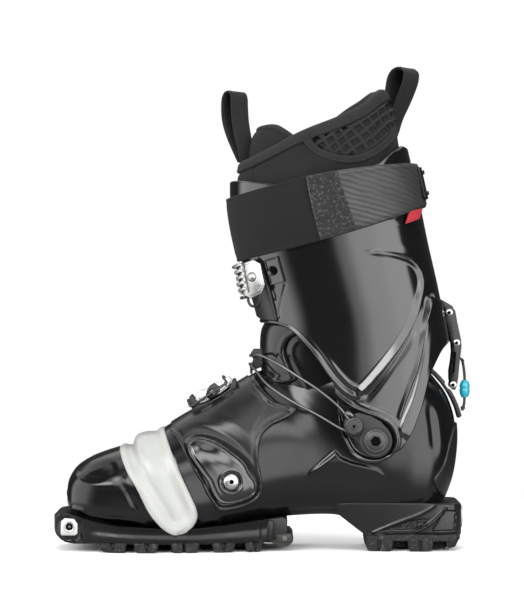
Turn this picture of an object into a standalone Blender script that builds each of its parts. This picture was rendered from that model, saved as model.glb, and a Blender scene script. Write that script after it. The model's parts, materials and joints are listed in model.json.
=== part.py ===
"""A telemark ski boot: rigid shell with a flexing bellows at the ball of the foot, a hinged cuff,
a walk lever behind the ankle, buckles over the instep and the cuff, a power strap and a padded liner.

Millimetres below, scaled to metres when a mesh is made. X runs from toe (-) to heel (+), Y from the
inner side of the foot (-) to the outer side (+), Z up. The origin is on the floor under the middle
of the sole.
"""

import math

import bmesh
import bpy
import numpy as np
from mathutils import Vector

MM = 0.001
SIDES = {"inner": -1, "outer": 1}
SHELL_WALL = 3.2  # lower shell and toe shell
CUFF_WALL = 3.4
BELLOWS_WALL = 2.2
PIVOT = (87.5, 82.9)  # X, Z of the cuff pivot

# kind: (linear RGB, roughness, metallic)
MATERIALS = {
    "shell": ((0.030, 0.031, 0.033), 0.30, 0.0),
    "cuff": ((0.045, 0.046, 0.048), 0.28, 0.0),
    "bellows": ((0.78, 0.79, 0.76), 0.40, 0.0),
    "rubber": ((0.035, 0.035, 0.034), 0.75, 0.0),
    "plate": ((0.10, 0.098, 0.085), 0.6, 0.0),
    "steel": ((0.62, 0.62, 0.61), 0.28, 1.0),
    "dark_steel": ((0.16, 0.16, 0.155), 0.35, 1.0),
    "alu": ((0.80, 0.80, 0.80), 0.30, 1.0),
    "fabric": ((0.050, 0.050, 0.054), 0.9, 0.0),
    "webbing": ((0.030, 0.030, 0.032), 0.85, 0.0),
    "black_plastic": ((0.020, 0.020, 0.021), 0.45, 0.0),
    "red": ((0.45, 0.04, 0.03), 0.8, 0.0),
    "turquoise": ((0.02, 0.55, 0.60), 0.4, 0.0),
    "foam": ((0.12, 0.12, 0.13), 0.9, 0.0),
}
CUTTER = None  # the kind of a hidden boolean helper, which has no material

# Axes of a flat outline and the direction it is pushed along
SIDE_VIEW = ((1, 0, 0), (0, 0, 1), (0, 1, 0))
REAR_VIEW = ((0, 1, 0), (0, 0, 1), (1, 0, 0))


# ---------------------------------------------------------------- scene and meshes
for old in list(bpy.data.objects):
    bpy.data.objects.remove(old, do_unlink=True)
PARTS = bpy.data.collections.new("telemark_boot")
CUTTERS = bpy.data.collections.new("cutters")
bpy.context.scene.collection.children.link(PARTS)
bpy.context.scene.collection.children.link(CUTTERS)
CUTTERS.hide_render = True


def material(kind, name):
    colour, roughness, metallic = MATERIALS[kind]
    made = bpy.data.materials.new(name)
    made.use_nodes = True
    shader = made.node_tree.nodes["Principled BSDF"]
    shader.inputs["Base Color"].default_value = (*colour, 1)
    shader.inputs["Roughness"].default_value = roughness
    shader.inputs["Metallic"].default_value = metallic
    made.diffuse_color = (*colour, 1)
    return made


def clean_mesh(mesh, is_open):
    """Merge doubled points and turn the faces outwards."""
    made = bmesh.new()
    made.from_mesh(mesh)
    bmesh.ops.remove_doubles(made, verts=made.verts, dist=0.02 * MM)
    bmesh.ops.dissolve_degenerate(made, edges=made.edges, dist=0.01 * MM)
    bmesh.ops.recalc_face_normals(made, faces=made.faces)
    if is_open:
        centre = sum((v.co for v in made.verts), Vector()) / len(made.verts)
        facing = sum(
            f.normal.dot(f.calc_center_median() - centre) * f.calc_area() for f in made.faces
        )
    else:
        facing = made.calc_volume(signed=True)
    if facing < 0:
        bmesh.ops.reverse_faces(made, faces=made.faces)
    made.to_mesh(mesh)
    made.free()


def add(name, points, faces, kind, origin=(0, 0, 0), wall=0.0):
    """One object from points in millimetres. wall is grown inwards from an open surface."""
    points = (np.array(points, float) - np.array(origin, float)) * MM
    mesh = bpy.data.meshes.new(name)
    mesh.from_pydata(points.tolist(), [], faces)
    clean_mesh(mesh, is_open=wall > 0)
    item = bpy.data.objects.new(name, mesh)
    item.location = [v * MM for v in origin]
    if kind is CUTTER:
        CUTTERS.objects.link(item)
        item.hide_render = True
        item.display_type = "WIRE"
        return item
    PARTS.objects.link(item)
    mesh.materials.append(material(kind, f"{name}_{kind}"))
    if wall:
        solidify = item.modifiers.new("wall", "SOLIDIFY")
        solidify.thickness = wall * MM
        solidify.offset = -1
    return item


def cut(item, cutter):
    boolean = item.modifiers.new("difference_" + cutter.name, "BOOLEAN")
    boolean.operation = "DIFFERENCE"
    boolean.object = cutter
    boolean.solver = "EXACT"


def grid_faces(rows, columns, closed):
    """Quads between rows of points. closed joins each row's last point to its first."""
    faces = []
    for i in range(rows - 1):
        for j in range(columns if closed else columns - 1):
            k = (j + 1) % columns
            here, above = i * columns, (i + 1) * columns
            faces.append((here + j, here + k, above + k, above + j))
    return faces


def capped_faces(rows, columns):
    """A closed grid with a flat face over its first and last rows."""
    count = rows * columns
    ends = [tuple(range(columns)), tuple(range(count - columns, count))]
    return grid_faces(rows, columns, closed=True) + ends


def unit(vector):
    vector = np.array(vector, float)
    return vector / np.linalg.norm(vector)


def square_to(vector, axis):
    """The unit vector nearest vector that is square to the unit axis."""
    return unit(vector - axis * np.dot(vector, axis))


def height_at(curve, x):
    xs, zs = zip(*curve)
    return float(np.interp(x, xs, zs))


def inside(outline, x, z):
    hit = False
    for (x0, z0), (x1, z1) in zip(outline, outline[1:] + outline[:1]):
        if (z0 > z) != (z1 > z) and x < (x1 - x0) * (z - z0) / (z1 - z0) + x0:
            hit = not hit
    return hit


def arc(centre, radius, degrees):
    """Points on an arc in the XZ plane."""
    return [
        (centre[0] + radius * math.cos(t), centre[1] + radius * math.sin(t))
        for t in np.radians(degrees)
    ]


# ---------------------------------------------------------------- skins
def section_angle(fraction, near_power, far_power, widest):
    """The angle round a section at a fraction of the way from its near end to its far end."""
    if fraction > widest:
        return math.acos(((fraction - widest) / (1 - widest)) ** (far_power / 2))
    return math.acos(-(((widest - fraction) / widest) ** (near_power / 2)))


class Tube:
    """A closed skin through sections.

    level counts sections. angle runs round one: 0 at its far end (top or rear), pi at its near end
    (bottom or front), and positive on the +Y side. A section is: near X, Z, far X, Z, half width,
    squareness at the near and at the far end, and the widest place as a fraction from near to far.
    """

    def __init__(self, rows):
        self.rows = np.array(rows, float)
        self.last = len(self.rows) - 1

    def row(self, level):
        """The section at a level, on a smooth spline through the given ones."""
        level = min(max(level, 0.0), float(self.last))
        i = min(int(level), self.last - 1)
        t = level - i
        here, after = self.rows[i], self.rows[i + 1]
        before = self.rows[i - 1] if i else 2 * here - after
        beyond = self.rows[i + 2] if i + 2 <= self.last else 2 * after - here
        return 0.5 * (
            2 * here
            + (after - before) * t
            + (2 * before - 5 * here + 4 * after - beyond) * t**2
            + (3 * here - before - 3 * after + beyond) * t**3
        )

    def surface(self, level, angle):
        near_x, near_z, far_x, far_z, half_width, near_power, far_power, widest = self.row(level)
        cosine, sine = math.cos(angle), math.sin(angle)
        power = far_power if cosine > 0 else near_power
        reach = abs(cosine) ** (2 / power)
        fraction = widest + (1 - widest) * reach if cosine > 0 else widest - widest * reach
        y = half_width * math.copysign(abs(sine) ** (2 / power), sine)
        x = near_x + (far_x - near_x) * fraction
        z = near_z + (far_z - near_z) * fraction
        return np.array([x, y, z])

    def normal(self, level, angle):
        """The outward normal, from small steps along and round the skin."""
        low, high = max(level - 0.02, 0), min(level + 0.02, self.last)
        lengthwise = self.surface(high, angle) - self.surface(low, angle)
        around = self.surface(level, angle + 0.03) - self.surface(level, angle - 0.03)
        normal = np.cross(lengthwise, around)
        size = np.linalg.norm(normal)
        if size < 1e-3:
            return np.array([0.0, math.sin(angle), math.cos(angle)])
        normal /= size
        near_x, near_z, far_x, far_z = self.row(level)[:4]
        middle = np.array([(near_x + far_x) / 2, 0, (near_z + far_z) / 2])
        return normal if normal.dot(self.surface(level, angle) - middle) > 0 else -normal

    def lifted(self, level, angle, lift):
        return self.surface(level, angle) + self.normal(level, angle) * lift

    def shrink(self, depth):
        """The same skin moved inwards by depth."""
        rows = self.rows.copy()
        inward = rows[:, 2:4] - rows[:, 0:2]
        inward /= np.linalg.norm(inward, axis=1, keepdims=True)
        rows[:, 0:2] += inward * depth
        rows[:, 2:4] -= inward * depth
        rows[:, 4] -= depth
        return Tube(rows)

    def locate(self, x, z, side):
        """(level, angle) of the skin's point seen from the side at X, Z."""
        target = np.array([x, z])
        before = None
        for level in np.linspace(0, self.last, 240):
            near, far = np.split(self.row(level)[:4], 2)
            run = far - near
            miss = (x - near[0]) * run[1] - (z - near[1]) * run[0]
            if before is not None and before[0] * miss <= 0:
                share = before[0] / (before[0] - miss)
                hit = before[1] + (level - before[1]) * share
                row = self.row(hit)
                near, far = row[0:2], row[2:4]
                run = far - near
                fraction = np.dot(target - near, run) / np.dot(run, run)
                if 0 <= fraction <= 1:
                    return hit, section_angle(fraction, *row[5:8]) * side
            before = (miss, level)
        raise ValueError(f"no skin at {x}, {z}")

    def rim_level(self, angle, rim, fallback):
        """The level where the skin last rises through a rim drawn in side view."""
        levels = np.linspace(0, self.last, 200)
        line = [self.surface(level, angle) for level in levels]
        over = [p[2] - height_at(rim, p[0]) for p in line]
        crossings = [k for k in range(len(levels) - 1) if over[k] <= 0 < over[k + 1]]
        if not crossings:
            return fallback
        k = crossings[-1]
        return levels[k] + (levels[k + 1] - levels[k]) * over[k] / (over[k] - over[k + 1])

    def slice(self, centre, across, angles):
        """Where a plane through centre, square to across, meets the skin at each angle.

        Gives points, and outward normals that lie in the plane.
        """
        found = []
        levels = np.linspace(0, self.last, 120)
        for angle in angles:
            gaps = [np.dot(self.surface(level, angle) - centre, across) for level in levels]
            for k in range(len(levels) - 1):
                gap, following = gaps[k], gaps[k + 1]
                if gap * following <= 0 and gap != following:
                    level = levels[k] + (levels[k + 1] - levels[k]) * gap / (gap - following)
                    normal = square_to(self.normal(level, angle), across)
                    found.append((self.surface(level, angle), normal))
                    break
        return found


# ---------------------------------------------------------------- kinds of piece
def open_tube(name, tube, columns, kind, wall, tip=None):
    """A tube with a wall through every section. tip closes the first one."""
    angles = [2 * math.pi * j / columns for j in range(columns)]
    rows = tube.last + 1
    points = [tube.surface(level, angle) for level in range(rows) for angle in angles]
    faces = grid_faces(rows, columns, closed=True)
    if tip is not None:
        points.append(np.array(tip, float))
        faces += [(j, (j + 1) % columns, len(points) - 1) for j in range(columns)]
    return add(name, points, faces, kind, wall=wall)


def trimmed_tube(name, tube, angles, rows, kind, wall, low, top, lift=0.0):
    """A tube whose lower and upper rims follow curves drawn in side view."""
    columns = [
        (angle, tube.rim_level(angle, low, 0.0), tube.rim_level(angle, top, tube.last))
        for angle in angles
    ]
    points = [
        tube.lifted(start + (end - start) * i / (rows - 1), angle, lift)
        for i in range(rows)
        for angle, start, end in columns
    ]
    return add(name, points, grid_faces(rows, len(columns), closed=True), kind, wall=wall)


def patch(name, tube, outline, side, lift, thickness, kind, counts, last_angle=0.02):
    """A plate on a tube with its edge drawn in side view. Its inner face is lift off the skin.

    counts are its points along the tube and round it. last_angle ends the search for its edge.
    """
    spans = []
    for level in np.linspace(0, tube.last, 260):
        found = []
        for angle in np.linspace(math.pi - 0.05, last_angle, 160):
            x, _, z = tube.surface(level, angle * side)
            if inside(outline, x, z):
                found.append(angle)
        if len(found) > 3:
            spans.append((level, max(found), min(found)))
    levels, nears, fars = np.array(spans).T
    rows, columns = counts
    points = []
    for i in range(rows):
        level = levels[0] + (levels[-1] - levels[0]) * i / (rows - 1)
        near = np.interp(level, levels, nears)
        far = np.interp(level, levels, fars)
        for j in range(columns):
            angle = near + (far - near) * j / (columns - 1)
            points.append(tube.lifted(level, angle * side, lift + thickness))
    add(name, points, grid_faces(rows, columns, closed=False), kind, wall=thickness)


def front_strip(name, tube, rows, columns, half_angle, kind, wall):
    """The part of a tube within half_angle of its front."""
    angles = [math.pi - half_angle + 2 * half_angle * j / (columns - 1) for j in range(columns)]
    levels = np.linspace(0, tube.last, rows)
    points = [tube.surface(level, angle) for level in levels for angle in angles]
    add(name, points, grid_faces(rows, columns, closed=False), kind, wall=wall)


def conform(name, tube, centre, across, angles, half_width, heights, kind, count,
            origin=(0, 0, 0)):
    """A plate that follows the skin both ways: round it between two angles, and along across.

    heights are those of its inner and outer faces over the skin.
    """
    across = unit(across)
    inner, outer = heights
    points = []
    for offset in (-half_width, 0, half_width):
        line = tube.slice(np.array(centre) + across * offset, across, np.linspace(*angles, count))
        points += [point + normal * outer for point, normal in line]
    faces = grid_faces(3, count, closed=False)
    add(name, points, faces, kind, origin=origin, wall=outer - inner)


def prism(name, outline, start, end, kind, centre=(0, 0, 0), axes=SIDE_VIEW, origin=(0, 0, 0)):
    """An outline in the first two axes pushed along the third from start to end."""
    centre = np.array(centre, float)
    right, up, push = np.array(axes, float)
    points = [centre + right * u + up * v + push * h for h in (start, end) for u, v in outline]
    return add(name, points, capped_faces(2, len(outline)), kind, origin=origin)


def lathe(name, centre, axis, profile, kind, sides=20, origin=(0, 0, 0)):
    """Turned about axis: profile is (radius, distance along the axis), from end to end."""
    hint = (0.3, 0.2, 1) if abs(axis[2]) < 0.9 else (1, 0, 0)
    axis = unit(axis)
    first = square_to(np.array(hint, float), axis)
    second = np.cross(axis, first)
    turns = [2 * math.pi * j / sides for j in range(sides)]
    points = [
        np.array(centre) + axis * h + (first * math.cos(t) + second * math.sin(t)) * radius
        for radius, h in profile
        for t in turns
    ]
    return add(name, points, capped_faces(len(profile), sides), kind, origin=origin)


def rod(name, path, radius, kind, sides=8, flat=1.0, origin=(0, 0, 0), wide=(0, 1, 0)):
    """A round or flattened bar along a path.

    flat is its thickness over its width; its width starts out along wide.
    """
    path = [np.array(p, float) for p in path]
    side = np.array(wide, float)
    points = []
    for i, point in enumerate(path):
        tangent = unit(path[min(i + 1, len(path) - 1)] - path[max(i - 1, 0)])
        side = square_to(side, tangent)
        other = np.cross(tangent, side)
        for j in range(sides):
            turn = 2 * math.pi * (j + 0.5) / sides
            offset = side * math.cos(turn) + other * math.sin(turn) * flat
            points.append(point + offset * radius)
    add(name, points, capped_faces(len(path), sides), kind, origin=origin)


def slab(name, stations, kind):
    """A block with a slightly dished top.

    Each station: X, low Z, high Z, half width at the bottom and at the top, rise of the top's edges.
    """
    points = []
    for x, low, high, bottom, top, rise in stations:
        bevel = min(1.2, (high - low) * 0.25)
        half = [
            (bottom - 1.5, low), (bottom, low + bevel), (top, high + rise - bevel * 0.3),
            (top - 1.6, high + rise), (top * 0.78, high + rise * 0.35), (top * 0.45, high),
        ]
        points += [(x, y, z) for y, z in half] + [(x, -y, z) for y, z in reversed(half)]
    return add(name, points, capped_faces(len(stations), 12), kind)


# ---------------------------------------------------------------- shells
# Sections of the lower boot: bottom X, Z, top X, Z, half width, squareness at the bottom and at
# the top, and how far up the widest place is.
TOE = [
    (-142.6, 36.6, -142.8, 45.6, 15.0, 2.4, 2.4, 0.50),
    (-141.8, 31.4, -141.2, 53.5, 26.0, 3.0, 2.6, 0.45),
    (-138.5, 28.2, -135.5, 62.0, 35.0, 3.5, 2.6, 0.42),
    (-129.5, 25.2, -125.5, 68.5, 42.5, 4.0, 2.7, 0.40),
    (-113.0, 20.8, -117.0, 72.0, 47.5, 4.5, 2.8, 0.38),
    (-92.0, 18.2, -110.0, 74.4, 50.0, 4.5, 2.8, 0.37),
    (-71.8, 17.2, -104.6, 76.0, 51.0, 4.5, 2.8, 0.36),
]
BELLOWS = [
    (-71.0, 17.2, -103.8, 76.2, 51.0, 4.5, 2.8, 0.36),
    (-65.2, 17.0, -97.0, 76.4, 50.6, 4.5, 2.8, 0.36),
    (-62.0, 17.0, -93.2, 77.6, 50.6, 4.5, 2.8, 0.36),
    (-59.6, 17.0, -90.6, 84.0, 51.2, 4.5, 2.8, 0.36),
    (-55.8, 17.0, -84.5, 86.4, 51.0, 4.5, 2.8, 0.36),
    (-51.0, 17.0, -75.6, 87.2, 50.0, 4.5, 2.7, 0.37),
    (-46.8, 17.0, -69.8, 90.8, 49.0, 4.5, 2.6, 0.38),
]
LOWER = [
    (-46.0, 17.0, -69.0, 91.4, 48.8, 4.5, 2.6, 0.38),
    (-31.1, 18.6, -54.0, 100.6, 47.2, 4.5, 2.5, 0.38),
    (-12.6, 20.8, -36.3, 110.3, 45.0, 4.0, 2.4, 0.40),
    (8.1, 24.0, -18.5, 122.1, 43.0, 3.5, 2.4, 0.42),
    (31.8, 25.7, -5.2, 130.2, 41.2, 3.2, 2.4, 0.42),
    (57.7, 26.0, -0.7, 132.5, 40.0, 3.0, 2.4, 0.42),
    (84.0, 20.6, 3.7, 133.9, 39.2, 3.0, 2.4, 0.42),
    (112.0, 20.4, 8.1, 135.4, 39.2, 3.0, 2.4, 0.42),
    (133.5, 28.6, 12.6, 136.9, 40.0, 3.0, 2.4, 0.45),
    (145.0, 50.0, 17.0, 138.4, 40.4, 2.8, 2.4, 0.48),
    (149.6, 74.0, 21.5, 139.9, 40.6, 2.5, 2.4, 0.50),
    (149.4, 96.0, 25.9, 141.3, 40.2, 2.3, 2.4, 0.50),
    (143.2, 115.5, 30.3, 142.8, 39.6, 2.3, 2.4, 0.50),
    (132.6, 130.0, 34.5, 143.5, 39.0, 2.3, 2.4, 0.50),
]
# Sections of the cuff: front X, Z, rear X, Z, half width, squareness at the front and at the rear,
# and how far back the widest place is. The tongues' sections are laid out the same way.
CUFF = [
    (0.7, 61.4, 148.7, 61.4, 46.8, 2.2, 2.6, 0.52),
    (0.7, 83.6, 151.7, 83.6, 48.4, 2.2, 2.6, 0.52),
    (2.2, 113.2, 149.5, 113.2, 49.2, 2.2, 2.6, 0.52),
    (3.7, 139.1, 146.5, 142.8, 50.0, 2.2, 2.6, 0.52),
    (3.7, 165.0, 142.1, 169.0, 51.0, 2.2, 2.6, 0.52),
    (-2.2, 187.2, 136.9, 196.1, 52.2, 2.2, 2.6, 0.52),
    (-11.8, 215.3, 129.2, 230.2, 53.6, 2.2, 2.6, 0.52),
    (-18.5, 242.7, 122.0, 265.2, 54.8, 2.2, 2.6, 0.52),
    (-20.7, 272.3, 113.6, 302.2, 55.4, 2.2, 2.6, 0.52),
    (-18.5, 298.2, 107.4, 330.4, 55.4, 2.2, 2.6, 0.52),
]
# Rims in side view: X, Z
CUFF_LOW = [
    (3.0, 171.4), (15.5, 170.2), (24.2, 166.5), (34.0, 157.6), (43.7, 145.8), (51.1, 134.7),
    (56.5, 125.8), (59.5, 109.5), (61.5, 92.5), (65.6, 82.9), (71.2, 73.3), (79.2, 68.4),
    (88.8, 67.7), (96.9, 70.7), (102.9, 75.5), (107.3, 78.4), (114.0, 88.8), (119.9, 102.9),
    (125.8, 120.6), (128.8, 133.9), (133.2, 142.8), (137.6, 150.7), (142.8, 155.9), (147.3, 158.1),
]
CUFF_TOP = [
    (-23.7, 275.3), (-5.2, 273.8), (13.3, 271.1), (54.0, 272.6), (91.0, 286.9), (102.1, 296.2),
    (109.5, 300.9), (118.2, 299.2),
]
# Fractions from front to rear where the cuff has its columns of points
CUFF_FRACTIONS = [
    0.0, 0.03, 0.09, 0.17, 0.26, 0.34, 0.385, 0.42, 0.46, 0.505, 0.55, 0.60, 0.65, 0.70, 0.745,
    0.79, 0.84, 0.90, 0.955, 0.99, 1.0,
]
SHELL_COLUMNS = 32

toe_skin, bellows_skin, lower_skin, cuff_skin = Tube(TOE), Tube(BELLOWS), Tube(LOWER), Tube(CUFF)


def cuff_angles(fractions):
    """Angles all round the cuff for fractions from front to rear."""
    half = [section_angle(fraction, *CUFF[0][5:]) for fraction in fractions]
    return half + [-angle for angle in reversed(half[1:-1])]


def build_shells():
    """Toe shell, bellows, lower shell and cuff. Returns the bore for the pivot bolts."""
    open_tube("toe_shell", toe_skin, SHELL_COLUMNS, "shell", SHELL_WALL, tip=(-143.0, 0, 41.2))
    open_tube("bellows", bellows_skin, SHELL_COLUMNS, "bellows", BELLOWS_WALL)
    lower = open_tube("lower_shell", lower_skin, SHELL_COLUMNS, "shell", SHELL_WALL)
    cuff = trimmed_tube("cuff_shell", cuff_skin, cuff_angles(CUFF_FRACTIONS), 10, "cuff",
                        CUFF_WALL, CUFF_LOW, CUFF_TOP)
    bore = lathe("pivot_bore", (PIVOT[0], -70, PIVOT[1]), (0, 1, 0), [(5.4, 0), (5.4, 140)],
                 CUTTER, sides=24)
    cut(lower, bore)
    cut(cuff, bore)
    return bore


# ---------------------------------------------------------------- soles
# Stations as slab() takes them
TOE_OUTSOLE = [
    (-152.1, 15.5, 26.2, 20.0, 20.5, 0.0), (-150.6, 12.4, 27.6, 27.0, 27.5, 0.0),
    (-147.0, 9.0, 27.9, 32.0, 32.5, 0.0), (-143.0, 6.6, 27.9, 34.0, 34.5, 0.4),
    (-136.9, 5.0, 26.4, 35.0, 36.0, 0.6), (-128.0, 4.8, 23.6, 38.0, 40.0, 1.2),
    (-118.6, 6.2, 20.9, 42.0, 44.0, 1.6), (-117.2, 0.8, 20.5, 42.4, 44.4, 1.6),
    (-103.8, 0.2, 18.3, 45.4, 47.4, 1.8), (-97.2, 0.0, 17.6, 46.2, 48.2, 1.8),
    (-96.6, 5.4, 17.5, 46.2, 48.2, 1.8), (-91.4, 5.4, 17.2, 46.6, 48.6, 1.8),
    (-90.8, 0.0, 17.2, 46.6, 48.6, 1.8), (-73.6, 0.0, 16.5, 47.0, 49.0, 1.8),
    (-73.0, 5.4, 16.4, 47.0, 49.0, 1.8), (-64.0, 5.4, 16.2, 46.6, 48.6, 1.8),
    (-63.4, 0.0, 16.2, 46.6, 48.6, 1.8), (-56.6, 0.0, 16.0, 46.0, 48.0, 1.8),
]
MID_OUTSOLE = [
    (-52.6, 0.0, 15.8, 45.6, 47.6, 1.8), (-43.2, 0.0, 16.2, 45.0, 47.0, 1.8),
    (-42.6, 5.4, 16.2, 45.0, 47.0, 1.8), (-33.6, 5.4, 17.2, 43.6, 45.6, 1.8),
    (-33.0, 0.0, 17.3, 43.6, 45.6, 1.8), (-17.2, 0.0, 19.4, 40.4, 42.4, 1.8),
    (-16.6, 5.4, 19.5, 40.3, 42.3, 1.8), (-9.2, 5.4, 20.6, 38.8, 40.8, 1.6),
    (-8.6, 0.0, 20.7, 38.7, 40.7, 1.6), (3.6, 0.0, 22.4, 36.4, 38.4, 1.3),
    (4.2, 6.2, 22.5, 36.2, 38.2, 1.3), (5.9, 6.3, 22.8, 35.8, 37.8, 1.2),
]
HEEL_BLOCK = [
    (72.0, 20.6, 21.6, 27.0, 29.0, 0.4), (84.0, 12.0, 19.6, 31.0, 32.0, 0.6),
    (100.0, 12.0, 19.0, 33.0, 34.0, 0.8), (112.0, 12.0, 19.2, 34.0, 35.0, 0.8),
    (124.0, 12.0, 21.6, 35.0, 35.6, 0.8), (133.0, 12.0, 25.6, 35.4, 35.4, 1.0),
    (138.2, 12.0, 31.0, 34.6, 34.6, 1.0), (140.4, 12.0, 35.2, 34.0, 34.0, 0.0),
    (147.0, 12.0, 35.2, 32.0, 32.0, 0.0), (151.2, 12.0, 35.2, 28.6, 28.6, 0.0),
    (152.6, 12.8, 34.4, 24.0, 24.0, 0.0),
]
HEEL_OUTSOLE = [
    (81.4, 1.2, 11.6, 30.4, 30.6, 0.0), (82.2, 0.0, 11.6, 30.6, 31.0, 0.0),
    (101.0, 0.0, 11.6, 33.0, 33.2, 0.0), (101.5, 7.6, 11.6, 33.0, 33.2, 0.0),
    (112.4, 7.6, 11.6, 34.0, 34.2, 0.0), (112.9, 0.0, 11.6, 34.0, 34.2, 0.0),
    (130.6, 0.0, 11.6, 35.0, 35.2, 0.0), (131.2, 5.6, 11.6, 35.0, 35.2, 0.0),
    (141.0, 5.6, 11.6, 34.0, 34.2, 0.0), (141.6, 1.6, 11.6, 34.0, 34.2, 0.0),
    (147.6, 3.6, 11.6, 31.6, 32.0, 0.0), (151.6, 7.6, 11.6, 27.4, 28.0, 0.0),
]
# Side view: X, Z
SECOND_HEEL = [
    (6.3, 6.8), (10.8, 6.0), (16.4, 2.6), (22.2, 2.9), (26.0, 6.0), (27.3, 11.0), (25.6, 14.2),
    (20.0, 15.0), (20.0, 23.8), (6.3, 22.4),
]
TOE_INSERT = (-139.6, 0, 18.6)


def build_soles():
    """The sole blocks. Returns the toe outsole."""
    toe_outsole = slab("toe_outsole", TOE_OUTSOLE, "rubber")
    slab("mid_outsole", MID_OUTSOLE, "rubber")
    prism("second_heel_plate", SECOND_HEEL, -31.0, 31.0, "plate")
    slab("heel_block", HEEL_BLOCK, "black_plastic")
    slab("heel_outsole", HEEL_OUTSOLE, "rubber")
    return toe_outsole


def chamfered(half_width, bottom, shoulder, top_half_width, top):
    """A rectangle with its two upper corners cut off."""
    return [
        (-half_width, bottom), (half_width, bottom), (half_width, shoulder),
        (top_half_width, top), (-top_half_width, top), (-half_width, shoulder),
    ]


def build_tech_inserts(toe_outsole):
    """Steel inserts: a bar across the toe with a cup in each end, and a plate behind the heel."""
    seat = prism("toe_insert_seat", chamfered(6.6, -6.6, 4.0, 3.8, 6.4), -60, 60, CUTTER,
                 centre=TOE_INSERT)
    cut(toe_outsole, seat)
    bar = prism("toe_tech_insert", chamfered(6.2, -6.2, 3.8, 3.6, 6.0), -36.4, 36.4, "steel",
                centre=TOE_INSERT)
    for tag, side in SIDES.items():
        cup = lathe(f"toe_cup_{tag}", (TOE_INSERT[0], side * 38.5, 18.8), (0, -side, 0),
                    [(3.4, 0), (3.4, 2.6), (0.6, 7.6)], CUTTER, sides=16)
        cut(bar, cup)
    prism("heel_tech_insert", chamfered(11, -8, 5, 8, 8), 0.0, 1.6, "steel",
          centre=(153.2, 0, 24.0), axes=REAR_VIEW)


# ---------------------------------------------------------------- plates on the lower shell
# Outlines in side view: X, Z
FLAP = [
    (-66.0, 90.0), (-59.2, 83.0), (-54.8, 74.7), (-44.4, 57.0), (-34.0, 38.5), (-28.6, 31.2),
    (-15.0, 32.9), (-2.5, 38.0), (3.7, 44.4), (4.3, 52.2), (1.5, 65.9), (2.0, 79.4), (3.7, 85.8),
    (9.4, 92.1), (19.0, 98.0), (9.0, 112.0), (-1.0, 122.0), (-6.0, 129.0), (-14.0, 140.0),
    (-70.0, 140.0),
]
TEARDROP = [
    (-50.7, 79.4), (-44.4, 83.6), (-31.1, 81.7), (-17.2, 73.7), (-7.0, 63.6), (-0.7, 52.2),
    (-1.5, 44.4), (-7.0, 40.8), (-20.7, 37.0), (-27.4, 37.4), (-34.3, 46.6), (-42.2, 60.2),
    (-50.1, 72.5),
]
TEARDROP_RIVET = (-19.2, 52.5)
HEEL_STRIP = [
    (153.5, 92.5), (151.0, 65.1), (147.0, 42.9), (142.0, 38.5), (135.4, 42.9), (131.7, 52.5),
    (139.0, 65.1), (144.5, 83.6), (148.0, 92.0),
]
SHELL_TONGUE = [
    (8.4, 137.0, 70.0, 137.0, 37.0, 2.2, 2.2, 0.5),
    (6.4, 143.0, 69.0, 143.0, 37.4, 2.2, 2.2, 0.5),
    (4.6, 151.0, 68.0, 151.0, 37.8, 2.2, 2.2, 0.5),
    (4.4, 158.0, 68.0, 160.0, 37.8, 2.2, 2.2, 0.5),
    (7.2, 166.0, 70.0, 170.0, 37.0, 2.2, 2.2, 0.5),
    (14.0, 174.6, 74.0, 180.0, 36.0, 2.2, 2.2, 0.5),
    (24.4, 181.4, 80.0, 190.0, 34.0, 2.2, 2.2, 0.5),
]


def build_shell_plates():
    """The flap and teardrop on the inner side, the heel strips, and the tongue at the front."""
    # the flap reaches over the top to the outer side
    patch("instep_flap", lower_skin, FLAP, SIDES["inner"], 3.0, 2.0, "shell", (15, 11),
          last_angle=-0.28)
    patch("teardrop_cover", lower_skin, TEARDROP, SIDES["inner"], 5.8, 2.0, "black_plastic", (8, 7))
    place = lower_skin.locate(*TEARDROP_RIVET, SIDES["inner"])
    lathe("teardrop_rivet", lower_skin.lifted(*place, 8.2), lower_skin.normal(*place),
          [(6.2, 0), (6.2, 0.9), (4.6, 1.8)], "dark_steel", sides=18)
    for tag, side in SIDES.items():
        patch(f"heel_strip_{tag}", lower_skin, HEEL_STRIP, side, 0.35, 1.3, "black_plastic", (7, 6))
    front_strip("shell_tongue", Tube(SHELL_TONGUE), 7, 13, 0.86, "shell", 2.2)


# ---------------------------------------------------------------- liner
FOOTBED = [  # stations as slab() takes them
    (-104.0, 34.0, 35.8, 20.0, 21.0, 0.5), (-92.0, 32.0, 33.8, 27.0, 28.0, 0.5),
    (-70.0, 30.4, 32.2, 30.0, 31.0, 0.5), (-46.0, 31.6, 33.4, 29.0, 30.0, 0.5),
    (-12.0, 37.2, 39.0, 22.0, 23.0, 0.6), (16.0, 42.0, 43.8, 18.0, 19.0, 0.8),
    (40.0, 43.4, 45.2, 17.0, 18.0, 0.8), (64.0, 43.0, 44.8, 17.0, 18.0, 0.8),
    (88.0, 38.8, 40.6, 17.0, 18.0, 0.8), (106.0, 39.0, 40.8, 15.0, 16.0, 0.6),
    (116.0, 43.6, 45.2, 11.0, 12.0, 0.4),
]
LINER_FRACTIONS = [0.0, 0.06, 0.16, 0.30, 0.44, 0.58, 0.72, 0.85, 0.95, 1.0]
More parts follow.
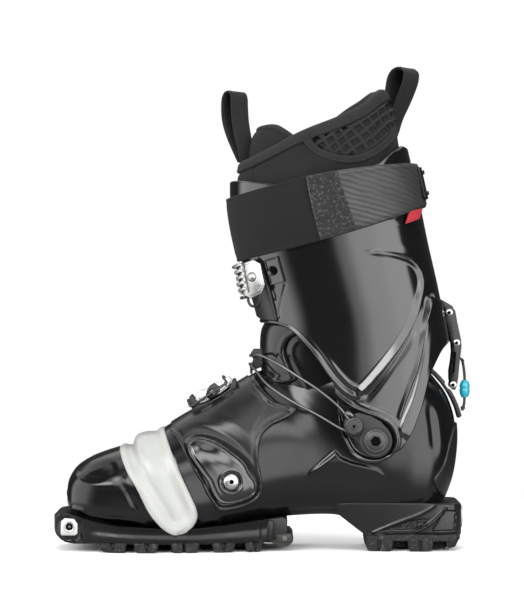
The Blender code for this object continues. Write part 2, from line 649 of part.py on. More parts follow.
# Rims in side view: X, Z
LINER_LOW = [(-30.0, 183.0), (25.0, 183.0), (40.0, 160.0), (60.0, 147.0), (150.0, 145.0)]
LINER_TOP = [
    (-20.0, 287.0), (-9.6, 288.6), (9.6, 296.7), (25.9, 304.9), (40.0, 310.8), (61.4, 318.9),
    (79.9, 327.0), (92.0, 331.0), (110.0, 332.0),
]
LINER_TONGUE = [
    (9.5, 205.0, 120.0, 215.0, 36.0, 2.2, 2.2, 0.5),
    (2.0, 232.0, 118.0, 245.0, 38.0, 2.2, 2.2, 0.5),
    (-3.6, 262.0, 112.0, 285.0, 39.0, 2.2, 2.2, 0.5),
    (-4.6, 288.0, 108.0, 315.0, 39.0, 2.2, 2.2, 0.5),
    (-2.0, 303.0, 100.0, 330.0, 38.0, 2.2, 2.2, 0.5),
    (5.5, 313.5, 95.0, 335.0, 36.0, 2.2, 2.2, 0.5),
    (15.0, 317.5, 95.0, 338.0, 33.0, 2.2, 2.2, 0.5),
]
# Webbing loops on the middle plane: X, Z
LOOPS = {
    "front_loop": [
        (-7.6, 290.0), (-8.0, 298.0), (-12.6, 306.0), (-19.5, 315.0), (-24.2, 324.0),
        (-25.0, 337.0), (-20.5, 343.6), (-11.0, 343.4), (-6.6, 338.0), (-5.8, 326.0),
        (-7.2, 316.0), (-6.2, 307.0), (-5.0, 300.0),
    ],
    "rear_loop": [
        (105.4, 319.0), (104.6, 331.0), (99.6, 342.0), (103.0, 355.0), (109.0, 360.6),
        (119.6, 358.6), (121.6, 354.0), (118.8, 339.0), (113.4, 327.5), (109.2, 321.6),
    ],
}


def build_liner():
    foot = Tube(np.vstack([
        toe_skin.shrink(6.2).rows[3:],
        bellows_skin.shrink(6.6).rows[1:6:2],
        lower_skin.shrink(7.2).rows,
    ]))
    open_tube("liner_foot", foot, 16, "fabric", 4.0, tip=(-130.0, 0, 46.0))
    slab("footbed", FOOTBED, "foam")
    trimmed_tube("liner_shaft", cuff_skin.shrink(6.0), cuff_angles(LINER_FRACTIONS), 7, "fabric",
                 5.5, LINER_LOW, LINER_TOP)
    front_strip("liner_tongue", Tube(LINER_TONGUE), 9, 11, 0.74, "fabric", 5.0)
    for name, path in LOOPS.items():
        rod(name, [(x, 0, z) for x, z in path], 11.0, "webbing", flat=0.09)


# ---------------------------------------------------------------- power strap
# Rims and outline in side view: X, Z
STRAP_TOP = [(-30.0, 260.0), (3.0, 268.6), (37.0, 277.5), (71.0, 283.4), (125.0, 289.0)]
STRAP_LOW = [
    (-30.0, 216.0), (-17.2, 216.8), (14.5, 223.5), (47.4, 231.9), (76.8, 240.5), (99.2, 247.9),
    (130.0, 259.5),
]
STRAP_TAB = [(109.0, 243.6), (118.0, 247.0), (120.2, 255.2), (111.4, 252.6)]


def build_power_strap():
    """The strap round the cuff, its buckle at the rear and a tab on its inner side."""
    trimmed_tube("power_strap", cuff_skin, cuff_angles(CUFF_FRACTIONS), 3, "webbing", 2.2,
                 STRAP_LOW, STRAP_TOP, lift=2.7)
    conform("strap_buckle", cuff_skin, (122.0, 0, 274.0), (-0.28, 0, 0.96), (-0.30, 0.30), 11,
            (3.0, 5.4), "black_plastic", 5)
    patch("strap_tab", cuff_skin, STRAP_TAB, SIDES["inner"], 3.1, 0.8, "red", (4, 4))


# ---------------------------------------------------------------- cuff pivots
def skin_y(tube):
    """How far out a skin lies at the pivot."""
    return abs(tube.surface(*tube.locate(*PIVOT, SIDES["inner"]))[1])


CUFF_FACE = skin_y(cuff_skin)
SHELL_INSIDE = skin_y(lower_skin) - SHELL_WALL
# Seats of the bolt heads; the inner one clears the pivot plate
SEATS = {"inner": CUFF_FACE + 3.4, "outer": CUFF_FACE + 0.9}
PIVOT_PLATE = arc(PIVOT, 12.6, [-150, -120, -90, -60, -30, 0, 30]) + [
    (91.0, 98.5), (74.0, 104.5), (67.6, 102.4), (63.8, 97.0), (64.2, 90.0),
]
CABLE_DISC = (71.4, 94.0)  # X, Z


def build_pivots(bore):
    """The plate on the inner side, both bolts, and the disc that holds the ankle cable."""
    plate = prism("pivot_plate_inner", PIVOT_PLATE, -(CUFF_FACE + 3.1), -(CUFF_FACE + 0.9),
                  "black_plastic")
    cut(plate, bore)
    for tag, side in SIDES.items():
        seat = SEATS[tag]
        profile = [
            (7.6, SHELL_INSIDE - 1.9), (7.6, SHELL_INSIDE - 0.7), (5.0, SHELL_INSIDE - 0.7),
            (5.0, seat), (9.1, seat), (9.1, seat + 1.6), (7.6, seat + 2.6),
        ]
        lathe(f"pivot_bolt_{tag}", (PIVOT[0], 0, PIVOT[1]), (0, side, 0), profile, "dark_steel",
              sides=24)
    lathe("cable_disc_inner", (CABLE_DISC[0], -SEATS["inner"], CABLE_DISC[1]), (0, -1, 0),
          [(3.4, 0), (3.4, 2.8), (6.6, 2.8), (6.6, 3.7), (5.6, 4.5)], "dark_steel")


# ---------------------------------------------------------------- walk lever behind the cuff
# Outlines in side view: X, Z
LEVER_BRACKET = [
    (139.6, 186.6), (142.8, 184.3), (148.0, 181.7), (149.0, 177.6), (147.6, 172.6), (143.2, 170.6),
    (142.9, 178.0),
]
LEVER_PLATE = [
    (143.0, 181.0), (146.8, 181.8), (149.6, 178.4), (153.9, 156.4), (153.9, 148.7), (152.4, 136.9),
    (151.0, 122.5), (149.6, 119.2), (148.4, 119.2), (145.4, 125.4), (145.2, 133.4), (146.4, 141.3),
    (146.8, 153.4), (142.4, 172.0),
]
LEVER_BAR = [
    (147.4, 170.0), (150.4, 170.0), (153.3, 156.0), (153.3, 148.8), (151.8, 137.0), (150.8, 127.2),
    (148.5, 127.2), (148.6, 136.0), (149.4, 148.8),
]
LEVER_PINS = {"top": (145.0, 177.6), "mid": (150.6, 154.7), "low": (147.9, 123.0)}
LEVER_ORIGIN = (LEVER_PINS["top"][0], 0, LEVER_PINS["top"][1])
PIN_PROFILE = [(2.7, -8.9), (2.7, -7.7), (1.6, -7.7), (1.6, 7.7), (2.7, 7.7), (2.7, 8.9)]

# The catch's rear face is an arc about the cuff pivot, with a notch in it
CATCH_RADIUS = 69.6
CATCH = (
    arc(PIVOT, CATCH_RADIUS, [15, 20, 25, 30, 32])
    + arc(PIVOT, 67.7, [33, 37])
    + arc(PIVOT, CATCH_RADIUS, [38, 42, 46, 50])
    + arc(PIVOT, 66.0, [50, 44, 38, 32, 26, 20, 15])
)


def build_walk_lever():
    """Bracket, two side plates with a bar between them, three pins, and the catch below."""
    bracket = prism("lever_bracket", LEVER_BRACKET, -4.6, 4.6, "dark_steel")
    plates = [
        prism(f"lever_plate_{tag}", LEVER_PLATE, start, end, "dark_steel", origin=LEVER_ORIGIN)
        for tag, start, end in (("inner", -7.4, -5.0), ("outer", 5.0, 7.4))
    ]
    bar = prism("walk_lever_bar", LEVER_BAR, -4.7, 4.7, "black_plastic", origin=LEVER_ORIGIN)
    between = {"top": [bracket], "mid": [bar], "low": []}
    for tag, (x, z) in LEVER_PINS.items():
        name = f"lever_pin_{tag}"
        hole = lathe(name + "_hole", (x, -12, z), (0, 1, 0), [(1.75, 0), (1.75, 24)], CUTTER,
                     sides=14)
        for item in plates + between[tag]:
            cut(item, hole)
        lathe(name, (x, 0, z), (0, 1, 0), PIN_PROFILE, "steel", sides=14, origin=LEVER_ORIGIN)
    prism("lever_catch", CATCH, -9.0, 9.0, "dark_steel")


# ---------------------------------------------------------------- pull cord
CORD_ORIGIN = (156.6, 0, 139.9)
BEAD_PROFILE = [(1.8, 0.0), (3.2, 1.8), (3.9, 4.6), (3.9, 8.4), (3.0, 11.6), (1.8, 13.2)]
# Middle-plane paths: X, Y, Z
CORDS = {
    "pull_cord": [(155.4, 0, 141.4), (156.6, 0, 136.0), (157.0, 0, 130.0), (157.2, 0, 126.6)],
    "cord_tail": [(157.0, 0, 112.6), (156.6, 0, 107.0), (155.2, 0, 103.6)],
}


def build_pull_cord():
    """A cord hanging behind the walk lever, with a bead and a tail below it."""
    for name, path in CORDS.items():
        rod(name, path, 1.0, "webbing", origin=CORD_ORIGIN)
    lathe("cord_bead", (157.4, 0, 126.2), (-0.02, 0, -1), BEAD_PROFILE, "turquoise", sides=16,
          origin=CORD_ORIGIN)


# ---------------------------------------------------------------- buckles
def buckle(prefix, tube, centre, across, angles, half_width, bail_angles, bail_lifts, rise=0.0):
    """A base, a lever over it, and a U-shaped bail.

    angles run from the lever's hinge to its tip round the tube, bail_angles from the lever to the
    hook. bail_lifts are heights over the skin along the bail. rise lifts the lever.
    """
    start, turn = angles[0], angles[1] - angles[0]
    conform(f"{prefix}_base", tube, centre, across, (start + 0.26 * turn, start + 0.70 * turn),
            half_width, (0.9, 2.7), "black_plastic", 7)

    hinge, normal = tube.slice(centre, across, [start])[0]
    conform(f"{prefix}_lever", tube, centre, across, angles, half_width - 3.2,
            (4.4 + rise, 7.0 + rise), "alu", 9, origin=tuple(hinge + normal * (5.7 + rise)))

    # one leg of the bail with a cut corner at its hook end, then its mirror image
    count = 8
    line = tube.slice(centre, across, np.linspace(*bail_angles, count))
    lifts = np.interp(np.linspace(0, 1, count), [0, 0.25, 0.8, 1], bail_lifts)
    leg = half_width - 1.0
    path = [point + normal * lift + across * leg for (point, normal), lift in zip(line, lifts)]
    path.append(path[-1] + unit(path[-1] - path[-2]) * 1.2 - across * 1.2)
    back = [p - 2 * across * np.dot(p - centre, across) for p in reversed(path)]
    eye = path[0] - across * np.dot(path[0] - centre, across)
    rod(f"{prefix}_bail", path + back, 1.1, "steel", origin=tuple(eye), wide=across)


def build_instep_buckle():
    """The lever lies on the outer side, the catch on the flap."""
    centre = np.array([-33.5, 0, 112.0])
    across = unit((0.829, 0, 0.559))
    buckle("instep_buckle", lower_skin, centre, across, (0.42, 1.42), 17.0,
           bail_angles=(0.62, -0.33), bail_lifts=(5.8, 9.2, 9.8, 8.0))
    conform("instep_catch", lower_skin, centre, across, (-0.06, -0.27), 12.4, (5.5, 7.4),
            "black_plastic", 4)


def build_cuff_buckle():
    """The lever lies on the outer side, the catch and its plates on the inner side at the front."""
    centre = np.array([-4.0, 0, 203.0])
    across = unit((-0.25, 0, 0.968))
    buckle("cuff_buckle", cuff_skin, centre, across, (2.55, 1.75), 13.0,
           bail_angles=(2.38, 2 * math.pi - 2.99), bail_lifts=(5.8, 9.0, 8.0, 5.8))
    conform("cuff_catch", cuff_skin, centre, across, (-2.93, -2.60), 9.6, (0.9, 3.6), "alu", 5)
    point, normal = cuff_skin.slice(centre, across, [-2.76])[0]
    lathe("cuff_catch_rivet", point + normal * 4.1, normal, [(3.4, 0), (3.0, 1.2), (1.4, 2.0)],
          "steel", sides=14)
    conform("cuff_catch_base", cuff_skin, (0.0, 0, 183.0), across, (-2.94, -2.44), 5.4,
            (0.9, 3.2), "black_plastic", 6)
    conform("position_plate", cuff_skin, (13.6, 0, 209.0), across, (-2.48, -2.28), 10.4,
            (0.9, 2.3), "plate", 4)


CABLE_GUIDE = [(-3.4, 135.4), (3.4, 138.2), (2.6, 148.6), (-2.6, 147.4)]  # side view: X, Z
# The cable's two runs, X, Y, Z: from the outer side to the disc, and back
CABLE_OUT = [
    (-4.5, 27.5, 131.0), (-4.6, 19.0, 135.6), (-5.2, 10.0, 138.4), (-5.4, 0.0, 138.4),
    (-5.2, -10.0, 138.4), (0.0, -21.5, 133.0), (8.0, -33.0, 124.0), (25.0, -43.0, 112.4),
    (46.6, -49.0, 101.0), (61.0, -52.6, 92.6),
]
CABLE_BACK = [
    (61.0, -52.0, 107.6), (46.6, -48.0, 119.6), (30.0, -42.5, 130.5), (14.0, -34.5, 140.5),
    (2.0, -22.5, 145.6), (-4.6, -10.0, 145.0), (-4.8, 0.0, 145.0), (-4.6, 10.0, 145.0),
    (-1.0, 19.0, 145.0), (3.6, 26.5, 142.6),
]


def build_ankle_buckle():
    """A lever on the outer side, and a cable over the instep guide round the inner side's disc."""
    buckle("ankle_buckle", lower_skin, np.array([16.0, 0, 112.0]), unit((0.60, 0, 0.80)),
           (1.00, 1.40), 10.0, bail_angles=(1.10, 0.62), bail_lifts=(11.0, 12.0, 10.0, 8.0),
           rise=3.6)
    prism("cable_guide", CABLE_GUIDE, -9.0, 9.0, "black_plastic")
    cable_y = -(SEATS["inner"] + 1.35)
    around = [(x, cable_y, z) for x, z in arc(CABLE_DISC, 4.9, [-110, -60, -15, 30, 75, 120])]
    rod("ankle_cable", CABLE_OUT + around + CABLE_BACK, 1.1, "steel", sides=6, wide=(0.3, 0.2, 1))


pivot_bore = build_shells()
build_tech_inserts(build_soles())
build_shell_plates()
build_liner()
build_power_strap()
build_pivots(pivot_bore)
build_walk_lever()
build_pull_cord()
build_instep_buckle()
build_cuff_buckle()
build_ankle_buckle()
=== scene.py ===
"""Looks of a telemark ski boot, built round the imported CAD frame.

The boot stands on Z = 0 with its toe towards -X and its heel towards +X. The inner side of the
foot is -Y. Lengths are in millimetres and become metres when a mesh is made.
"""

import json
import math

import bpy
import bmesh
import numpy as np
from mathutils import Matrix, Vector
from mathutils.geometry import delaunay_2d_cdt


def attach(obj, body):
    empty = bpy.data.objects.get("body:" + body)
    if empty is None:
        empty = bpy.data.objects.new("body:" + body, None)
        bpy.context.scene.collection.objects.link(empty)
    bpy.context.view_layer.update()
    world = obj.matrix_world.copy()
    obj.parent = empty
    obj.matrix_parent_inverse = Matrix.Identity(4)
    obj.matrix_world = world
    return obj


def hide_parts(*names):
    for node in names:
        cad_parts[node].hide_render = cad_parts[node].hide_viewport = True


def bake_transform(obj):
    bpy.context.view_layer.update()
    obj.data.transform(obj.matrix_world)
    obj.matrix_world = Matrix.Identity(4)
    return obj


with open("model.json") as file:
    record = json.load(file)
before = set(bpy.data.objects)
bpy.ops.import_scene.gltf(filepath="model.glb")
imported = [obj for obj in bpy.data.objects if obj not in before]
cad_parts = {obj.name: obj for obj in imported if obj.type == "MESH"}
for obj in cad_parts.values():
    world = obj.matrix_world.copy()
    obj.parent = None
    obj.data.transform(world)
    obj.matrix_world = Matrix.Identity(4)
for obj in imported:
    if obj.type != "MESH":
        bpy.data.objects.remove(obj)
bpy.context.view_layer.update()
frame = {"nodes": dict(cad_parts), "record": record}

MM = 0.001

# ---------------------------------------------------------------- driving dimensions
# Places and outlines seen from the side are (x, z).
PIVOT = (87.5, 82.9)
LEVER_PIN = (145.0, 177.6)
CABLE_DISC = (71.4, 94.0)
TEARDROP_RIVET = (-19.2, 52.5)
POSITION_HOLE = (12.6, 208.8)
STRAP_SLIDE = ((122, 0, 274), (-0.28, 0, 0.96))  # centre, and the strap's width direction

# Blends: two bodies, and where the forefoot's bend starts and ends in metres. A piece given one only has
# its transform baked here; nothing bends it.
FOOT_BLEND = ("shell", "forefoot", (-0.0575, 0, 0.054), (-0.0803, 0, 0.0469))
SOLE_BLEND = ("shell", "forefoot", (-0.046, 0, 0.006), (-0.064, 0, 0.006))
CABLE_BLEND = ("shell", "cuff", (0, 0, 0.140), (0.066, 0, 0.094))

# Sections of the skins: first end x, z, second end x, z, half width, roundness at the first and
# at the second end, and where along the section it is widest (0 to 1).
# The first end is the underside of the foot, or the front of the leg.
TOE = [
    (-142.6, 36.6, -142.8, 45.6, 15.0, 2.4, 2.4, 0.50),
    (-141.8, 31.4, -141.2, 53.5, 26.0, 3.0, 2.6, 0.45),
    (-138.5, 28.2, -135.5, 62.0, 35.0, 3.5, 2.6, 0.42),
    (-129.5, 25.2, -125.5, 68.5, 42.5, 4.0, 2.7, 0.40),
    (-113.0, 20.8, -117.0, 72.0, 47.5, 4.5, 2.8, 0.38),
    (-92.0, 18.2, -110.0, 74.4, 50.0, 4.5, 2.8, 0.37),
    (-71.8, 17.2, -104.6, 76.0, 51.0, 4.5, 2.8, 0.36),
]
BELLOWS = [
    (-71.0, 17.2, -103.8, 76.2, 51.0, 4.5, 2.8, 0.36),
    (-65.2, 17.0, -97.0, 76.4, 50.6, 4.5, 2.8, 0.36),
    (-62.0, 17.0, -93.2, 77.6, 50.6, 4.5, 2.8, 0.36),
    (-59.6, 17.0, -90.6, 84.0, 51.2, 4.5, 2.8, 0.36),
    (-55.8, 17.0, -84.5, 86.4, 51.0, 4.5, 2.8, 0.36),
    (-51.0, 17.0, -75.6, 87.2, 50.0, 4.5, 2.7, 0.37),
    (-46.8, 17.0, -69.8, 90.8, 49.0, 4.5, 2.6, 0.38),
]
LOWER = [
    (-46.0, 17.0, -69.0, 91.4, 48.8, 4.5, 2.6, 0.38),
    (-31.1, 18.6, -54.0, 100.6, 47.2, 4.5, 2.5, 0.38),
    (-12.6, 20.8, -36.3, 110.3, 45.0, 4.0, 2.4, 0.40),
    (8.1, 24.0, -18.5, 122.1, 43.0, 3.5, 2.4, 0.42),
    (31.8, 25.7, -5.2, 130.2, 41.2, 3.2, 2.4, 0.42),
    (57.7, 26.0, -0.7, 132.5, 40.0, 3.0, 2.4, 0.42),
    (84.0, 20.6, 3.7, 133.9, 39.2, 3.0, 2.4, 0.42),
    (112.0, 20.4, 8.1, 135.4, 39.2, 3.0, 2.4, 0.42),
    (133.5, 28.6, 12.6, 136.9, 40.0, 3.0, 2.4, 0.45),
    (145.0, 50.0, 17.0, 138.4, 40.4, 2.8, 2.4, 0.48),
    (149.6, 74.0, 21.5, 139.9, 40.6, 2.5, 2.4, 0.50),
    (149.4, 96.0, 25.9, 141.3, 40.2, 2.3, 2.4, 0.50),
    (143.2, 115.5, 30.3, 142.8, 39.6, 2.3, 2.4, 0.50),
    (132.6, 130.0, 34.5, 143.5, 39.0, 2.3, 2.4, 0.50),
]
CUFF = [
    (0.7, 61.4, 148.7, 61.4, 46.8, 2.2, 2.6, 0.52),
    (0.7, 83.6, 151.7, 83.6, 48.4, 2.2, 2.6, 0.52),
    (2.2, 113.2, 149.5, 113.2, 49.2, 2.2, 2.6, 0.52),
    (3.7, 139.1, 146.5, 142.8, 50.0, 2.2, 2.6, 0.52),
    (3.7, 165.0, 142.1, 169.0, 51.0, 2.2, 2.6, 0.52),
    (-2.2, 187.2, 136.9, 196.1, 52.2, 2.2, 2.6, 0.52),
    (-11.8, 215.3, 129.2, 230.2, 53.6, 2.2, 2.6, 0.52),
    (-18.5, 242.7, 122.0, 265.2, 54.8, 2.2, 2.6, 0.52),
    (-20.7, 272.3, 113.6, 302.2, 55.4, 2.2, 2.6, 0.52),
    (-18.5, 298.2, 107.4, 330.4, 55.4, 2.2, 2.6, 0.52),
]
LINER_END = (-15.5, 322.0, 102.0, 357.0, 54.0, 2.2, 2.6, 0.52)
THROAT = [
    (7.0, 124.0, 136.0, 112.0, 38.6, 2.2, 2.6, 0.50),
    (6.6, 134.0, 134.0, 124.0, 39.2, 2.2, 2.6, 0.50),
    (5.8, 143.0, 132.0, 135.0, 39.8, 2.2, 2.6, 0.50),
    (5.4, 152.0, 130.0, 146.0, 40.6, 2.2, 2.6, 0.50),
    (7.0, 161.0, 127.0, 157.0, 41.2, 2.2, 2.6, 0.50),
    (11.0, 168.0, 122.0, 168.0, 41.6, 2.2, 2.6, 0.50),
]
SHELL_TONGUE = [
    (5.4, 122.0, 136.0, 116.0, 38.8, 2.2, 2.6, 0.50),
    (4.4, 134.0, 134.0, 128.0, 39.6, 2.2, 2.6, 0.50),
    (3.6, 146.0, 132.0, 141.0, 40.4, 2.2, 2.6, 0.50),
    (3.4, 156.0, 130.0, 152.0, 41.4, 2.2, 2.6, 0.50),
    (4.6, 165.0, 127.0, 163.0, 42.0, 2.2, 2.6, 0.50),
    (8.6, 172.0, 124.0, 172.0, 42.2, 2.2, 2.6, 0.50),
    (13.0, 178.0, 121.0, 180.0, 42.2, 2.2, 2.6, 0.50),
]
LINER_TONGUE = [
    (9.5, 205.0, 120.0, 215.0, 36.0, 2.2, 2.2, 0.5),
    (2.0, 232.0, 118.0, 245.0, 38.0, 2.2, 2.2, 0.5),
    (-3.6, 262.0, 112.0, 285.0, 39.5, 2.2, 2.2, 0.5),
    (-5.6, 288.0, 108.0, 315.0, 40.5, 2.2, 2.2, 0.5),
    (-5.0, 301.0, 102.0, 326.0, 40.5, 2.2, 2.2, 0.5),
    (-2.4, 311.5, 96.0, 335.0, 39.6, 2.2, 2.2, 0.5),
    (1.4, 317.0, 93.0, 341.0, 38.4, 2.2, 2.2, 0.5),
]

# Edges and outlines seen from the side.
CUFF_LOW = [
    (3, 171.4), (15.5, 170.2), (24.2, 166.5), (34, 157.6), (43.7, 145.8), (51.1, 134.7),
    (56.5, 125.8), (59.5, 109.5), (61.5, 92.5), (65.6, 82.9), (71.2, 73.3), (79.2, 68.4),
    (88.8, 67.7), (96.9, 70.7), (102.9, 75.5), (107.3, 78.4), (114, 88.8), (119.9, 102.9),
    (125.8, 120.6), (128.8, 133.9), (133.2, 142.8), (137.6, 150.7), (142.8, 155.9), (147.3, 158.1),
]
CUFF_TOP = [
    (-23.7, 275.3), (-5.2, 273.8), (13.3, 271.1), (54, 272.6), (91, 286.9), (102.1, 296.2),
    (109.5, 300.9), (118.2, 299.2),
]
STRAP_TOP = [(-30, 260), (3, 268.6), (37, 277.5), (71, 283.4), (125, 289)]
STRAP_LOW = [
    (-30, 216), (-17.2, 216.8), (14.5, 223.5), (47.4, 231.9), (76.8, 240.5), (99.2, 247.9),
    (130, 259.5),
]
LINER_TOP = [
    (-20, 287), (-9.6, 288.6), (9.6, 296.7), (25.9, 304.9), (40, 310.8), (61.4, 318.9),
    (79.9, 328), (92, 338), (98, 341.5), (104, 338), (112, 330),
]
LINER_LOW = [(-30, 218), (20, 216), (40, 204), (60, 190), (90, 178), (150, 172)]
TEARDROP = [
    (-50.7, 79.4), (-44.4, 83.6), (-31.1, 81.7), (-17.2, 73.7), (-7, 63.6), (-0.7, 52.2),
    (-1.5, 44.4), (-7, 40.8), (-20.7, 37), (-27.4, 37.4), (-34.3, 46.6), (-42.2, 60.2),
    (-50.1, 72.5),
]
HEEL_STRIP = [
    (153.5, 92.5), (151, 65.1), (147, 42.9), (142, 38.5), (135.4, 42.9), (131.7, 52.5),
    (139, 65.1), (144.5, 83.6), (148, 92),
]
BELLOWS_TIP = (-60.7, 13.0)
BELLOWS_OUTLINE = [
    (-103.9, 76.6), (-96.2, 59.2), (-89.9, 49.1), (-81, 31.3), (-75.5, 23.7), (-68.8, 17),
    BELLOWS_TIP, (-53.7, 14.1), (-46.6, 20), (-44, 26.6), (-44.8, 33.3), (-48.1, 41.4),
    (-54.3, 54.8), (-61.9, 72.5), (-69.8, 91.2),
]


# ---------------------------------------------------------------- small maths
def unit(vectors):
    vectors = np.asarray(vectors, float)
    return vectors / np.maximum(np.linalg.norm(vectors, axis=-1, keepdims=True), 1e-12)


def smoothstep(value, low, high):
    t = np.clip((value - low) / (high - low), 0, 1)
    return t * t * (3 - 2 * t)


def between(value, rise_from, rise_to, fall_from, fall_to):
    """1 on a plateau, with smooth shoulders down to 0."""
    return smoothstep(value, rise_from, rise_to) * (1 - smoothstep(value, fall_from, fall_to))


def bell(offset, width):
    return np.exp(-((offset / width) ** 2))


def run_lengths(points):
    steps = np.linalg.norm(np.diff(points, axis=0), axis=1)
    return np.concatenate([[0.0], np.cumsum(steps)])


def point_at(place, run, points):
    return np.array([np.interp(place, run, column) for column in points.T])


def crossing(ticks, values, i):
    """Where values pass through 0 between ticks i and i + 1."""
    return ticks[i] + (ticks[i + 1] - ticks[i]) * values[i] / (values[i] - values[i + 1])


def both_sides(angles):
    """Adds the mirrored half of a section, without repeating its ends."""
    return np.concatenate([angles, -angles[..., -2:0:-1]], -1)


def smooth_line(points, step=1.0, closed=False):
    """A Catmull-Rom curve through the points, sampled about every step."""
    points = np.array(points, float)
    count = len(points)
    made = []
    for i in range(count if closed else count - 1):
        start, end = points[i], points[(i + 1) % count]
        before = points[(i - 1) % count] if closed or i else 2 * start - end
        after = points[(i + 2) % count] if closed or i + 2 < count else 2 * end - start
        # centripetal knots keep uneven points from overshooting
        pairs = ((before, start), (start, end), (end, after))
        gap0, gap1, gap2 = (max(np.linalg.norm(b - a), 1e-6) ** 0.5 for a, b in pairs)
        slope0 = (end - start) + gap1 * ((start - before) / gap0 - (end - before) / (gap0 + gap1))
        slope1 = (end - start) + gap1 * ((after - end) / gap2 - (after - start) / (gap1 + gap2))
        steps = max(1, int(round(np.linalg.norm(end - start) / step)))
        for k in range(steps):
            t = k / steps
            made.append(
                (2 * t**3 - 3 * t**2 + 1) * start
                + (t**3 - 2 * t**2 + t) * slope0
                + (3 * t**2 - 2 * t**3) * end
                + (t**3 - t**2) * slope1
            )
    if not closed:
        made.append(points[-1])
    return np.array(made)


def resample(loop, step):
    """A closed loop of straight edges, cut into pieces of about step."""
    made = []
    for start, end in zip(loop, np.roll(loop, -1, 0)):
        steps = max(1, int(round(np.linalg.norm(end - start) / step)))
        made += [start + (end - start) * k / steps for k in range(steps)]
    return np.array(made)


def line_distance(points, line, closed=False, limit=1e9):
    """Distance of 2-D points to a polyline, place along it (0 to 1), and side (+1 is left).

    Points further than limit from the line's box are skipped and stay far away.
    """
    points = np.asarray(points, float)
    starts = line if closed else line[:-1]
    ends = np.roll(line, -1, 0) if closed else line[1:]
    distance = np.full(len(points), 1e9)
    place = np.zeros(len(points))
    side = np.ones(len(points))
    low, high = line.min(0) - limit, line.max(0) + limit
    near = np.arange(len(points))
    if limit < 1e8:
        near = np.where(((points > low) & (points < high)).all(1))[0]
    spans = ends - starts
    squares = np.maximum((spans * spans).sum(1), 1e-12)
    run = np.concatenate([[0], np.cumsum(np.sqrt(squares))])
    for first in range(0, len(near), 20000):
        chunk = near[first : first + 20000]
        offset = points[chunk][:, None, :] - starts[None]
        t = np.clip((offset * spans[None]).sum(2) / squares[None], 0, 1)
        off = offset - t[..., None] * spans[None]
        gap = np.sqrt((off * off).sum(2))
        i = gap.argmin(1)
        row = np.arange(len(chunk))
        distance[chunk] = gap[row, i]
        place[chunk] = (run[i] + t[row, i] * np.sqrt(squares[i])) / run[-1]
        cross = spans[i, 0] * offset[row, i, 1] - spans[i, 1] * offset[row, i, 0]
        side[chunk] = np.where(cross >= 0, 1.0, -1.0)
    return distance, place, side


def inside(points, loop):
    x, z = points[:, 0], points[:, 1]
    hit = np.zeros(len(points), bool)
    for (x0, z0), (x1, z1) in zip(loop, np.roll(loop, -1, 0)):
        if z0 == z1:
            continue
        hit ^= ((z0 > z) != (z1 > z)) & (x < (x1 - x0) * (z - z0) / (z1 - z0) + x0)
    return hit


def signed(points, loop, limit=1e9):
    """Distance to a closed loop, negative inside."""
    distance = line_distance(points, loop, True, limit)[0]
    return np.where(inside(points, loop), -distance, distance)


def rib(view, points, width, height, taper):
    """A rounded ridge along a line, fading out over a part (taper) of each end."""
    away, place, _ = line_distance(view, smooth_line(points, 1.5), limit=width * 4)
    fade = smoothstep(place, -0.001, taper) * smoothstep(1 - place, -0.001, taper)
    return height * bell(away, width) * fade


def ribs(view, rows):
    return sum(rib(view, *row) for row in rows)


def panel(view, points, height, edge, sharp=False):
    """A raised area with a soft edge. A sharp one keeps its corners."""
    loop = np.array(points, float) if sharp else smooth_line(points, 1.5, True)
    return height * (1 - smoothstep(signed(view, loop, edge * 3), -edge / 2, edge / 2))


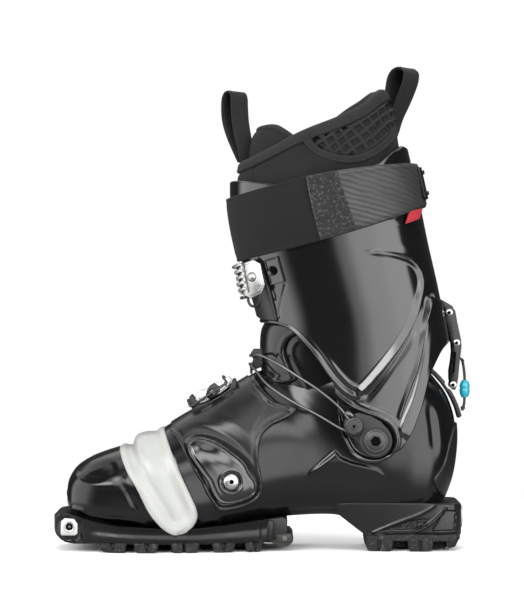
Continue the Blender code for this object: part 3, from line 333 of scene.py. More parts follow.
class Tube:
    """A closed skin through sections. Everything takes arrays of section numbers and angles.

    Angle 0 is at a section's second end and pi at its first. Negative angles are on the inner side.
    """

    def __init__(self, rows):
        self.rows = np.array(rows, float)
        self.last = len(self.rows) - 1

    def row(self, section):
        rows = self.rows
        section = np.clip(np.asarray(section, float), 0, self.last)
        i = np.minimum(section.astype(int), self.last - 1)
        t = (section - i)[..., None]
        start, end = rows[i], rows[i + 1]
        before = np.where((i > 0)[..., None], rows[np.maximum(i - 1, 0)], 2 * start - end)
        after = rows[np.minimum(i + 2, self.last)]
        after = np.where((i + 2 <= self.last)[..., None], after, 2 * end - start)
        return 0.5 * (
            2 * start
            + (end - before) * t
            + (2 * before - 5 * start + 4 * end - after) * t**2
            + (3 * start - before - 3 * end + after) * t**3
        )

    def raw(self, section, angle):
        section, angle = np.broadcast_arrays(np.asarray(section, float), np.asarray(angle, float))
        x0, z0, x1, z1, width, round0, round1, widest = np.moveaxis(self.row(section), -1, 0)
        cosine, sine = np.cos(angle), np.sin(angle)
        power = np.where(cosine > 0, round1, round0)
        reach = np.abs(cosine) ** (2 / power)
        place = np.where(cosine > 0, widest + (1 - widest) * reach, widest - widest * reach)
        y = width * np.sign(sine) * np.abs(sine) ** (2 / power)
        return np.stack([x0 + (x1 - x0) * place, y, z0 + (z1 - z0) * place], -1)

    def middle(self, section):
        row = self.row(section)
        x, z = (row[..., 0] + row[..., 2]) / 2, (row[..., 1] + row[..., 3]) / 2
        return np.stack([x, 0 * x, z], -1)

    def normal(self, section, angle):
        section, angle = np.broadcast_arrays(np.asarray(section, float), np.asarray(angle, float))
        ahead = self.raw(np.minimum(section + 0.02, self.last), angle)
        along = ahead - self.raw(np.maximum(section - 0.02, 0), angle)
        across = self.raw(section, angle + 0.03) - self.raw(section, angle - 0.03)
        normal = unit(np.cross(along, across))
        return outward(normal, self.raw(section, angle), self.middle(section))

    def point(self, section, angle, lift=0.0):
        return self.raw(section, angle) + self.normal(section, angle) * lift

    def even_angles(self, section, count):
        """Angles from 0 to pi that split half of the section evenly by length."""
        half_pi = math.pi / 2
        ramp = np.linspace(0, 1, 160) ** 2.2 * math.pi / 4
        base = [ramp, half_pi - ramp[::-1], half_pi + ramp, math.pi - ramp[::-1]]
        base = np.unique(np.round(np.concatenate(base), 9))
        run = run_lengths(self.raw(np.full(len(base), section), base))
        return np.interp(np.linspace(0, run[-1], count), run, base)

    def shrink(self, amount):
        made = self.rows.copy()
        for row in made:
            start, end = row[0:2].copy(), row[2:4].copy()
            along = (end - start) / np.linalg.norm(end - start)
            row[0:2] = start + along * amount
            row[2:4] = end - along * amount
            row[4] -= amount
        return Tube(made)

    def locate(self, x, z, side=-1):
        """Sections and angles of the skin's points seen from the side at x, z."""
        x, z = np.atleast_1d(np.asarray(x, float)), np.atleast_1d(np.asarray(z, float))
        fine = np.linspace(0, self.last, 500)
        row = self.row(fine)
        span = row[:, 2:4] - row[:, 0:2]
        from_x, from_z = x[:, None] - row[:, 0], z[:, None] - row[:, 1]
        off = from_x * span[:, 1] - from_z * span[:, 0]
        place = (from_x * span[:, 0] + from_z * span[:, 1]) / (span * span).sum(1)
        flip = (off[:, :-1] * off[:, 1:] <= 0) & (place[:, :-1] > -0.3) & (place[:, :-1] < 1.3)
        k = np.where(flip.any(1), flip.argmax(1), np.abs(off).argmin(1).clip(0, 498))
        i = np.arange(len(x))
        off0, off1 = off[i, k], off[i, k + 1]
        same = off0 == off1
        part = np.where(same, 0, off0 / np.where(same, 1, off0 - off1)).clip(0, 1)
        section = fine[k] + (fine[k + 1] - fine[k]) * part
        row = self.row(section)
        span = row[:, 2:4] - row[:, 0:2]
        along = (x - row[:, 0]) * span[:, 0] + (z - row[:, 1]) * span[:, 1]
        place = (along / (span * span).sum(1)).clip(0, 1)
        round0, round1, widest = row[:, 5], row[:, 6], row[:, 7]
        upper = np.clip((place - widest) / (1 - widest), 0, 1) ** (round1 / 2)
        lower = np.clip((widest - place) / widest, 0, 1) ** (round0 / 2)
        return section, np.where(place > widest, np.arccos(upper), np.arccos(-lower)) * side


class Stack(Tube):
    """Several tubes end to end, joined by straight stretches."""

    def __init__(self, tubes):
        self.tubes = tubes
        self.starts = []
        start = 0
        for tube in tubes:
            self.starts.append(start)
            start += tube.last + 1
        self.last = start - 1

    def row(self, section):
        section = np.clip(np.asarray(section, float), 0, self.last)
        made = np.zeros(section.shape + (8,))
        for i, (tube, start) in enumerate(zip(self.tubes, self.starts)):
            end = start + tube.last
            rows = tube.row(np.clip(section - start, 0, tube.last))
            here = (section >= start) & (section <= end)
            made[here] = rows[here]
            if i + 1 < len(self.tubes):
                gap = (section > end) & (section < self.starts[i + 1])
                t = (section - start - tube.last)[..., None]
                before = tube.row(np.full(section.shape, float(tube.last)))
                after = self.tubes[i + 1].row(np.zeros(section.shape))
                made[gap] = (before * (1 - t) + after * t)[gap]
        return made


# ---------------------------------------------------------------- shader helpers
class Signal:
    """A shader output. Arithmetic on it adds Math nodes."""

    def __init__(self, tree, socket):
        self.tree = tree
        self.socket = socket

    def feed(self, socket):
        self.tree.links.new(self.socket, socket)

    def math(self, operation, other=None):
        node = self.tree.nodes.new("ShaderNodeMath")
        node.operation = operation
        self.feed(node.inputs[0])
        if isinstance(other, Signal):
            other.feed(node.inputs[1])
        elif other is not None:
            node.inputs[1].default_value = other
        return Signal(self.tree, node.outputs[0])

    def __add__(self, other):
        return self.math("ADD", other)

    def __sub__(self, other):
        return self.math("SUBTRACT", other)

    def __mul__(self, other):
        return self.math("MULTIPLY", other)

    def __abs__(self):
        return self.math("ABSOLUTE")

    def sine(self):
        return self.math("SINE")

    def remap(self, low, high, to_low, to_high, smooth=False):
        node = self.tree.nodes.new("ShaderNodeMapRange")
        if smooth:
            node.interpolation_type = "SMOOTHSTEP"
        for i, value in enumerate((low, high, to_low, to_high), 1):
            node.inputs[i].default_value = value
        self.feed(node.inputs[0])
        return Signal(self.tree, node.outputs[0])

    def split(self):
        node = self.tree.nodes.new("ShaderNodeSeparateXYZ")
        self.feed(node.inputs[0])
        return [Signal(self.tree, output) for output in node.outputs]


def mix_colour(factor, first, second):
    tree = factor.tree
    node = tree.nodes.new("ShaderNodeMix")
    node.data_type = "RGBA"
    factor.feed(node.inputs[0])
    for i, colour in ((6, first), (7, second)):
        if isinstance(colour, tuple):
            node.inputs[i].default_value = (*colour, 1)
        else:
            colour.feed(node.inputs[i])
    return Signal(tree, node.outputs[2])


def start_material(name, **inputs):
    """A new material, its tree and its shader. Inputs are shader inputs with _ for spaces."""
    made = bpy.data.materials.new(name)
    made.use_nodes = True
    shader = made.node_tree.nodes["Principled BSDF"]
    for key, value in inputs.items():
        shader.inputs[key.replace("_", " ")].default_value = value
    return made, made.node_tree, shader


def noise(tree, scale, detail=3.0, rough=0.5, vector=None):
    node = tree.nodes.new("ShaderNodeTexNoise")
    node.inputs["Scale"].default_value = scale
    node.inputs["Detail"].default_value = detail
    node.inputs["Roughness"].default_value = rough
    if vector is None:
        vector = Signal(tree, tree.nodes.new("ShaderNodeTexCoord").outputs["Object"])
    vector.feed(node.inputs["Vector"])
    return Signal(tree, node.outputs["Fac"])


def bump(shader, height, strength, distance, under=None):
    """Bumps the shader's normal, on top of an earlier bump if one is given."""
    node = height.tree.nodes.new("ShaderNodeBump")
    node.inputs["Strength"].default_value = strength
    node.inputs["Distance"].default_value = distance
    height.feed(node.inputs["Height"])
    if under is not None:
        under.feed(node.inputs["Normal"])
    normal = Signal(height.tree, node.outputs["Normal"])
    normal.feed(shader.inputs["Normal"])
    return normal


def flat_uv(tree):
    """The flat UV map, in millimetres."""
    node = tree.nodes.new("ShaderNodeUVMap")
    node.uv_map = "flat"
    return Signal(tree, node.outputs["UV"])


def scaled(colour, factor):
    return tuple(channel * factor for channel in colour)


# ---------------------------------------------------------------- kinds of material
def plastic(name, colour, rough, spread=0.05, grain=0.0, coat=0.0, spec=0.5):
    """Moulded plastic: smudged gloss, faint orange peel, and a fine grain if asked for."""
    made, tree, shader = start_material(
        name, Specular_IOR_Level=spec, Coat_Weight=coat, Coat_Roughness=0.08
    )
    light = tuple(min(1, channel * 1.16 + 0.001) for channel in colour)
    tone = mix_colour(noise(tree, scale=22), scaled(colour, 0.82), light)
    tone.feed(shader.inputs["Base Color"])
    smudge = noise(tree, scale=60, detail=5, rough=0.6)
    fine = noise(tree, scale=900, detail=2)
    gloss = smudge.remap(0.3, 0.75, rough - spread / 2, rough + spread / 2)
    gloss = gloss + fine.remap(0.3, 0.7, -0.012, 0.012)
    gloss.feed(shader.inputs["Roughness"])
    peel = bump(shader, noise(tree, scale=260, detail=2), strength=0.012, distance=0.0004)
    if grain:
        texture = noise(tree, scale=1500, detail=3, rough=0.6)
        bump(shader, texture, strength=grain, distance=0.00025, under=peel)
    return made


def metal(name, colour, rough, scratch=0.12, stretch=(900.0, 40.0, 40.0)):
    """Metal with fine scratches across the axis of the greatest stretch, and soft blots."""
    made, tree, shader = start_material(name, Metallic=1.0)
    coord = tree.nodes.new("ShaderNodeTexCoord")
    mapping = tree.nodes.new("ShaderNodeMapping")
    mapping.inputs["Scale"].default_value = stretch
    tree.links.new(coord.outputs["Object"], mapping.inputs["Vector"])
    stretched = Signal(tree, mapping.outputs["Vector"])
    lines = noise(tree, scale=1, detail=5, rough=0.6, vector=stretched)
    blot = noise(tree, scale=140, detail=4, rough=0.6)
    mix_colour(blot, scaled(colour, 0.72), colour).feed(shader.inputs["Base Color"])
    gloss = lines.remap(0.25, 0.75, rough - scratch / 2, rough + scratch / 2)
    gloss = gloss + blot.remap(0.35, 0.65, -0.05, 0.06)
    gloss.feed(shader.inputs["Roughness"])
    bump(shader, lines, strength=0.10, distance=0.00008)
    return made


def woven(name, colour, light, pitch, rough, strength, twill=False, fuzz=0.04, broad=0.2):
    """Cloth with a visible weave of the given pitch. Broad sets how strong pale patches are."""
    made, tree, shader = start_material(
        name, Roughness=rough, Sheen_Weight=fuzz, Sheen_Roughness=0.45, Specular_IOR_Level=0.10
    )
    uv = flat_uv(tree)
    across, along, _ = uv.split()
    wobble = noise(tree, scale=0.35, vector=uv)
    warp = across * (math.pi / pitch) + wobble * 1.6
    weft = along * (math.pi / pitch) + wobble * 1.1
    if twill:
        rising = warp + weft
        falling = warp - weft
        height = abs(rising.sine()) * 0.75 + abs(falling.sine()) * 0.25
    else:
        height = abs(warp.sine()) * abs(weft.sine())
    fibre = noise(tree, scale=3.2, detail=4, rough=0.65, vector=uv)
    total = height + fibre * 0.35
    base = mix_colour(total.remap(0.15, 1.15, 0, 1), colour, light)
    patch = noise(tree, scale=26)
    pale = tuple(min(1, channel * 1.5) for channel in light)
    base = mix_colour(patch.remap(0.35, 0.7, 0, broad), base, pale)
    base.feed(shader.inputs["Base Color"])
    bump(shader, total, strength=strength, distance=0.00022)
    return made


def ribbed_cloth(name):
    """Strap fabric with broad diagonal ribs over a fine twill."""
    made, tree, shader = start_material(name)
    uv = flat_uv(tree)
    across, along, _ = uv.split()
    wobble = noise(tree, scale=0.06, detail=2, vector=uv)
    slow = noise(tree, scale=0.035, detail=2, vector=uv)
    diagonal = across * 0.55 + along * 0.95
    diagonal = diagonal + wobble * 4.0
    wave = (diagonal * 1.55).sine() * 0.5 + 0.5
    fine = abs(((across - along) * 3.6).sine())
    fibre = noise(tree, scale=2.6, detail=4, rough=0.6, vector=uv)
    fade = slow.remap(0.35, 0.65, 0.35, 1.0)
    tone = wave * fade
    tone = tone * 0.62 + fine * 0.16
    tone = tone + fibre * 0.2
    base = mix_colour(tone, (0.0025, 0.0025, 0.0026), (0.030, 0.030, 0.031))
    base.feed(shader.inputs["Base Color"])
    tone.remap(0.0, 1.0, 0.62, 0.42).feed(shader.inputs["Roughness"])
    under = bump(shader, wave, strength=0.35, distance=0.0006)
    bump(shader, fine + fibre, strength=0.35, distance=0.0002, under=under)
    return made


def rubber(name, colour, rough, speck, relief):
    """Matt rubber. Speck mixes in pale and dark grit, relief is the strength of its bumps."""
    made, tree, shader = start_material(name, Specular_IOR_Level=0.26)
    tone = mix_colour(noise(tree, scale=35), scaled(colour, 0.75), scaled(colour, 1.25))
    if speck:
        grit = noise(tree, scale=520, detail=4, rough=0.7)
        tone = mix_colour(grit.remap(0.52, 0.66, 0, speck), tone, (0.14, 0.14, 0.138))
        grit = noise(tree, scale=330, detail=3, rough=0.7)
        tone = mix_colour(grit.remap(0.56, 0.68, 0, speck * 0.8), tone, (0.004, 0.004, 0.004))
    tone.feed(shader.inputs["Base Color"])
    gloss = noise(tree, scale=80, detail=4).remap(0.3, 0.7, rough - 0.08, rough + 0.08)
    gloss.feed(shader.inputs["Roughness"])
    texture = noise(tree, scale=700, detail=4, rough=0.6)
    bump(shader, texture, strength=relief, distance=0.0004)
    return made


def satin_white(name):
    """Soft off-white plastic with faint stains and some light passing through."""
    made, tree, shader = start_material(
        name,
        Subsurface_Weight=0.25,
        Subsurface_Radius=(1.0, 0.95, 0.85),
        Subsurface_Scale=0.002,
    )
    tone = mix_colour(noise(tree, scale=14), (0.245, 0.25, 0.238), (0.290, 0.295, 0.283))
    stain = noise(tree, scale=48, detail=5, rough=0.6)
    tone = mix_colour(stain.remap(0.55, 0.8, 0, 0.25), tone, (0.215, 0.222, 0.206))
    tone.feed(shader.inputs["Base Color"])
    gloss = noise(tree, scale=90, detail=4).remap(0.3, 0.7, 0.30, 0.42)
    gloss.feed(shader.inputs["Roughness"])
    bump(shader, noise(tree, scale=420), strength=0.06, distance=0.0003)
    return made


SOFT_BLACK = (0.0045, 0.0045, 0.0048)
TAPE_GREY = (0.018, 0.018, 0.019)
CAST_GRAIN = (60.0, 60.0, 900.0)

FINISHES = {
    "shell": plastic(
        "shell_gloss_black", (0.0030, 0.0030, 0.0033), rough=0.16, spread=0.04, spec=0.30
    ),
    "shell_satin": plastic(
        "shell_satin_black", (0.0045, 0.0045, 0.0050),
        rough=0.30, spread=0.08, grain=0.12, spec=0.34,
    ),
    "cuff": plastic(
        "cuff_gloss_black", (0.0032, 0.0032, 0.0035), rough=0.13, spread=0.03, coat=0.10
    ),
    "black": plastic(
        "matte_black_plastic", (0.0050, 0.0050, 0.0054),
        rough=0.40, spread=0.1, grain=0.25, spec=0.32,
    ),
    "gloss": plastic(
        "gloss_black_insert", (0.0030, 0.0030, 0.0032), rough=0.12, spread=0.04, coat=0.3
    ),
    "bellows": satin_white("bellows_satin_white"),
    "rubber": rubber(
        "sole_rubber_black", (0.0040, 0.0040, 0.0042), rough=0.30, speck=0.0, relief=0.06
    ),
    "lug": rubber("lug_rubber_grey", (0.010, 0.010, 0.0098), rough=0.8, speck=0.30, relief=0.7),
    "plate": rubber("heel_plate_olive", (0.020, 0.0195, 0.017), rough=0.5, speck=0.12, relief=0.3),
    "steel": metal("bright_steel", (0.40, 0.40, 0.395), rough=0.28),
    "wire": metal("cable_steel", (0.13, 0.13, 0.128), rough=0.34),
    "dark_steel": metal("dark_steel", (0.034, 0.034, 0.034), rough=0.30),
    "grey_steel": metal("bolt_grey", (0.16, 0.16, 0.158), rough=0.34),
    "alu": metal("cast_alloy", (0.34, 0.34, 0.335), rough=0.38, scratch=0.20, stretch=CAST_GRAIN),
    "bolt": metal("bolt_black", (0.060, 0.060, 0.060), rough=0.46, scratch=0.1),
    "silver": metal("cast_silver", (0.62, 0.62, 0.61), rough=0.62, scratch=0.10, stretch=CAST_GRAIN),
    "pin": metal("pin_bright", (0.42, 0.42, 0.415), rough=0.26),
    "fabric": woven(
        "liner_cloth", (0.0025, 0.0025, 0.0027), TAPE_GREY, pitch=0.85, rough=0.8, strength=0.8
    ),
    "lining": woven(
        "liner_inner_cloth", (0.004, 0.004, 0.0042), (0.013, 0.013, 0.014),
        pitch=0.9, rough=0.9, strength=0.5, fuzz=0.06,
    ),
    "binding": woven(
        "binding_tape", SOFT_BLACK, TAPE_GREY, pitch=0.5, rough=0.75, strength=0.5, twill=True
    ),
    "webbing": woven(
        "loop_webbing", SOFT_BLACK, TAPE_GREY, pitch=0.75, rough=0.75, strength=0.8, twill=True
    ),
    "elastic": woven(
        "strap_elastic", SOFT_BLACK, (0.0095, 0.0095, 0.0099),
        pitch=0.35, rough=0.7, strength=0.25, broad=0.1,
    ),
    "carbon": ribbed_cloth("strap_diagonal_rib"),
    "thread": woven(
        "stitch_thread", (0.010, 0.010, 0.0105), (0.036, 0.036, 0.038),
        pitch=0.3, rough=0.6, strength=0.4,
    ),
    "patch": rubber("stitched_patch", (0.0060, 0.0060, 0.0062), rough=0.7, speck=0.34, relief=0.9),
    "red": woven(
        "red_label", (0.25, 0.012, 0.020), (0.32, 0.03, 0.04), pitch=0.5, rough=0.6, strength=0.3
    ),
    "turquoise": plastic("turquoise_bead", (0.006, 0.22, 0.29), rough=0.28, spread=0.06),
    "foam": woven(
        "footbed_felt", (0.02, 0.02, 0.021), (0.04, 0.04, 0.042),
        pitch=0.8, rough=0.95, strength=0.4,
    ),
    "cord": woven(
        "cord_braid", (0.012, 0.012, 0.012), (0.05, 0.05, 0.052),
        pitch=0.6, rough=0.8, strength=0.8,
    ),
    # painted shade: a near-black sheet that stands in for the shade inside holes, sockets, slots and gaps
    "hole": plastic("shadow_black", (0.0006, 0.0006, 0.0006), rough=0.8, spec=0.04),
}


# ---------------------------------------------------------------- mesh helpers
def tell(item, body=None, slot=None, replaces="", blend=None):
    """Attaches a piece to the body it rides on, hides the CAD nodes it stands for, and bakes the
    transform if a blend is given. The slot is not used.
    """
    if body:
        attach(item, body)
    if replaces:
        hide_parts(*replaces.split())
    if blend:
        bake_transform(item)


def shade(mesh, smooth=True):
    mesh.polygons.foreach_set("use_smooth", [smooth] * len(mesh.polygons))


def set_sharp(item, degrees):
    item.data.set_sharp_from_angle(angle=math.radians(degrees))


def recalc_normals(item, fill_holes=False):
    made = bmesh.new()
    made.from_mesh(item.data)
    if fill_holes:
        border = [edge for edge in made.edges if edge.is_boundary]
        bmesh.ops.holes_fill(made, edges=border, sides=0)
    bmesh.ops.recalc_face_normals(made, faces=made.faces)
    made.to_mesh(item.data)
    made.free()


def piece(name, points, faces, finish, uv=None, sharp=None, recalc=True, **told):
    """A smooth shaded mesh object from millimetres, with one finish or several."""
    points = np.asarray(points, float).reshape(-1, 3)
    mesh = bpy.data.meshes.new(name)
    mesh.from_pydata((points * MM).tolist(), [], [tuple(int(i) for i in face) for face in faces])
    mesh.validate()
    mesh.update()
    shade(mesh)
    for key in [finish] if isinstance(finish, str) else finish:
        mesh.materials.append(FINISHES[key])
    if uv is not None:
        uv = np.asarray(uv, float).reshape(-1, 2)
        layer = mesh.uv_layers.new(name="flat")
        index = np.zeros(len(mesh.loops), np.int32)
        mesh.loops.foreach_get("vertex_index", index)
        layer.data.foreach_set("uv", uv[index].astype(np.float32).ravel())
    item = bpy.data.objects.new(name, mesh)
    bpy.context.scene.collection.objects.link(item)
    if sharp:
        set_sharp(item, sharp)
    if recalc:
        recalc_normals(item)
    tell(item, **told)
    return item


def grid(rows, cols, closed_cols=False, closed_rows=False):
    """Faces of a grid of points."""
    i = np.arange(rows if closed_rows else rows - 1)
    j = np.arange(cols if closed_cols else cols - 1)
    i, j = np.meshgrid(i, j, indexing="ij")
    i2, j2 = (i + 1) % rows, (j + 1) % cols
    faces = [i * cols + j, i * cols + j2, i2 * cols + j2, i2 * cols + j]
    return np.stack(faces, -1).reshape(-1, 4)


def capped(rows, cols):
    """Faces of a grid closed round its columns, with a face over each end."""
    ends = [tuple(range(cols)), tuple(range((rows - 1) * cols, rows * cols))]
    return [*grid(rows, cols, True), *ends]


def outward(normals, points, middle):
    keep = ((points - middle) * normals).sum(-1, keepdims=True) > 0
    return np.where(keep, normals, -normals)


def surface(tube, sections, angles, closed=True, smooth=0):
    """Points and outward normals of a grid on a tube, the normals smoothed across columns."""
    points = tube.raw(sections, angles)
    if closed:
        across = (np.roll(points, -1, 1) - np.roll(points, 1, 1)) / 2
    else:
        across = np.gradient(points, axis=1)
    normals = unit(np.cross(across, np.gradient(points, axis=0)))
    normals = outward(normals, points, tube.middle(sections))
    for _ in range(smooth):
        if closed:
            normals = unit(normals + np.roll(normals, 1, 1) + np.roll(normals, -1, 1))
        else:
            normals[:, 1:-1] = unit(normals[:, 1:-1] + normals[:, 2:] + normals[:, :-2])
    return points, normals


def grid_uv(points):
    """Running lengths along and across a grid, in millimetres."""
    rows, cols = points.shape[:2]
    across = np.cumsum(np.linalg.norm(np.diff(points, axis=1), axis=2), axis=1)
    along = np.cumsum(np.linalg.norm(np.diff(points, axis=0), axis=2), axis=0)
    across = np.concatenate([np.zeros((rows, 1)), across], 1)
    along = np.concatenate([np.zeros((1, cols)), along], 0)
    return np.stack([across, along], -1)


def rim_arc(outer, inner, normals, away, radius, count):
    """Rows of points that roll over from an outer row to an inner one."""
    turns = [math.pi * k / count for k in range(1, count)]
    middle = (outer + inner) / 2
    return np.array(
        [middle + normals * radius * math.cos(t) + away * radius * math.sin(t) for t in turns]
    )


def walled(name, points, normals, wall, finish, closed=True, inner_rows=30, roll=4, **told):
    """A sheet with thickness: outer grid, rounded first and last rows, and an inner skin."""
    inner = points - normals * wall
    keep = np.unique(np.linspace(0, len(points) - 1, inner_rows).round().astype(int))
    up, down = unit(points[-1] - points[-2]), unit(points[0] - points[1])
    rows = np.concatenate([
        points,
        rim_arc(points[-1], inner[-1], normals[-1], up, wall / 2, roll),
        inner[keep[::-1]],
        rim_arc(points[0], inner[0], -normals[0], down, wall / 2, roll),
    ])
    faces = grid(rows.shape[0], rows.shape[1], closed, True)
    return piece(name, rows, faces, finish, uv=grid_uv(rows), **told)


def close_ends(item):
    recalc_normals(item, fill_holes=True)
    set_sharp(item, 50)


def lathe(name, centre, axis, profile, finish, body, segments=48, **told):
    """A turned piece. The profile is (radius, height along the axis)."""
    axis = unit(axis)
    side = unit(np.cross(axis, [0.3, 0.2, 1.0] if abs(axis[2]) < 0.9 else [1.0, 0, 0]))
    turns = np.linspace(0, 2 * math.pi, segments, endpoint=False)
    ring = np.cos(turns)[:, None] * side + np.sin(turns)[:, None] * np.cross(axis, side)
    centre = np.asarray(centre, float)
    rows = np.stack([centre + axis * height + ring * radius for radius, height in profile])
    points = rows.reshape(-1, 3).tolist()
    faces = [*grid(len(profile), segments, True)]
    for i in (0, len(profile) - 1):
        hub = len(points)
        points.append((centre + axis * profile[i][1]).tolist())
        first = i * segments
        faces += [(first + j, first + (j + 1) % segments, hub) for j in range(segments)]
    uv = np.zeros((len(points), 2))
    on_rows = len(profile) * segments
    uv[:on_rows, 0] = np.tile(turns * 4, len(profile))
    uv[:on_rows, 1] = np.repeat([height for _, height in profile], segments)
    made = piece(name, points, faces, finish, uv=uv, body=body, **told)
    set_sharp(made, 32)
    return made


def disc(name, centre, axis, radius, top, body, low=0.0, top_radius=None, dome=0.01, **options):
    """A thin plug: its side, its top edge, and a centre raised by dome."""
    profile = [(radius, low), (top_radius or radius, top), (0.01, top + dome)]
    return lathe(name, centre, axis, profile, body=body, **options)


def socket(name, centre, axis, radius, body):
    """A hexagon of painted shade with a narrow rim, laid on a bolt head where the socket's recess would
    be.
    """
    axis = unit(axis)
    side = unit(np.cross(axis, [0.2, 0.1, 1.0]))
    other = np.cross(axis, side)
    turns = [2 * math.pi * k / 6 for k in range(6)]
    ring = np.array([side * math.cos(t) + other * math.sin(t) for t in turns])
    centre = np.asarray(centre, float)
    rim, floor = centre + axis * 0.02, centre + axis * 0.01
    points = np.concatenate([
        rim + ring * radius * 1.12, rim + ring * radius, floor + ring * radius, [floor]
    ])
    faces = [*grid(3, 6, True)] + [(12 + i, 12 + (i + 1) % 6, 18) for i in range(6)]
    made = piece(name, points, faces, "hole", recalc=False, body=body)
    shade(made.data, smooth=False)


def apply(item):
    """Replaces the mesh by its evaluated form, and drops the modifiers."""
    graph = bpy.context.evaluated_depsgraph_get()
    graph.update()
    new = bpy.data.meshes.new_from_object(
        item.evaluated_get(graph), preserve_all_data_layers=True, depsgraph=graph
    )
    old = item.data
    item.modifiers.clear()
    item.data = new
    new.name = old.name + "_final"


def round_edges(item, width, bevel_above, sharp_above):
    """Bevels edges over one angle, then marks those still over another as sharp."""
    bevel = item.modifiers.new("edge", "BEVEL")
    bevel.width = width * MM
    bevel.segments = 3
    bevel.limit_method = "ANGLE"
    bevel.angle_limit = math.radians(bevel_above)
    apply(item)
    shade(item.data)
    set_sharp(item, sharp_above)


def prism(name, centre, across, up, out, outline, low, high, finish, body, bevel, **told):
    """An outline in across and up, pushed along out from low to high, with rounded edges."""
    centre, across, up, out = np.asarray(centre, float), unit(across), unit(up), unit(out)
    count = len(outline)
    outline = np.asarray(outline, float)
    level = centre + outline[:, :1] * across + outline[:, 1:] * up
    points = np.concatenate([level + out * height for height in (low, high)])
    faces = [tuple(range(count)), tuple(range(2 * count - 1, count - 1, -1))]
    for i in range(count):
        j = (i + 1) % count
        faces.append((i, j, count + j, count + i))
    made = piece(name, points, faces, finish, uv=np.tile(outline, (2, 1)))
    round_edges(made, bevel, bevel_above=28, sharp_above=40)
    tell(made, body, **told)


def side_prism(name, outline, low, high, finish, body, bevel, side=1, centre=(0, 0, 0), **told):
    """A prism with its outline in side view, pushed from low to high along Y times side."""
    axes = (1, 0, 0), (0, 0, 1), (0, side, 0)
    prism(name, centre, *axes, outline, low, high, finish, body, bevel, **told)


def wire(name, path, radius, finish, body, sides=14, step=0.8, wide=(0, 1, 0), smooth=True, **told):
    """A round rod along a path. Wide only sets where its first column of points lies."""
    points = smooth_line(path, step) if smooth else np.array(path, float)
    count = len(points)
    ahead = np.concatenate([points[1:], points[-1:]])
    tangents = unit(ahead - np.concatenate([points[:1], points[:-1]]))
    side = np.array(wide, float)
    turns = 2 * math.pi * (np.arange(sides) + 0.5) / sides
    rings = []
    for point, tangent in zip(points, tangents):
        side = side - tangent * side.dot(tangent)
        side /= max(np.linalg.norm(side), 1e-9)
        other = np.cross(tangent, side)
        ring = side * (np.cos(turns) * radius)[:, None] + other * (np.sin(turns) * radius)[:, None]
        rings.append(point + ring)
    rings = np.array(rings)
    faces = [*grid(count, sides, True)]
    for first, hub in ((0, count * sides), ((count - 1) * sides, count * sides + 1)):
        faces += [(first + j, first + (j + 1) % sides, hub) for j in range(sides)]
    around = np.cumsum(np.linalg.norm(np.roll(rings[0], -1, 0) - rings[0], axis=1))
    uv = np.stack([np.repeat(run_lengths(points), sides), np.tile(around, count)], 1)
    uv = np.concatenate([uv, np.zeros((2, 2))])
    rings = np.concatenate([rings.reshape(-1, 3), points[:1], points[-1:]])
    piece(name, rings, faces, finish, uv=uv, body=body, **told)


def triangulate(points, border):
    """Triangles over 2-D points, of which the first ones (border) make a closed loop."""
    edges = [(i, (i + 1) % border) for i in range(border)]
    made = delaunay_2d_cdt([Vector(point) for point in points], edges, [], 1, 1e-5)
    return np.array([tuple(point) for point in made[0]]), [tuple(face) for face in made[2]]


def side_loop(tube, outline, side=-1):
    """An outline drawn in side view, as section and angle on a tube."""
    outline = np.array(outline, float)
    return np.stack(tube.locate(outline[:, 0], outline[:, 1], side), 1)


def scale_of(tube, loop):
    """Rough millimetres per section and per radian near a loop's middle."""
    section, angle = loop[:, 0].mean(), loop[:, 1].mean()
    along = tube.raw(np.array([section - 0.25, section + 0.25]), np.array([angle, angle]))
    across = tube.raw(np.array([section, section]), np.array([angle - 0.1, angle + 0.1]))
    return np.linalg.norm(along[1] - along[0]) / 0.5, np.linalg.norm(across[1] - across[0]) / 0.2


def skin_patch(
    name, tube, loop, height, finish, body,
    step=1.6, edge=1.0, scale=None, sink=0.6, shape=None, smooth=True, **told,
):
    """A raised panel on a tube, inside a loop of sections and angles.

    It stands height over the skin, rounded off over edge, with its border sunk below the skin.
    Shape adds relief, from the skin's points, the depth inside the loop and the angles.
    """
    scale = np.array(scale_of(tube, loop) if scale is None else scale, float)
    loop = np.array(loop, float) * scale
    loop = smooth_line(loop, step * 0.7, True) if smooth else resample(loop, step * 0.7)
    x, y = loop.T
    if np.sum(x * np.roll(y, -1) - np.roll(x, -1) * y) < 0:
        loop = loop[::-1]
    tangent = unit(np.roll(loop, -1, 0) - np.roll(loop, 1, 0))
    inward = np.stack([-tangent[:, 1], tangent[:, 0]], 1)
    rings = [loop]
    for part in (0.12, 0.35, 0.65, 1.0):
        ring = loop + inward * edge * part
        away = line_distance(ring, loop, True, edge * 4)[0]
        rings.append(ring[away > edge * part * 0.93])
    low, high = loop.min(0), loop.max(0)
    x, y = np.meshgrid(np.arange(low[0], high[0], step), np.arange(low[1], high[1], step * 0.866))
    x = x + (np.arange(x.shape[0]) % 2)[:, None] * step / 2
    fill = np.stack([x.ravel(), y.ravel()], 1)
    fill = fill[signed(fill, loop) < -(edge + step * 0.45)]
    flat, faces = triangulate(np.concatenate(rings + [fill]), len(loop))
    depth = -signed(flat, loop)
    sections, angles = (flat / scale).T
    base = tube.raw(sections, angles)
    normals = tube.normal(sections, angles)
    relief = np.full(len(flat), float(height))
    if shape is not None:
        relief = relief + shape(base, depth, angles)
    rounding = np.sqrt(np.maximum(0, 1 - np.clip(1 - depth / edge, 0, 1) ** 2))
    points = base + normals * (-sink + (relief + sink) * rounding)[:, None]
    made = piece(name, points, faces, finish, uv=flat, recalc=False, body=body, **told)
    mesh = made.data
    mesh.update()
    total = 0.0
    for face in list(mesh.polygons)[:: max(1, len(mesh.polygons) // 400)]:
        total += float(np.dot(face.normal, normals[face.vertices[0]]))
    if total < 0:
        mesh.flip_normals()
    return made


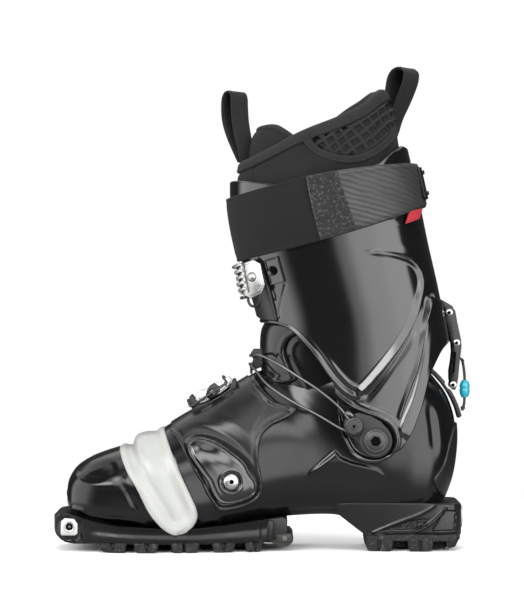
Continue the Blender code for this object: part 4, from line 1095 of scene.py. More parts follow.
def side_patch(name, tube, outline, height, finish, body, side=-1, **options):
    """A skin patch whose outline is drawn in side view."""
    loop = side_loop(tube, outline, side)
    return skin_patch(name, tube, loop, height, finish, body, **options)


def slice_at(tube, centre, along, angles):
    """Points and normals where a plane through centre, square to along, meets the tube."""
    fine = np.linspace(0, tube.last, 300)
    along = unit(along)
    points, normals = [], []
    for angle in angles:
        offset = (tube.raw(fine, np.full(len(fine), angle)) - centre) @ along
        hits = np.where(offset[:-1] * offset[1:] <= 0)[0]
        if not len(hits):
            continue
        section = np.array([crossing(fine, offset, hits[0])])
        points.append(tube.raw(section, np.array([angle]))[0])
        normal = tube.normal(section, np.array([angle]))[0]
        normals.append(unit(normal - along * normal.dot(along)))
    return np.array(points), np.array(normals)


def curved_plate(
    name, tube, centre, along, angles, outline, low, high, finish, body, bevel, **told
):
    """A plate bent round a tube, from low to high over its skin.

    The outline is (place from 0 at the first angle to 1 at the last, distance along).
    """
    centre, along = np.asarray(centre, float), unit(along)
    dense = np.linspace(angles[0], angles[1], 60)
    bands = {}

    def on_skin(place, shift):
        if shift not in bands:
            bands[shift] = slice_at(tube, centre + along * shift, along, dense)
        points, normals = bands[shift]
        run = run_lengths(points)
        at = place * run[-1]
        return point_at(at, run, points), unit(point_at(at, run, normals))

    length = 40.0  # nominal length round the tube, used to space the points
    loop = resample(np.array(outline, float) * [length, 1.0], 1.2)
    low_x, low_y = loop.min(0)
    high_x, high_y = loop.max(0)
    x, y = np.meshgrid(np.arange(low_x, high_x, 1.6), np.arange(math.floor(low_y), high_y, 1.6))
    fill = np.stack([x.ravel(), y.ravel()], 1)
    fill = fill[signed(fill, loop) < -0.9]
    flat, faces = triangulate(np.concatenate([loop, fill]), len(loop))
    base, normals = [], []
    for x, y in flat:
        nearest = round(y * 2) / 2  # slices are shared every half millimetre
        point, normal = on_skin(x / length, nearest)
        base.append(point + along * (y - nearest))
        normals.append(normal)
    base, normals = np.array(base), np.array(normals)
    count = len(flat)
    edges = {}
    for face in faces:
        for pair in zip(face, face[1:] + face[:1]):
            edges[pair] = True
    rim = [(a, b) for a, b in edges if (b, a) not in edges]
    walls = [tuple(reversed(face)) for face in faces]
    walls += [tuple(i + count for i in face) for face in faces]
    walls += [(a, b, b + count, a + count) for a, b in rim]
    points = np.concatenate([base + normals * low, base + normals * high])
    made = piece(name, points, walls, finish, uv=np.tile(flat, (2, 1)))
    round_edges(made, bevel, bevel_above=50, sharp_above=45)
    tell(made, body, **told)


def stitches(name, path, normals, body, pitch=2.6, length=1.7, radius=0.32, lift=0.12):
    """A row of short threads along a path on a surface."""
    path = np.asarray(path, float)
    normals = unit(normals)
    run = run_lengths(path)
    sides = 6
    # place along the thread, part of the radius, height in radii
    profile = ((0.0, 0.35, -0.9), (0.14, 0.9, 0.2), (0.5, 1.0, 0.75), (0.86, 0.9, 0.2), (1.0, 0.35, -0.9))
    points, faces = [], []
    for k in range(max(1, int(run[-1] / pitch))):
        first = len(points)
        for place, part, up in profile:
            at = (k + 0.15) * pitch + place * length
            centre = point_at(at, run, path)
            normal = unit(point_at(at, run, normals))
            tangent = unit(point_at(at + 0.2, run, path) - point_at(at - 0.2, run, path))
            side = np.cross(tangent, normal)
            for j in range(sides):
                turn = 2 * math.pi * j / sides
                ring = (side * math.cos(turn) + normal * math.sin(turn)) * radius * part
                points.append(centre + normal * (lift + up * radius) + ring)
        faces += [tuple(i + first for i in face) for face in capped(len(profile), sides)]
    piece(name, points, faces, "thread", uv=np.asarray(points)[:, [0, 2]], body=body)


# ---------------------------------------------------------------- skins
toe_skin, bellows_skin, lower_skin = Tube(TOE), Tube(BELLOWS), Tube(LOWER)
boot_skin = Stack([toe_skin, bellows_skin, lower_skin])
cuff_skin = Tube(CUFF)
liner_skin = Tube(CUFF + [LINER_END]).shrink(6.2)


def boot_angles(levels, count):
    """For each level of the boot, angles evenly spread over half of the section."""
    return np.stack([boot_skin.even_angles(level, count) for level in levels])


# ---------------------------------------------------------------- lower boot
# points, width, height, part that fades at each end
BOOT_RIBS = [
    # crease in front of the bellows
    ([(-98.4, 57), (-98.4, 51), (-94.8, 43.7), (-91, 36), (-87.6, 29.5)], 2.4, -0.6, 0.3),
    # lens-shaped flare behind the bellows
    ([(-46, 18.8), (-35, 24.2), (-27.5, 22.8), (-29, 19.2)], 1.6, 1.5, 0.12),
    # soft fold at the lower rear, with its groove
    ([(134, 112), (137, 90), (139, 72), (137, 60)], 5.0, 1.1, 0.3),
    ([(128, 112), (131, 90), (132.4, 72)], 2.6, -0.8, 0.3),
    # ledge along the arch
    ([(17, 25.4), (40, 27), (62.2, 26.2), (78, 20.4)], 1.6, 1.0, 0.05),
    ([(17, 29), (40, 30.4), (62.2, 29.8), (80, 24)], 1.6, -0.5, 0.05),
    ([(90, 22.5), (108, 27), (122, 34), (133, 41)], 1.3, 0.9, 0.1),
    # seam line behind the instep flap
    ([(5.5, 40.5), (24, 38), (46, 41), (70, 50)], 0.7, -0.35, 0.3),
]
TOE_SCOOP = [
    (-135.6, 60.6), (-122, 65.2), (-107.4, 67), (-104.6, 61.6), (-111, 57), (-116.4, 53.6),
    (-126.5, 53.2), (-131, 55.2),
]
TOE_WEDGE = [(-135.8, 60), (-127.5, 51.4), (-116.6, 50.2), (-101.5, 51.2)]
CREASE_PANEL = [(-98, 57), (-94.2, 43.7), (-87, 29), (-82, 24), (-80, 28), (-96, 60)]
TOE_RAND = [
    (-141.5, 31), (-137.3, 32.2), (-129.9, 31.2), (-124.9, 28.9), (-114, 26.6), (-104, 26),
    (-95.5, 25.2), (-86.5, 23.6), (-82, 20),
]
CUFF_WEDGE = [
    (36, 56.6), (47, 65.4), (58.5, 75), (61.5, 70.6), (70, 66.8), (90.3, 61.4), (100, 50), (36, 50)
]
HEEL_SWEEP = [(80, 16.5), (100, 18.6), (118, 24.5), (130, 31), (140, 37.4), (150, 38)]


def boot_relief(points):
    """Raised and sunken details of the lower boot, in millimetres along the skin's normal."""
    view = points[:, [0, 2]]
    wide = smoothstep(np.abs(points[:, 1]), 14, 24)
    relief = ribs(view, BOOT_RIBS)
    # the skin dips under the bellows
    under = smooth_line(BELLOWS_OUTLINE + [(-70, 108), (-104, 95)], 1.5, True)
    relief -= 3.2 * (1 - smoothstep(signed(view, under, 8), -3.4, -0.8))
    # toe: scooped panel, wedge, and a dip beside the crease
    relief -= wide * panel(view, TOE_SCOOP, height=0.9, edge=5.0)
    relief += wide * rib(view, TOE_WEDGE, width=3.0, height=0.5, taper=0.2)
    relief -= panel(view, CREASE_PANEL, height=0.3, edge=3.0)
    # toe: flared rand above the sole
    away, place, side = line_distance(view, smooth_line(TOE_RAND, 1.5), limit=14)
    start, end = smoothstep(place, 0, 0.06), smoothstep(1 - place, -0.01, 0.1)
    relief += 1.5 * bell(away, 1.2) * start
    relief -= 1.5 * np.where(side < 0, between(away, 0.4, 1.8, 3.5, 6.5), 0) * start * end
    # wedge ridge under the cuff
    depth = signed(view, np.array(CUFF_WEDGE), 8)
    relief += 1.7 * (1 - smoothstep(depth, -1.1, 0.2)) * smoothstep(points[:, 2], 53, 68)
    # ledge sweeping up over the heel
    away, place, side = line_distance(view, smooth_line(HEEL_SWEEP, 1.5), limit=16)
    relief += 1.4 * bell(away, 1.5) * smoothstep(place, 0, 0.1)
    relief -= 0.9 * np.where(side < 0, between(away, 1.5, 3.5, 7, 11), 0)
    return relief


def build_boot():
    wall = 3.2
    levels = np.concatenate([
        np.linspace(0, 2, 34)[:-1], np.linspace(2, 6, 66),  # toe
        np.linspace(0, 6, 34) + boot_skin.starts[1],
        np.linspace(0, 13, 200) + boot_skin.starts[2],
    ])
    angles = both_sides(boot_angles(levels, 120))
    sections = np.repeat(levels[:, None], angles.shape[1], 1)
    points, normals = surface(boot_skin, sections, angles, smooth=3)
    relief = boot_relief(points.reshape(-1, 3)).reshape(points.shape[:2])
    points = points + normals * relief[..., None]
    # rounded toe tip
    tip = np.array([-144.0, 0, 41.2])
    rings = []
    for part in (0.0, 0.25, 0.5, 0.72, 0.88, 0.97):
        ring = tip + (points[0] - tip) * part
        front = points[0][:, 0]
        ring[:, 0] = front + (tip[0] - front) * (1 - part**2.2)
        rings.append(ring)
    # the last section rolls over and goes back down inside
    up = unit(points[-1] - points[-3])
    inner = [points[-1 - back] - normals[-1 - back] * wall for back in range(0, 60, 6)]
    roll = rim_arc(points[-1], inner[0], normals[-1], up, wall / 2, 5)
    rows = np.concatenate([rings, points, roll, inner])
    faces = grid(rows.shape[0], rows.shape[1], True)
    piece(
        "boot_shell_skin", rows, faces, "shell", uv=grid_uv(rows),
        slot="shell", replaces="toe_shell lower_shell", blend=FOOT_BLEND,
    )


BELLOWS_CHANNEL = [
    (-86, 60), (-77, 42), (-69.5, 28), (-64, 21), (-58, 20), (-52.5, 24.5), (-51, 32), (-56, 44),
    (-62, 58), (-67, 70), (-80, 72),
]


def bellows_upper(outline, spread, half):
    """Rows of the bellows on the boot's skin, from the top down to its widest line."""
    region = np.concatenate([outline, [(-69.8, 130.0), (-104.0, 130.0)]])
    levels = np.linspace(4.5, 17.5, 420)
    angles = boot_angles(levels, half)
    skin = boot_skin.raw(np.repeat(levels[:, None], half, 1), angles)
    points, normals = [], []
    for j in range(half):
        line = skin[:, j]
        depth = signed(line[:, [0, 2]], region)
        held = np.where(depth < 0)[0]
        if len(held) < 3:
            break
        first, last = held[0], held[-1]
        start = levels[0] if first == 0 else crossing(levels, depth, first - 1)
        end = levels[-1] if last == len(levels) - 1 else crossing(levels, depth, last)
        if line[(first + last) // 2][2] < 42.0:
            break
        sections = start + (end - start) * spread
        row_angles = np.array([np.interp(x, levels, angles[:, j]) for x in sections])
        points.append(boot_skin.raw(sections, row_angles))
        normals.append(boot_skin.normal(sections, row_angles))
    return np.array(points), np.array(normals)


def bellows_lower(outline, spread, last):
    """Rows that hang down from the widest line over the sole's edge, to the lowest tip."""
    tip = int(np.argmin(np.abs(outline - BELLOWS_TIP).sum(1)))

    def rest_of(edge, start):
        nearest = np.linalg.norm(edge - start, axis=1).argmin()
        rest = np.concatenate([[start], edge[nearest + 1 :]])
        return rest, run_lengths(rest)

    front, front_run = rest_of(outline[: tip + 1], last[0][[0, 2]])
    rear, rear_run = rest_of(outline[tip:][::-1], last[-1][[0, 2]])
    widest = np.interp(spread, [0, 1], [last[0][2], last[-1][2]])
    base_y = np.interp(spread, np.linspace(0, 1, len(spread)), last[:, 1])
    points, normals = [], []
    for t in 1 - (1 - np.linspace(0, 1, 44)[1:]) ** 1.35:
        start = point_at(t * front_run[-1], front_run, front)
        end = point_at(t * rear_run[-1], rear_run, rear)
        row = start + (end - start) * spread[:, None]
        drop = np.maximum(0, widest - row[:, 1])
        y = base_y - 0.0011 * drop**2
        points.append(np.stack([row[:, 0], y, row[:, 1]], 1))
        normals.append(unit(np.stack([0 * y, np.ones(len(y)), -0.0022 * drop], 1)))
    return np.array(points), np.array(normals)


def build_bellows():
    outline = smooth_line(BELLOWS_OUTLINE, 1.0)
    across = 64
    spread = np.linspace(0, 1, across)
    spread = 0.5 - 0.5 * np.cos(np.pi * (0.10 + 0.80 * spread)) / math.cos(math.pi * 0.10)
    upper, upper_normals = bellows_upper(outline, spread, 90)
    lower, lower_normals = bellows_lower(outline, spread, upper[-1])
    points = np.concatenate([upper, lower])
    normals = np.concatenate([upper_normals, lower_normals])
    # smooth the join between the two halves
    join = points[len(upper) - 9 : len(upper) + 9]
    for _ in range(40):
        join[1:-1] = join[1:-1] * 0.5 + (join[:-2] + join[2:]) * 0.25
    for _ in range(14):
        normals[1:-1] = unit(normals[1:-1] + normals[:-2] + normals[2:])
    view = points.reshape(-1, 3)[:, [0, 2]]
    z = view[:, 1]
    # high up the side view is foreshortened, so only the distance in space to the edges counts
    to_front = np.linalg.norm(points - points[:, :1], axis=2)
    to_rear = np.linalg.norm(points - points[:, -1:], axis=2)
    in_space = np.minimum(to_front, to_rear).ravel()
    in_view = line_distance(view, outline)[0]
    away = np.where(z > 45, in_space, np.minimum(in_space, in_view))
    low_away = line_distance(view, outline[outline[:, 1] < 40])[0]
    away = np.minimum(away, np.where(z < 40, low_away, 99))
    # a rounded rim, and a shallow channel in the middle that is deepest low down
    channel = smooth_line(BELLOWS_CHANNEL, 1.5, True)
    channel = 1 - smoothstep(signed(view, channel), -4.0, 1.5)
    depth = 1.9 * (1 - smoothstep(z, 40, 78))
    rounding = np.sqrt(np.clip(1 - np.clip(1 - away / 1.5, 0, 1) ** 2, 0, 1))
    relief = -1.4 + 2.2 * rounding + 0.95 * bell(away - 3.6, 2.2) - depth * channel
    outer = points + normals * relief.reshape(points.shape[:2])[..., None]
    mirror = outer[1:][::-1].copy()
    mirror[..., 1] *= -1
    rows = np.concatenate([mirror, outer], 0)
    faces = grid(rows.shape[0], across)
    made = piece("bellows_band", rows, faces, "bellows", uv=grid_uv(rows))
    top = [face for face in made.data.polygons if abs(face.center.y) < 0.01]
    if sum(face.normal.z for face in top) < 0:
        made.data.flip_normals()
    tell(made, slot="bellows", replaces="bellows", blend=FOOT_BLEND)


# ---------------------------------------------------------------- plates on the lower shell
INSTEP_FLAP = [
    (-64, 87), (-59.2, 83), (-54.8, 74.7), (-44.4, 57), (-34, 38.5), (-28.6, 31.2), (-15, 32.9),
    (-2.5, 38), (3.7, 44.4), (4.3, 52.2), (1.5, 65.9), (2, 79.4), (3.7, 85.8), (9.4, 92.1),
    (19, 97), (28, 102.2), (30, 106), (24, 108.5), (11.2, 111.5), (1, 121.4),
]
FLAP_WEB = [(-34, 99), (-12, 92), (-2, 76), (0, 60)]
FLAP_GROOVE = [(11.1, 111.7), (4.5, 101), (-1.5, 91), (-3.6, 80)]


def build_flap():
    """The instep flap: drawn on the inner side, and carried over the top to the outer side."""
    loop = [tuple(point) for point in side_loop(lower_skin, INSTEP_FLAP)]
    start, end = loop[0][0], loop[-1][0]
    loop += [
        (end - 0.35, -0.25), (end - 0.5, 0.25), (end - 0.6, 0.7), ((end + start) / 2, 0.85),
        (start + 0.25, 0.7), (start + 0.1, 0.25), (start + 0.05, -0.2),
    ]
    border = smooth_line(INSTEP_FLAP, 1.2)
    tear = smooth_line(TEARDROP, 1.2, True)

    def shape(base, depth, angles):
        x, z = base[:, 0], base[:, 2]
        view = base[:, [0, 2]]
        away = line_distance(view, border, limit=12)[0]
        relief = 0.75 * bell(away - 1.6, 0.8) - 0.5 * bell(away - 4.0, 1.2)
        # pocket round the teardrop cover, and a scooped band beyond it
        gap = signed(view, tear, 14)
        relief += -1.9 * (1 - smoothstep(gap, 1.2, 2.6)) + 0.7 * bell(gap - 3.4, 0.9)
        scoop = bell(gap - 7.0, 2.2) * smoothstep(z, 66, 76) * (1 - smoothstep(x, -20, -2))
        relief -= 0.8 * scoop
        # raised web between the buckle and the ankle, and a groove behind it
        relief += rib(view, FLAP_WEB, width=5.0, height=0.9, taper=0.3)
        relief -= rib(view, FLAP_GROOVE, width=0.6, height=0.55, taper=0.12)
        off_top = smoothstep(np.abs(angles), 0.05, 0.75) * (angles < 0.9)
        return 1.6 * off_top + np.where(base[:, 1] < -6, relief, 0)

    skin_patch(
        "instep_flap_cover", lower_skin, loop, 1.0, "shell_satin", "shell", step=1.5, edge=1.1,
        scale=scale_of(lower_skin, np.array([[3.0, -1.0]])), shape=shape,
        slot="shell", replaces="instep_flap",
    )


def build_teardrop():
    def shape(base, depth, angles):
        relief = -0.7 * bell(depth - 2.4, 0.8) + 0.35 * bell(depth - 1.0, 0.5)
        radius = np.linalg.norm(base[:, [0, 2]] - np.array(TEARDROP_RIVET), axis=1)
        relief -= 1.1 * (1 - smoothstep(radius, 7.0, 7.9))
        relief += 0.3 * bell(radius - 8.6, 0.6)
        return relief + 0.5 * smoothstep(depth, 3, 12)

    side_patch(
        "teardrop_plate", lower_skin, TEARDROP, 2.8, "gloss", "shell", step=0.85, edge=0.8,
        sink=-0.4, shape=shape, slot="black_plastic", replaces="teardrop_cover",
    )
    place = lower_skin.locate(*TEARDROP_RIVET)
    centre, axis = lower_skin.point(*place)[0], lower_skin.normal(*place)[0]
    # painted shade: a dark ring for the shade in the gap round the rivet head
    washer = [(7.2, 1), (7.2, 1.9), (6.9, 2.2), (6.2, 2.2)]
    lathe("teardrop_rivet_washer", centre, axis, washer, "hole", "shell", 64)
    head = [
        (6.1, 1.2), (6.1, 2.6), (5.9, 3.1), (5.3, 3.7), (4.2, 4.2), (2.6, 4.5), (1.75, 4.55),
        (1.75, 4.2), (1.2, 3.4), (0.01, 3.3),
    ]
    lathe(
        "teardrop_rivet_head", centre, axis, head, "steel", "shell", 64,
        slot="dark_steel", replaces="teardrop_rivet",
    )
    socket("teardrop_rivet_socket", centre + axis * 4.56, axis, 1.5, "shell")


def build_heel_strips():
    for side, tag in ((-1, "inner"), (1, "outer")):
        side_patch(
            f"heel_strip_{tag}_cover", lower_skin, HEEL_STRIP, 1.5, "black", "shell", side,
            step=1.2, edge=0.9, slot="black_plastic", replaces=f"heel_strip_{tag}",
        )


# ---------------------------------------------------------------- throat and tongue of the shell
THROAT_RIDGE = [(31, 158), (26.5, 152), (26, 146), (31.5, 134), (37.5, 122), (40, 112)]
TONGUE_EDGE = [
    (20, 176), (31, 165), (29.6, 161.6), (23.7, 158), (20.6, 152.4), (20.2, 147.2),
    (24.4, 136.4), (29, 128), (22, 124),
]


def build_throat():
    skin = Tube(THROAT)
    angles = both_sides(skin.even_angles(2.0, 110))
    sections, angles = np.meshgrid(np.linspace(0, skin.last, 70), angles, indexing="ij")
    points, normals = surface(skin.shrink(0.9), sections, angles)
    view = points.reshape(-1, 3)[:, [0, 2]]
    relief = rib(view, THROAT_RIDGE, width=1.4, height=0.7, taper=0.1).reshape(sections.shape)
    walled(
        "shell_throat", points + normals * relief[..., None], normals, 2.6, "shell",
        inner_rows=20, body="shell", slot="shell",
    )


def build_tongue():
    tube = Tube(SHELL_TONGUE)
    edge = side_loop(tube, TONGUE_EDGE)
    # round the front to the other side, with angles beyond pi
    loop = [(section, -angle) for section, angle in edge]
    loop += [(section, 2 * math.pi + angle) for section, angle in edge[::-1]]

    def shape(base, depth, angles):
        return 0.5 * bell(depth - 2.2, 1.0) - 0.35 * bell(depth - 4.6, 1.2)

    skin_patch(
        "shell_tongue_front", tube, loop, 1.2, "shell", "shell", step=1.4, edge=1.2,
        scale=(9.0, 38.0), shape=shape, sink=1.5, slot="shell", replaces="shell_tongue",
    )


# ---------------------------------------------------------------- cuff
CUFF_SWOOSH = [
    (73, 222.6), (80, 222.6), (92, 222), (104, 220), (113.6, 216.4), (119.4, 211), (122.4, 204),
    (122.6, 196), (120.6, 186.5), (116.6, 172.6), (107.6, 155.6), (95.6, 139), (83.4, 124.2),
    (75.2, 115.8),
]
CUFF_CREST = [
    (104.6, 96), (108, 108), (113.5, 123), (119.6, 139), (122.8, 155), (125.6, 172), (130, 187),
    (133.4, 193),
]
CUFF_REAR_FLARE = [
    (127.5, 190), (136, 187), (146, 178), (150, 158), (140, 152), (130, 134), (121, 103),
    (112, 85), (106, 90), (115, 116), (122, 142), (125.6, 168),
]
CUFF_LIP = [
    (3, 171.4), (15.5, 170.2), (24.2, 166.5), (34, 157.6), (43.7, 145.8), (51.1, 134.7),
    (58, 126), (66, 118.6), (74.4, 115.2),
]
CUFF_OBLONG = [
    (102.5, 83), (98.6, 93.8), (90, 99.4), (79, 103.4), (69.6, 107.6), (60, 115.8), (53, 122.4),
    (56.8, 113), (60.6, 98), (64.6, 86), (71.2, 74.6), (79, 69.4), (88, 68), (97, 71.6),
]
# points, width, height, part that fades at each end
CUFF_RIBS = [
    # thin crest below the sweeping ridge
    ([(78.6, 112.6), (90, 125.5), (101, 140), (110.6, 154.6), (117, 166)], 0.55, 0.2, 0.06),
    # low crest under the strap at the rear
    ([(112, 243.5), (100, 245.5), (90, 246)], 0.8, 0.5, 0.3),
]


def cuff_relief(points):
    view = points[:, [0, 2]]
    x, z = view[:, 0], view[:, 1]
    relief = ribs(view, CUFF_RIBS)
    # ridge sweeping from the rear of the cuff down to the pivot
    away, place, side = line_distance(view, smooth_line(CUFF_SWOOSH, 1.0), limit=16)
    outer = side > 0
    grow = smoothstep(place, 0.0, 0.30) * smoothstep(1 - place, -0.01, 0.03)
    ramp = 3.4 + 2.6 * smoothstep(place, 0.25, 0.7)
    rise = np.clip(1 - away / ramp, 0, 1)
    rise = np.where(rise < 0.12, rise**2 / 0.24, rise - 0.06)
    relief += 2.3 * grow * np.where(outer, 1 - smoothstep(away, 0.1, 1.1), rise)
    relief -= grow * np.where(outer, between(away, 0.3, 1.2, 1.8, 9.0), 0)
    # crest at the rear of the lower triangular panel, running up the spine
    away, place, side = line_distance(view, smooth_line(CUFF_CREST, 1.2), limit=12)
    grow = smoothstep(place, 0.0, 0.05) * (0.45 + 0.55 * smoothstep(place, 0.5, 0.75))
    grow = grow * smoothstep(1 - place, -0.01, 0.06)
    rise = np.clip(1 - away / 3.2, 0, 1)
    relief += 1.7 * grow * np.where(side > 0, rise, 1 - smoothstep(away, 0.1, 1.0))
    relief -= 0.8 * grow * np.where(side > 0, 0, between(away, 0.3, 1.2, 1.6, 7.0))
    relief += panel(view, CUFF_REAR_FLARE, height=1.2, edge=3.0)
    # front lower edge: rolled lip, a groove above it and a second swell
    away, place, _ = line_distance(view, smooth_line(CUFF_LIP, 1.2), limit=14)
    end = smoothstep(1 - place, -0.01, 0.08)
    relief += 0.9 * bell(away, 1.1) * end
    relief -= 0.7 * bell(away - 3.6, 1.3) * smoothstep(place, 0.35, 0.6) * end
    relief += 0.8 * bell(away - 6.6, 1.5) * smoothstep(place, 0.5, 0.75) * end
    # sunken oblong panel for the two discs, its border, and the pivot boss
    depth = signed(view, smooth_line(CUFF_OBLONG, 1.2, True), 14)
    relief -= 1.7 * (1 - smoothstep(depth, -2.4, -0.6))
    relief += 1.5 * bell(depth - 1.2, 1.1) * smoothstep(z, 66, 76)
    relief += 0.7 * bell(depth - 4.6, 1.3) * smoothstep(x, 70, 84)
    radius = np.linalg.norm(view - np.array(PIVOT), axis=1)
    relief += 0.8 * (1 - smoothstep(radius, 11.4, 12.6))
    # panel line near the front, on the inner side only
    line = rib(view, [(21.4, 200.2), (18, 186), (15.6, 172)], width=0.7, height=0.5, taper=0.1)
    return relief - np.where(points[:, 1] < 0, line, 0)


def trim(tube, angles, low, top, rows):
    """Sections and angles of a grid between two side-view curves."""
    fine = np.linspace(0, tube.last, 500)
    sections, grid_angles = np.meshgrid(fine, angles, indexing="ij")
    points = tube.raw(sections, grid_angles)
    over = points[..., 2] - np.interp(points[..., 0], *zip(*low))
    under = np.interp(points[..., 0], *zip(*top)) - points[..., 2]
    start, end = np.zeros(len(angles)), np.full(len(angles), float(tube.last))
    for j in range(len(angles)):
        hits = np.where((over[:-1, j] <= 0) & (over[1:, j] > 0))[0]
        if len(hits):
            start[j] = crossing(fine, over[:, j], hits[-1])
        hits = np.where((under[:-1, j] > 0) & (under[1:, j] <= 0))[0]
        if len(hits):
            end[j] = crossing(fine, under[:, j], hits[-1])
    if len(angles) > 20:
        # a column that found the wrong crossing takes its neighbours' median
        for line in (start, end):
            median = np.median(np.stack([np.roll(line, k) for k in (-2, -1, 0, 1, 2)]), 0)
            off = np.abs(line - median) > 0.12
            line[off] = median[off]
    part = np.linspace(0, 1, rows)[:, None]
    return start[None] + (end - start)[None] * part, np.repeat(np.asarray(angles)[None], rows, 0)


def build_cuff():
    low = smooth_line(CUFF_LOW, 2.0)
    low = low[np.argsort(low[:, 0])]
    # columns spaced evenly along the lower edge, so its steep front stays smooth
    dense = cuff_skin.even_angles(4.0, 1200)
    edge = cuff_skin.raw(*trim(cuff_skin, both_sides(dense), low, CUFF_TOP, 2))[0]
    run = run_lengths(edge[: len(dense)])
    angles = both_sides(np.interp(np.linspace(0, run[-1], 285), run, dense))
    sections, angles = trim(cuff_skin, angles, low, CUFF_TOP, 210)
    points, normals = surface(cuff_skin, sections, angles, smooth=2)
    relief = cuff_relief(points.reshape(-1, 3)).reshape(sections.shape)
    walled(
        "cuff_shell_skin", points + normals * relief[..., None], normals, 3.2, "cuff",
        inner_rows=50, roll=5, body="cuff", slot="cuff", replaces="cuff_shell",
    )


# ---------------------------------------------------------------- power strap
STRAP_EDGES = smooth_line(STRAP_LOW, 3.0), smooth_line(STRAP_TOP, 3.0)


def strap_grid(angles_from, angles_to, rows, cols):
    """Sections and angles of part of the strap. Each end has a lower and an upper angle."""
    probe = np.linspace(-math.pi, math.pi, 361)
    ends, _ = trim(cuff_skin, probe, *STRAP_EDGES, 2)
    part = np.linspace(0, 1, rows)[:, None]
    start = np.interp(part, [0, 1], angles_from)
    end = np.interp(part, [0, 1], angles_to)
    angles = start + (end - start) * np.linspace(0, 1, cols)[None]
    wrapped = (angles + math.pi) % (2 * math.pi) - math.pi
    low, high = np.interp(wrapped, probe, ends[0]), np.interp(wrapped, probe, ends[1])
    return low + (high - low) * part, angles


def build_strap_elastic():
    """The smooth elastic, all the way round, with pressed lines near its edges."""
    angles = both_sides(cuff_skin.even_angles(7.5, 170))
    sections, angles = trim(cuff_skin, angles, *STRAP_EDGES, 30)
    points, normals = surface(cuff_skin, sections, angles, smooth=6)
    up = np.linspace(0, 1, 30)[:, None]
    lift = 3.0 + 0.35 * np.sin(angles * 3 + 0.7) * np.sin(math.pi * up)
    lift = lift + 0.25 * np.sin(angles * 7 + 4 * up)
    lift = lift - 0.45 * bell(up - 0.05, 0.02) - 0.45 * bell(up - 0.95, 0.02)
    walled(
        "power_strap_elastic", points + normals * lift[..., None], normals, 1.9, "elastic",
        inner_rows=12, body="cuff", slot="webbing", replaces="power_strap",
    )


def build_strap_ribbed():
    """A second layer from the stitched patch on the inner side, round the back."""
    rows, cols = 46, 190
    low_angle = float(cuff_skin.locate(47.0, 232.0)[1][0])
    high_angle = float(cuff_skin.locate(36.5, 277.0)[1][0])
    sections, angles = strap_grid((low_angle, high_angle), (0.75, 0.75), rows, cols)
    points, normals = surface(cuff_skin, sections, angles, closed=False, smooth=5)
    up = np.linspace(0, 1, rows)[:, None]
    lift = 4.9 + 0.5 * np.sin(angles * 5 + 5 * up) * np.sin(math.pi * up)
    lift = lift + 0.25 * np.sin(angles * 13 + 8 * up)
    lift = lift - 0.5 * (1 - smoothstep(up, 0.0, 0.05)) - 0.5 * smoothstep(up, 0.95, 1.0)
    lift = lift - 1.2 * smoothstep(np.linspace(0, 1, cols)[None], 0.93, 1.0)
    band = points + normals * lift[..., None]
    close_ends(walled(
        "power_strap_ribbed", band, normals, 1.5, "carbon",
        closed=False, inner_rows=10, body="cuff", slot="webbing",
    ))
    build_strap_patch(low_angle, high_angle)
    for k, row in enumerate((3, -4)):
        stitches(
            f"strap_edge_stitch_{k}", band[row, 22:150], normals[row, 22:150], "cuff",
            pitch=1.9, length=1.3, radius=0.24, lift=0.05,
        )


def build_strap_patch(low_angle, high_angle):
    """The stitched patch at the front end of the ribbed layer."""
    rows, cols = 46, 26
    start, end = (low_angle + 0.012, high_angle + 0.012), (low_angle + 0.275, high_angle + 0.235)
    sections, angles = strap_grid(start, end, rows, cols)
    points, normals = surface(cuff_skin, sections, angles, closed=False)
    up = np.linspace(0.03, 0.97, rows)[:, None]
    across = np.linspace(0, 1, cols)[None]
    rough = 0.12 * np.sin(points[..., 0] * 5.1) * np.sin(points[..., 2] * 4.3)
    edge = np.minimum(np.minimum(across, 1 - across) * 12, np.minimum(up, 1 - up) * 40)
    lift = 5.35 + rough + 0.25 * smoothstep(edge, 0, 0.8)
    lift = lift + 0.5 * np.sin(angles * 5 + 5 * up) * np.sin(math.pi * up)
    outer = points + normals * lift[..., None]
    close_ends(walled(
        "power_strap_patch", outer, normals, 0.8, "patch",
        closed=False, inner_rows=6, roll=3, body="cuff", slot="webbing",
    ))
    inset = slice(2, -2)
    for tag, lines in (
        ("", [(inset, 2), (inset, 23)]),
        ("end_", [(2, inset), (-3, inset)]),
    ):
        for k, line in enumerate(lines):
            name = f"strap_patch_stitch_{tag}{k}"
            stitches(name, outer[line], normals[line], "cuff", pitch=1.9, length=1.3, radius=0.3)


def build_strap_details():
    side_patch(
        "strap_red_tab", cuff_skin, [(108.2, 243), (117.6, 246.6), (120, 255), (110.6, 252.6)],
        4.4, "red", "cuff", step=0.9, edge=0.5, sink=-2.6, smooth=False,
        slot="red", replaces="strap_tab",
    )
    slide = [
        (0, -11), (0.06, -12.2), (0.94, -12.2), (1, -11), (1, 11), (0.94, 12.2), (0.06, 12.2),
        (0, 11),
    ]
    curved_plate(
        "strap_rear_slide", cuff_skin, *STRAP_SLIDE, (-0.34, 0.34), slide, 5.2, 7.0,
        "black", "cuff", bevel=0.6, slot="black_plastic", replaces="strap_buckle",
    )
    for k, middle in enumerate((-8.0, 8.0)):
        low, high = middle - 1.3, middle + 1.3
        curved_plate(
            f"strap_rear_bar_{k}", cuff_skin, *STRAP_SLIDE, (-0.27, 0.27),
            [(0, low), (1, low), (1, high), (0, high)], 6.8, 8.4, "dark_steel", "cuff", bevel=0.4,
        )


# ---------------------------------------------------------------- liner
RIM_INNER = smooth_line(LINER_TOP, 2.5)
# the outer side's rim rises further, most of all near x = 76
RIM_OUTER = [
    (x, z + 8.0 * math.exp(-(((x - 76) / 22) ** 2)) * (1 if x < 92 else math.exp(-((x - 92) / 9))))
    for x, z in RIM_INNER
]


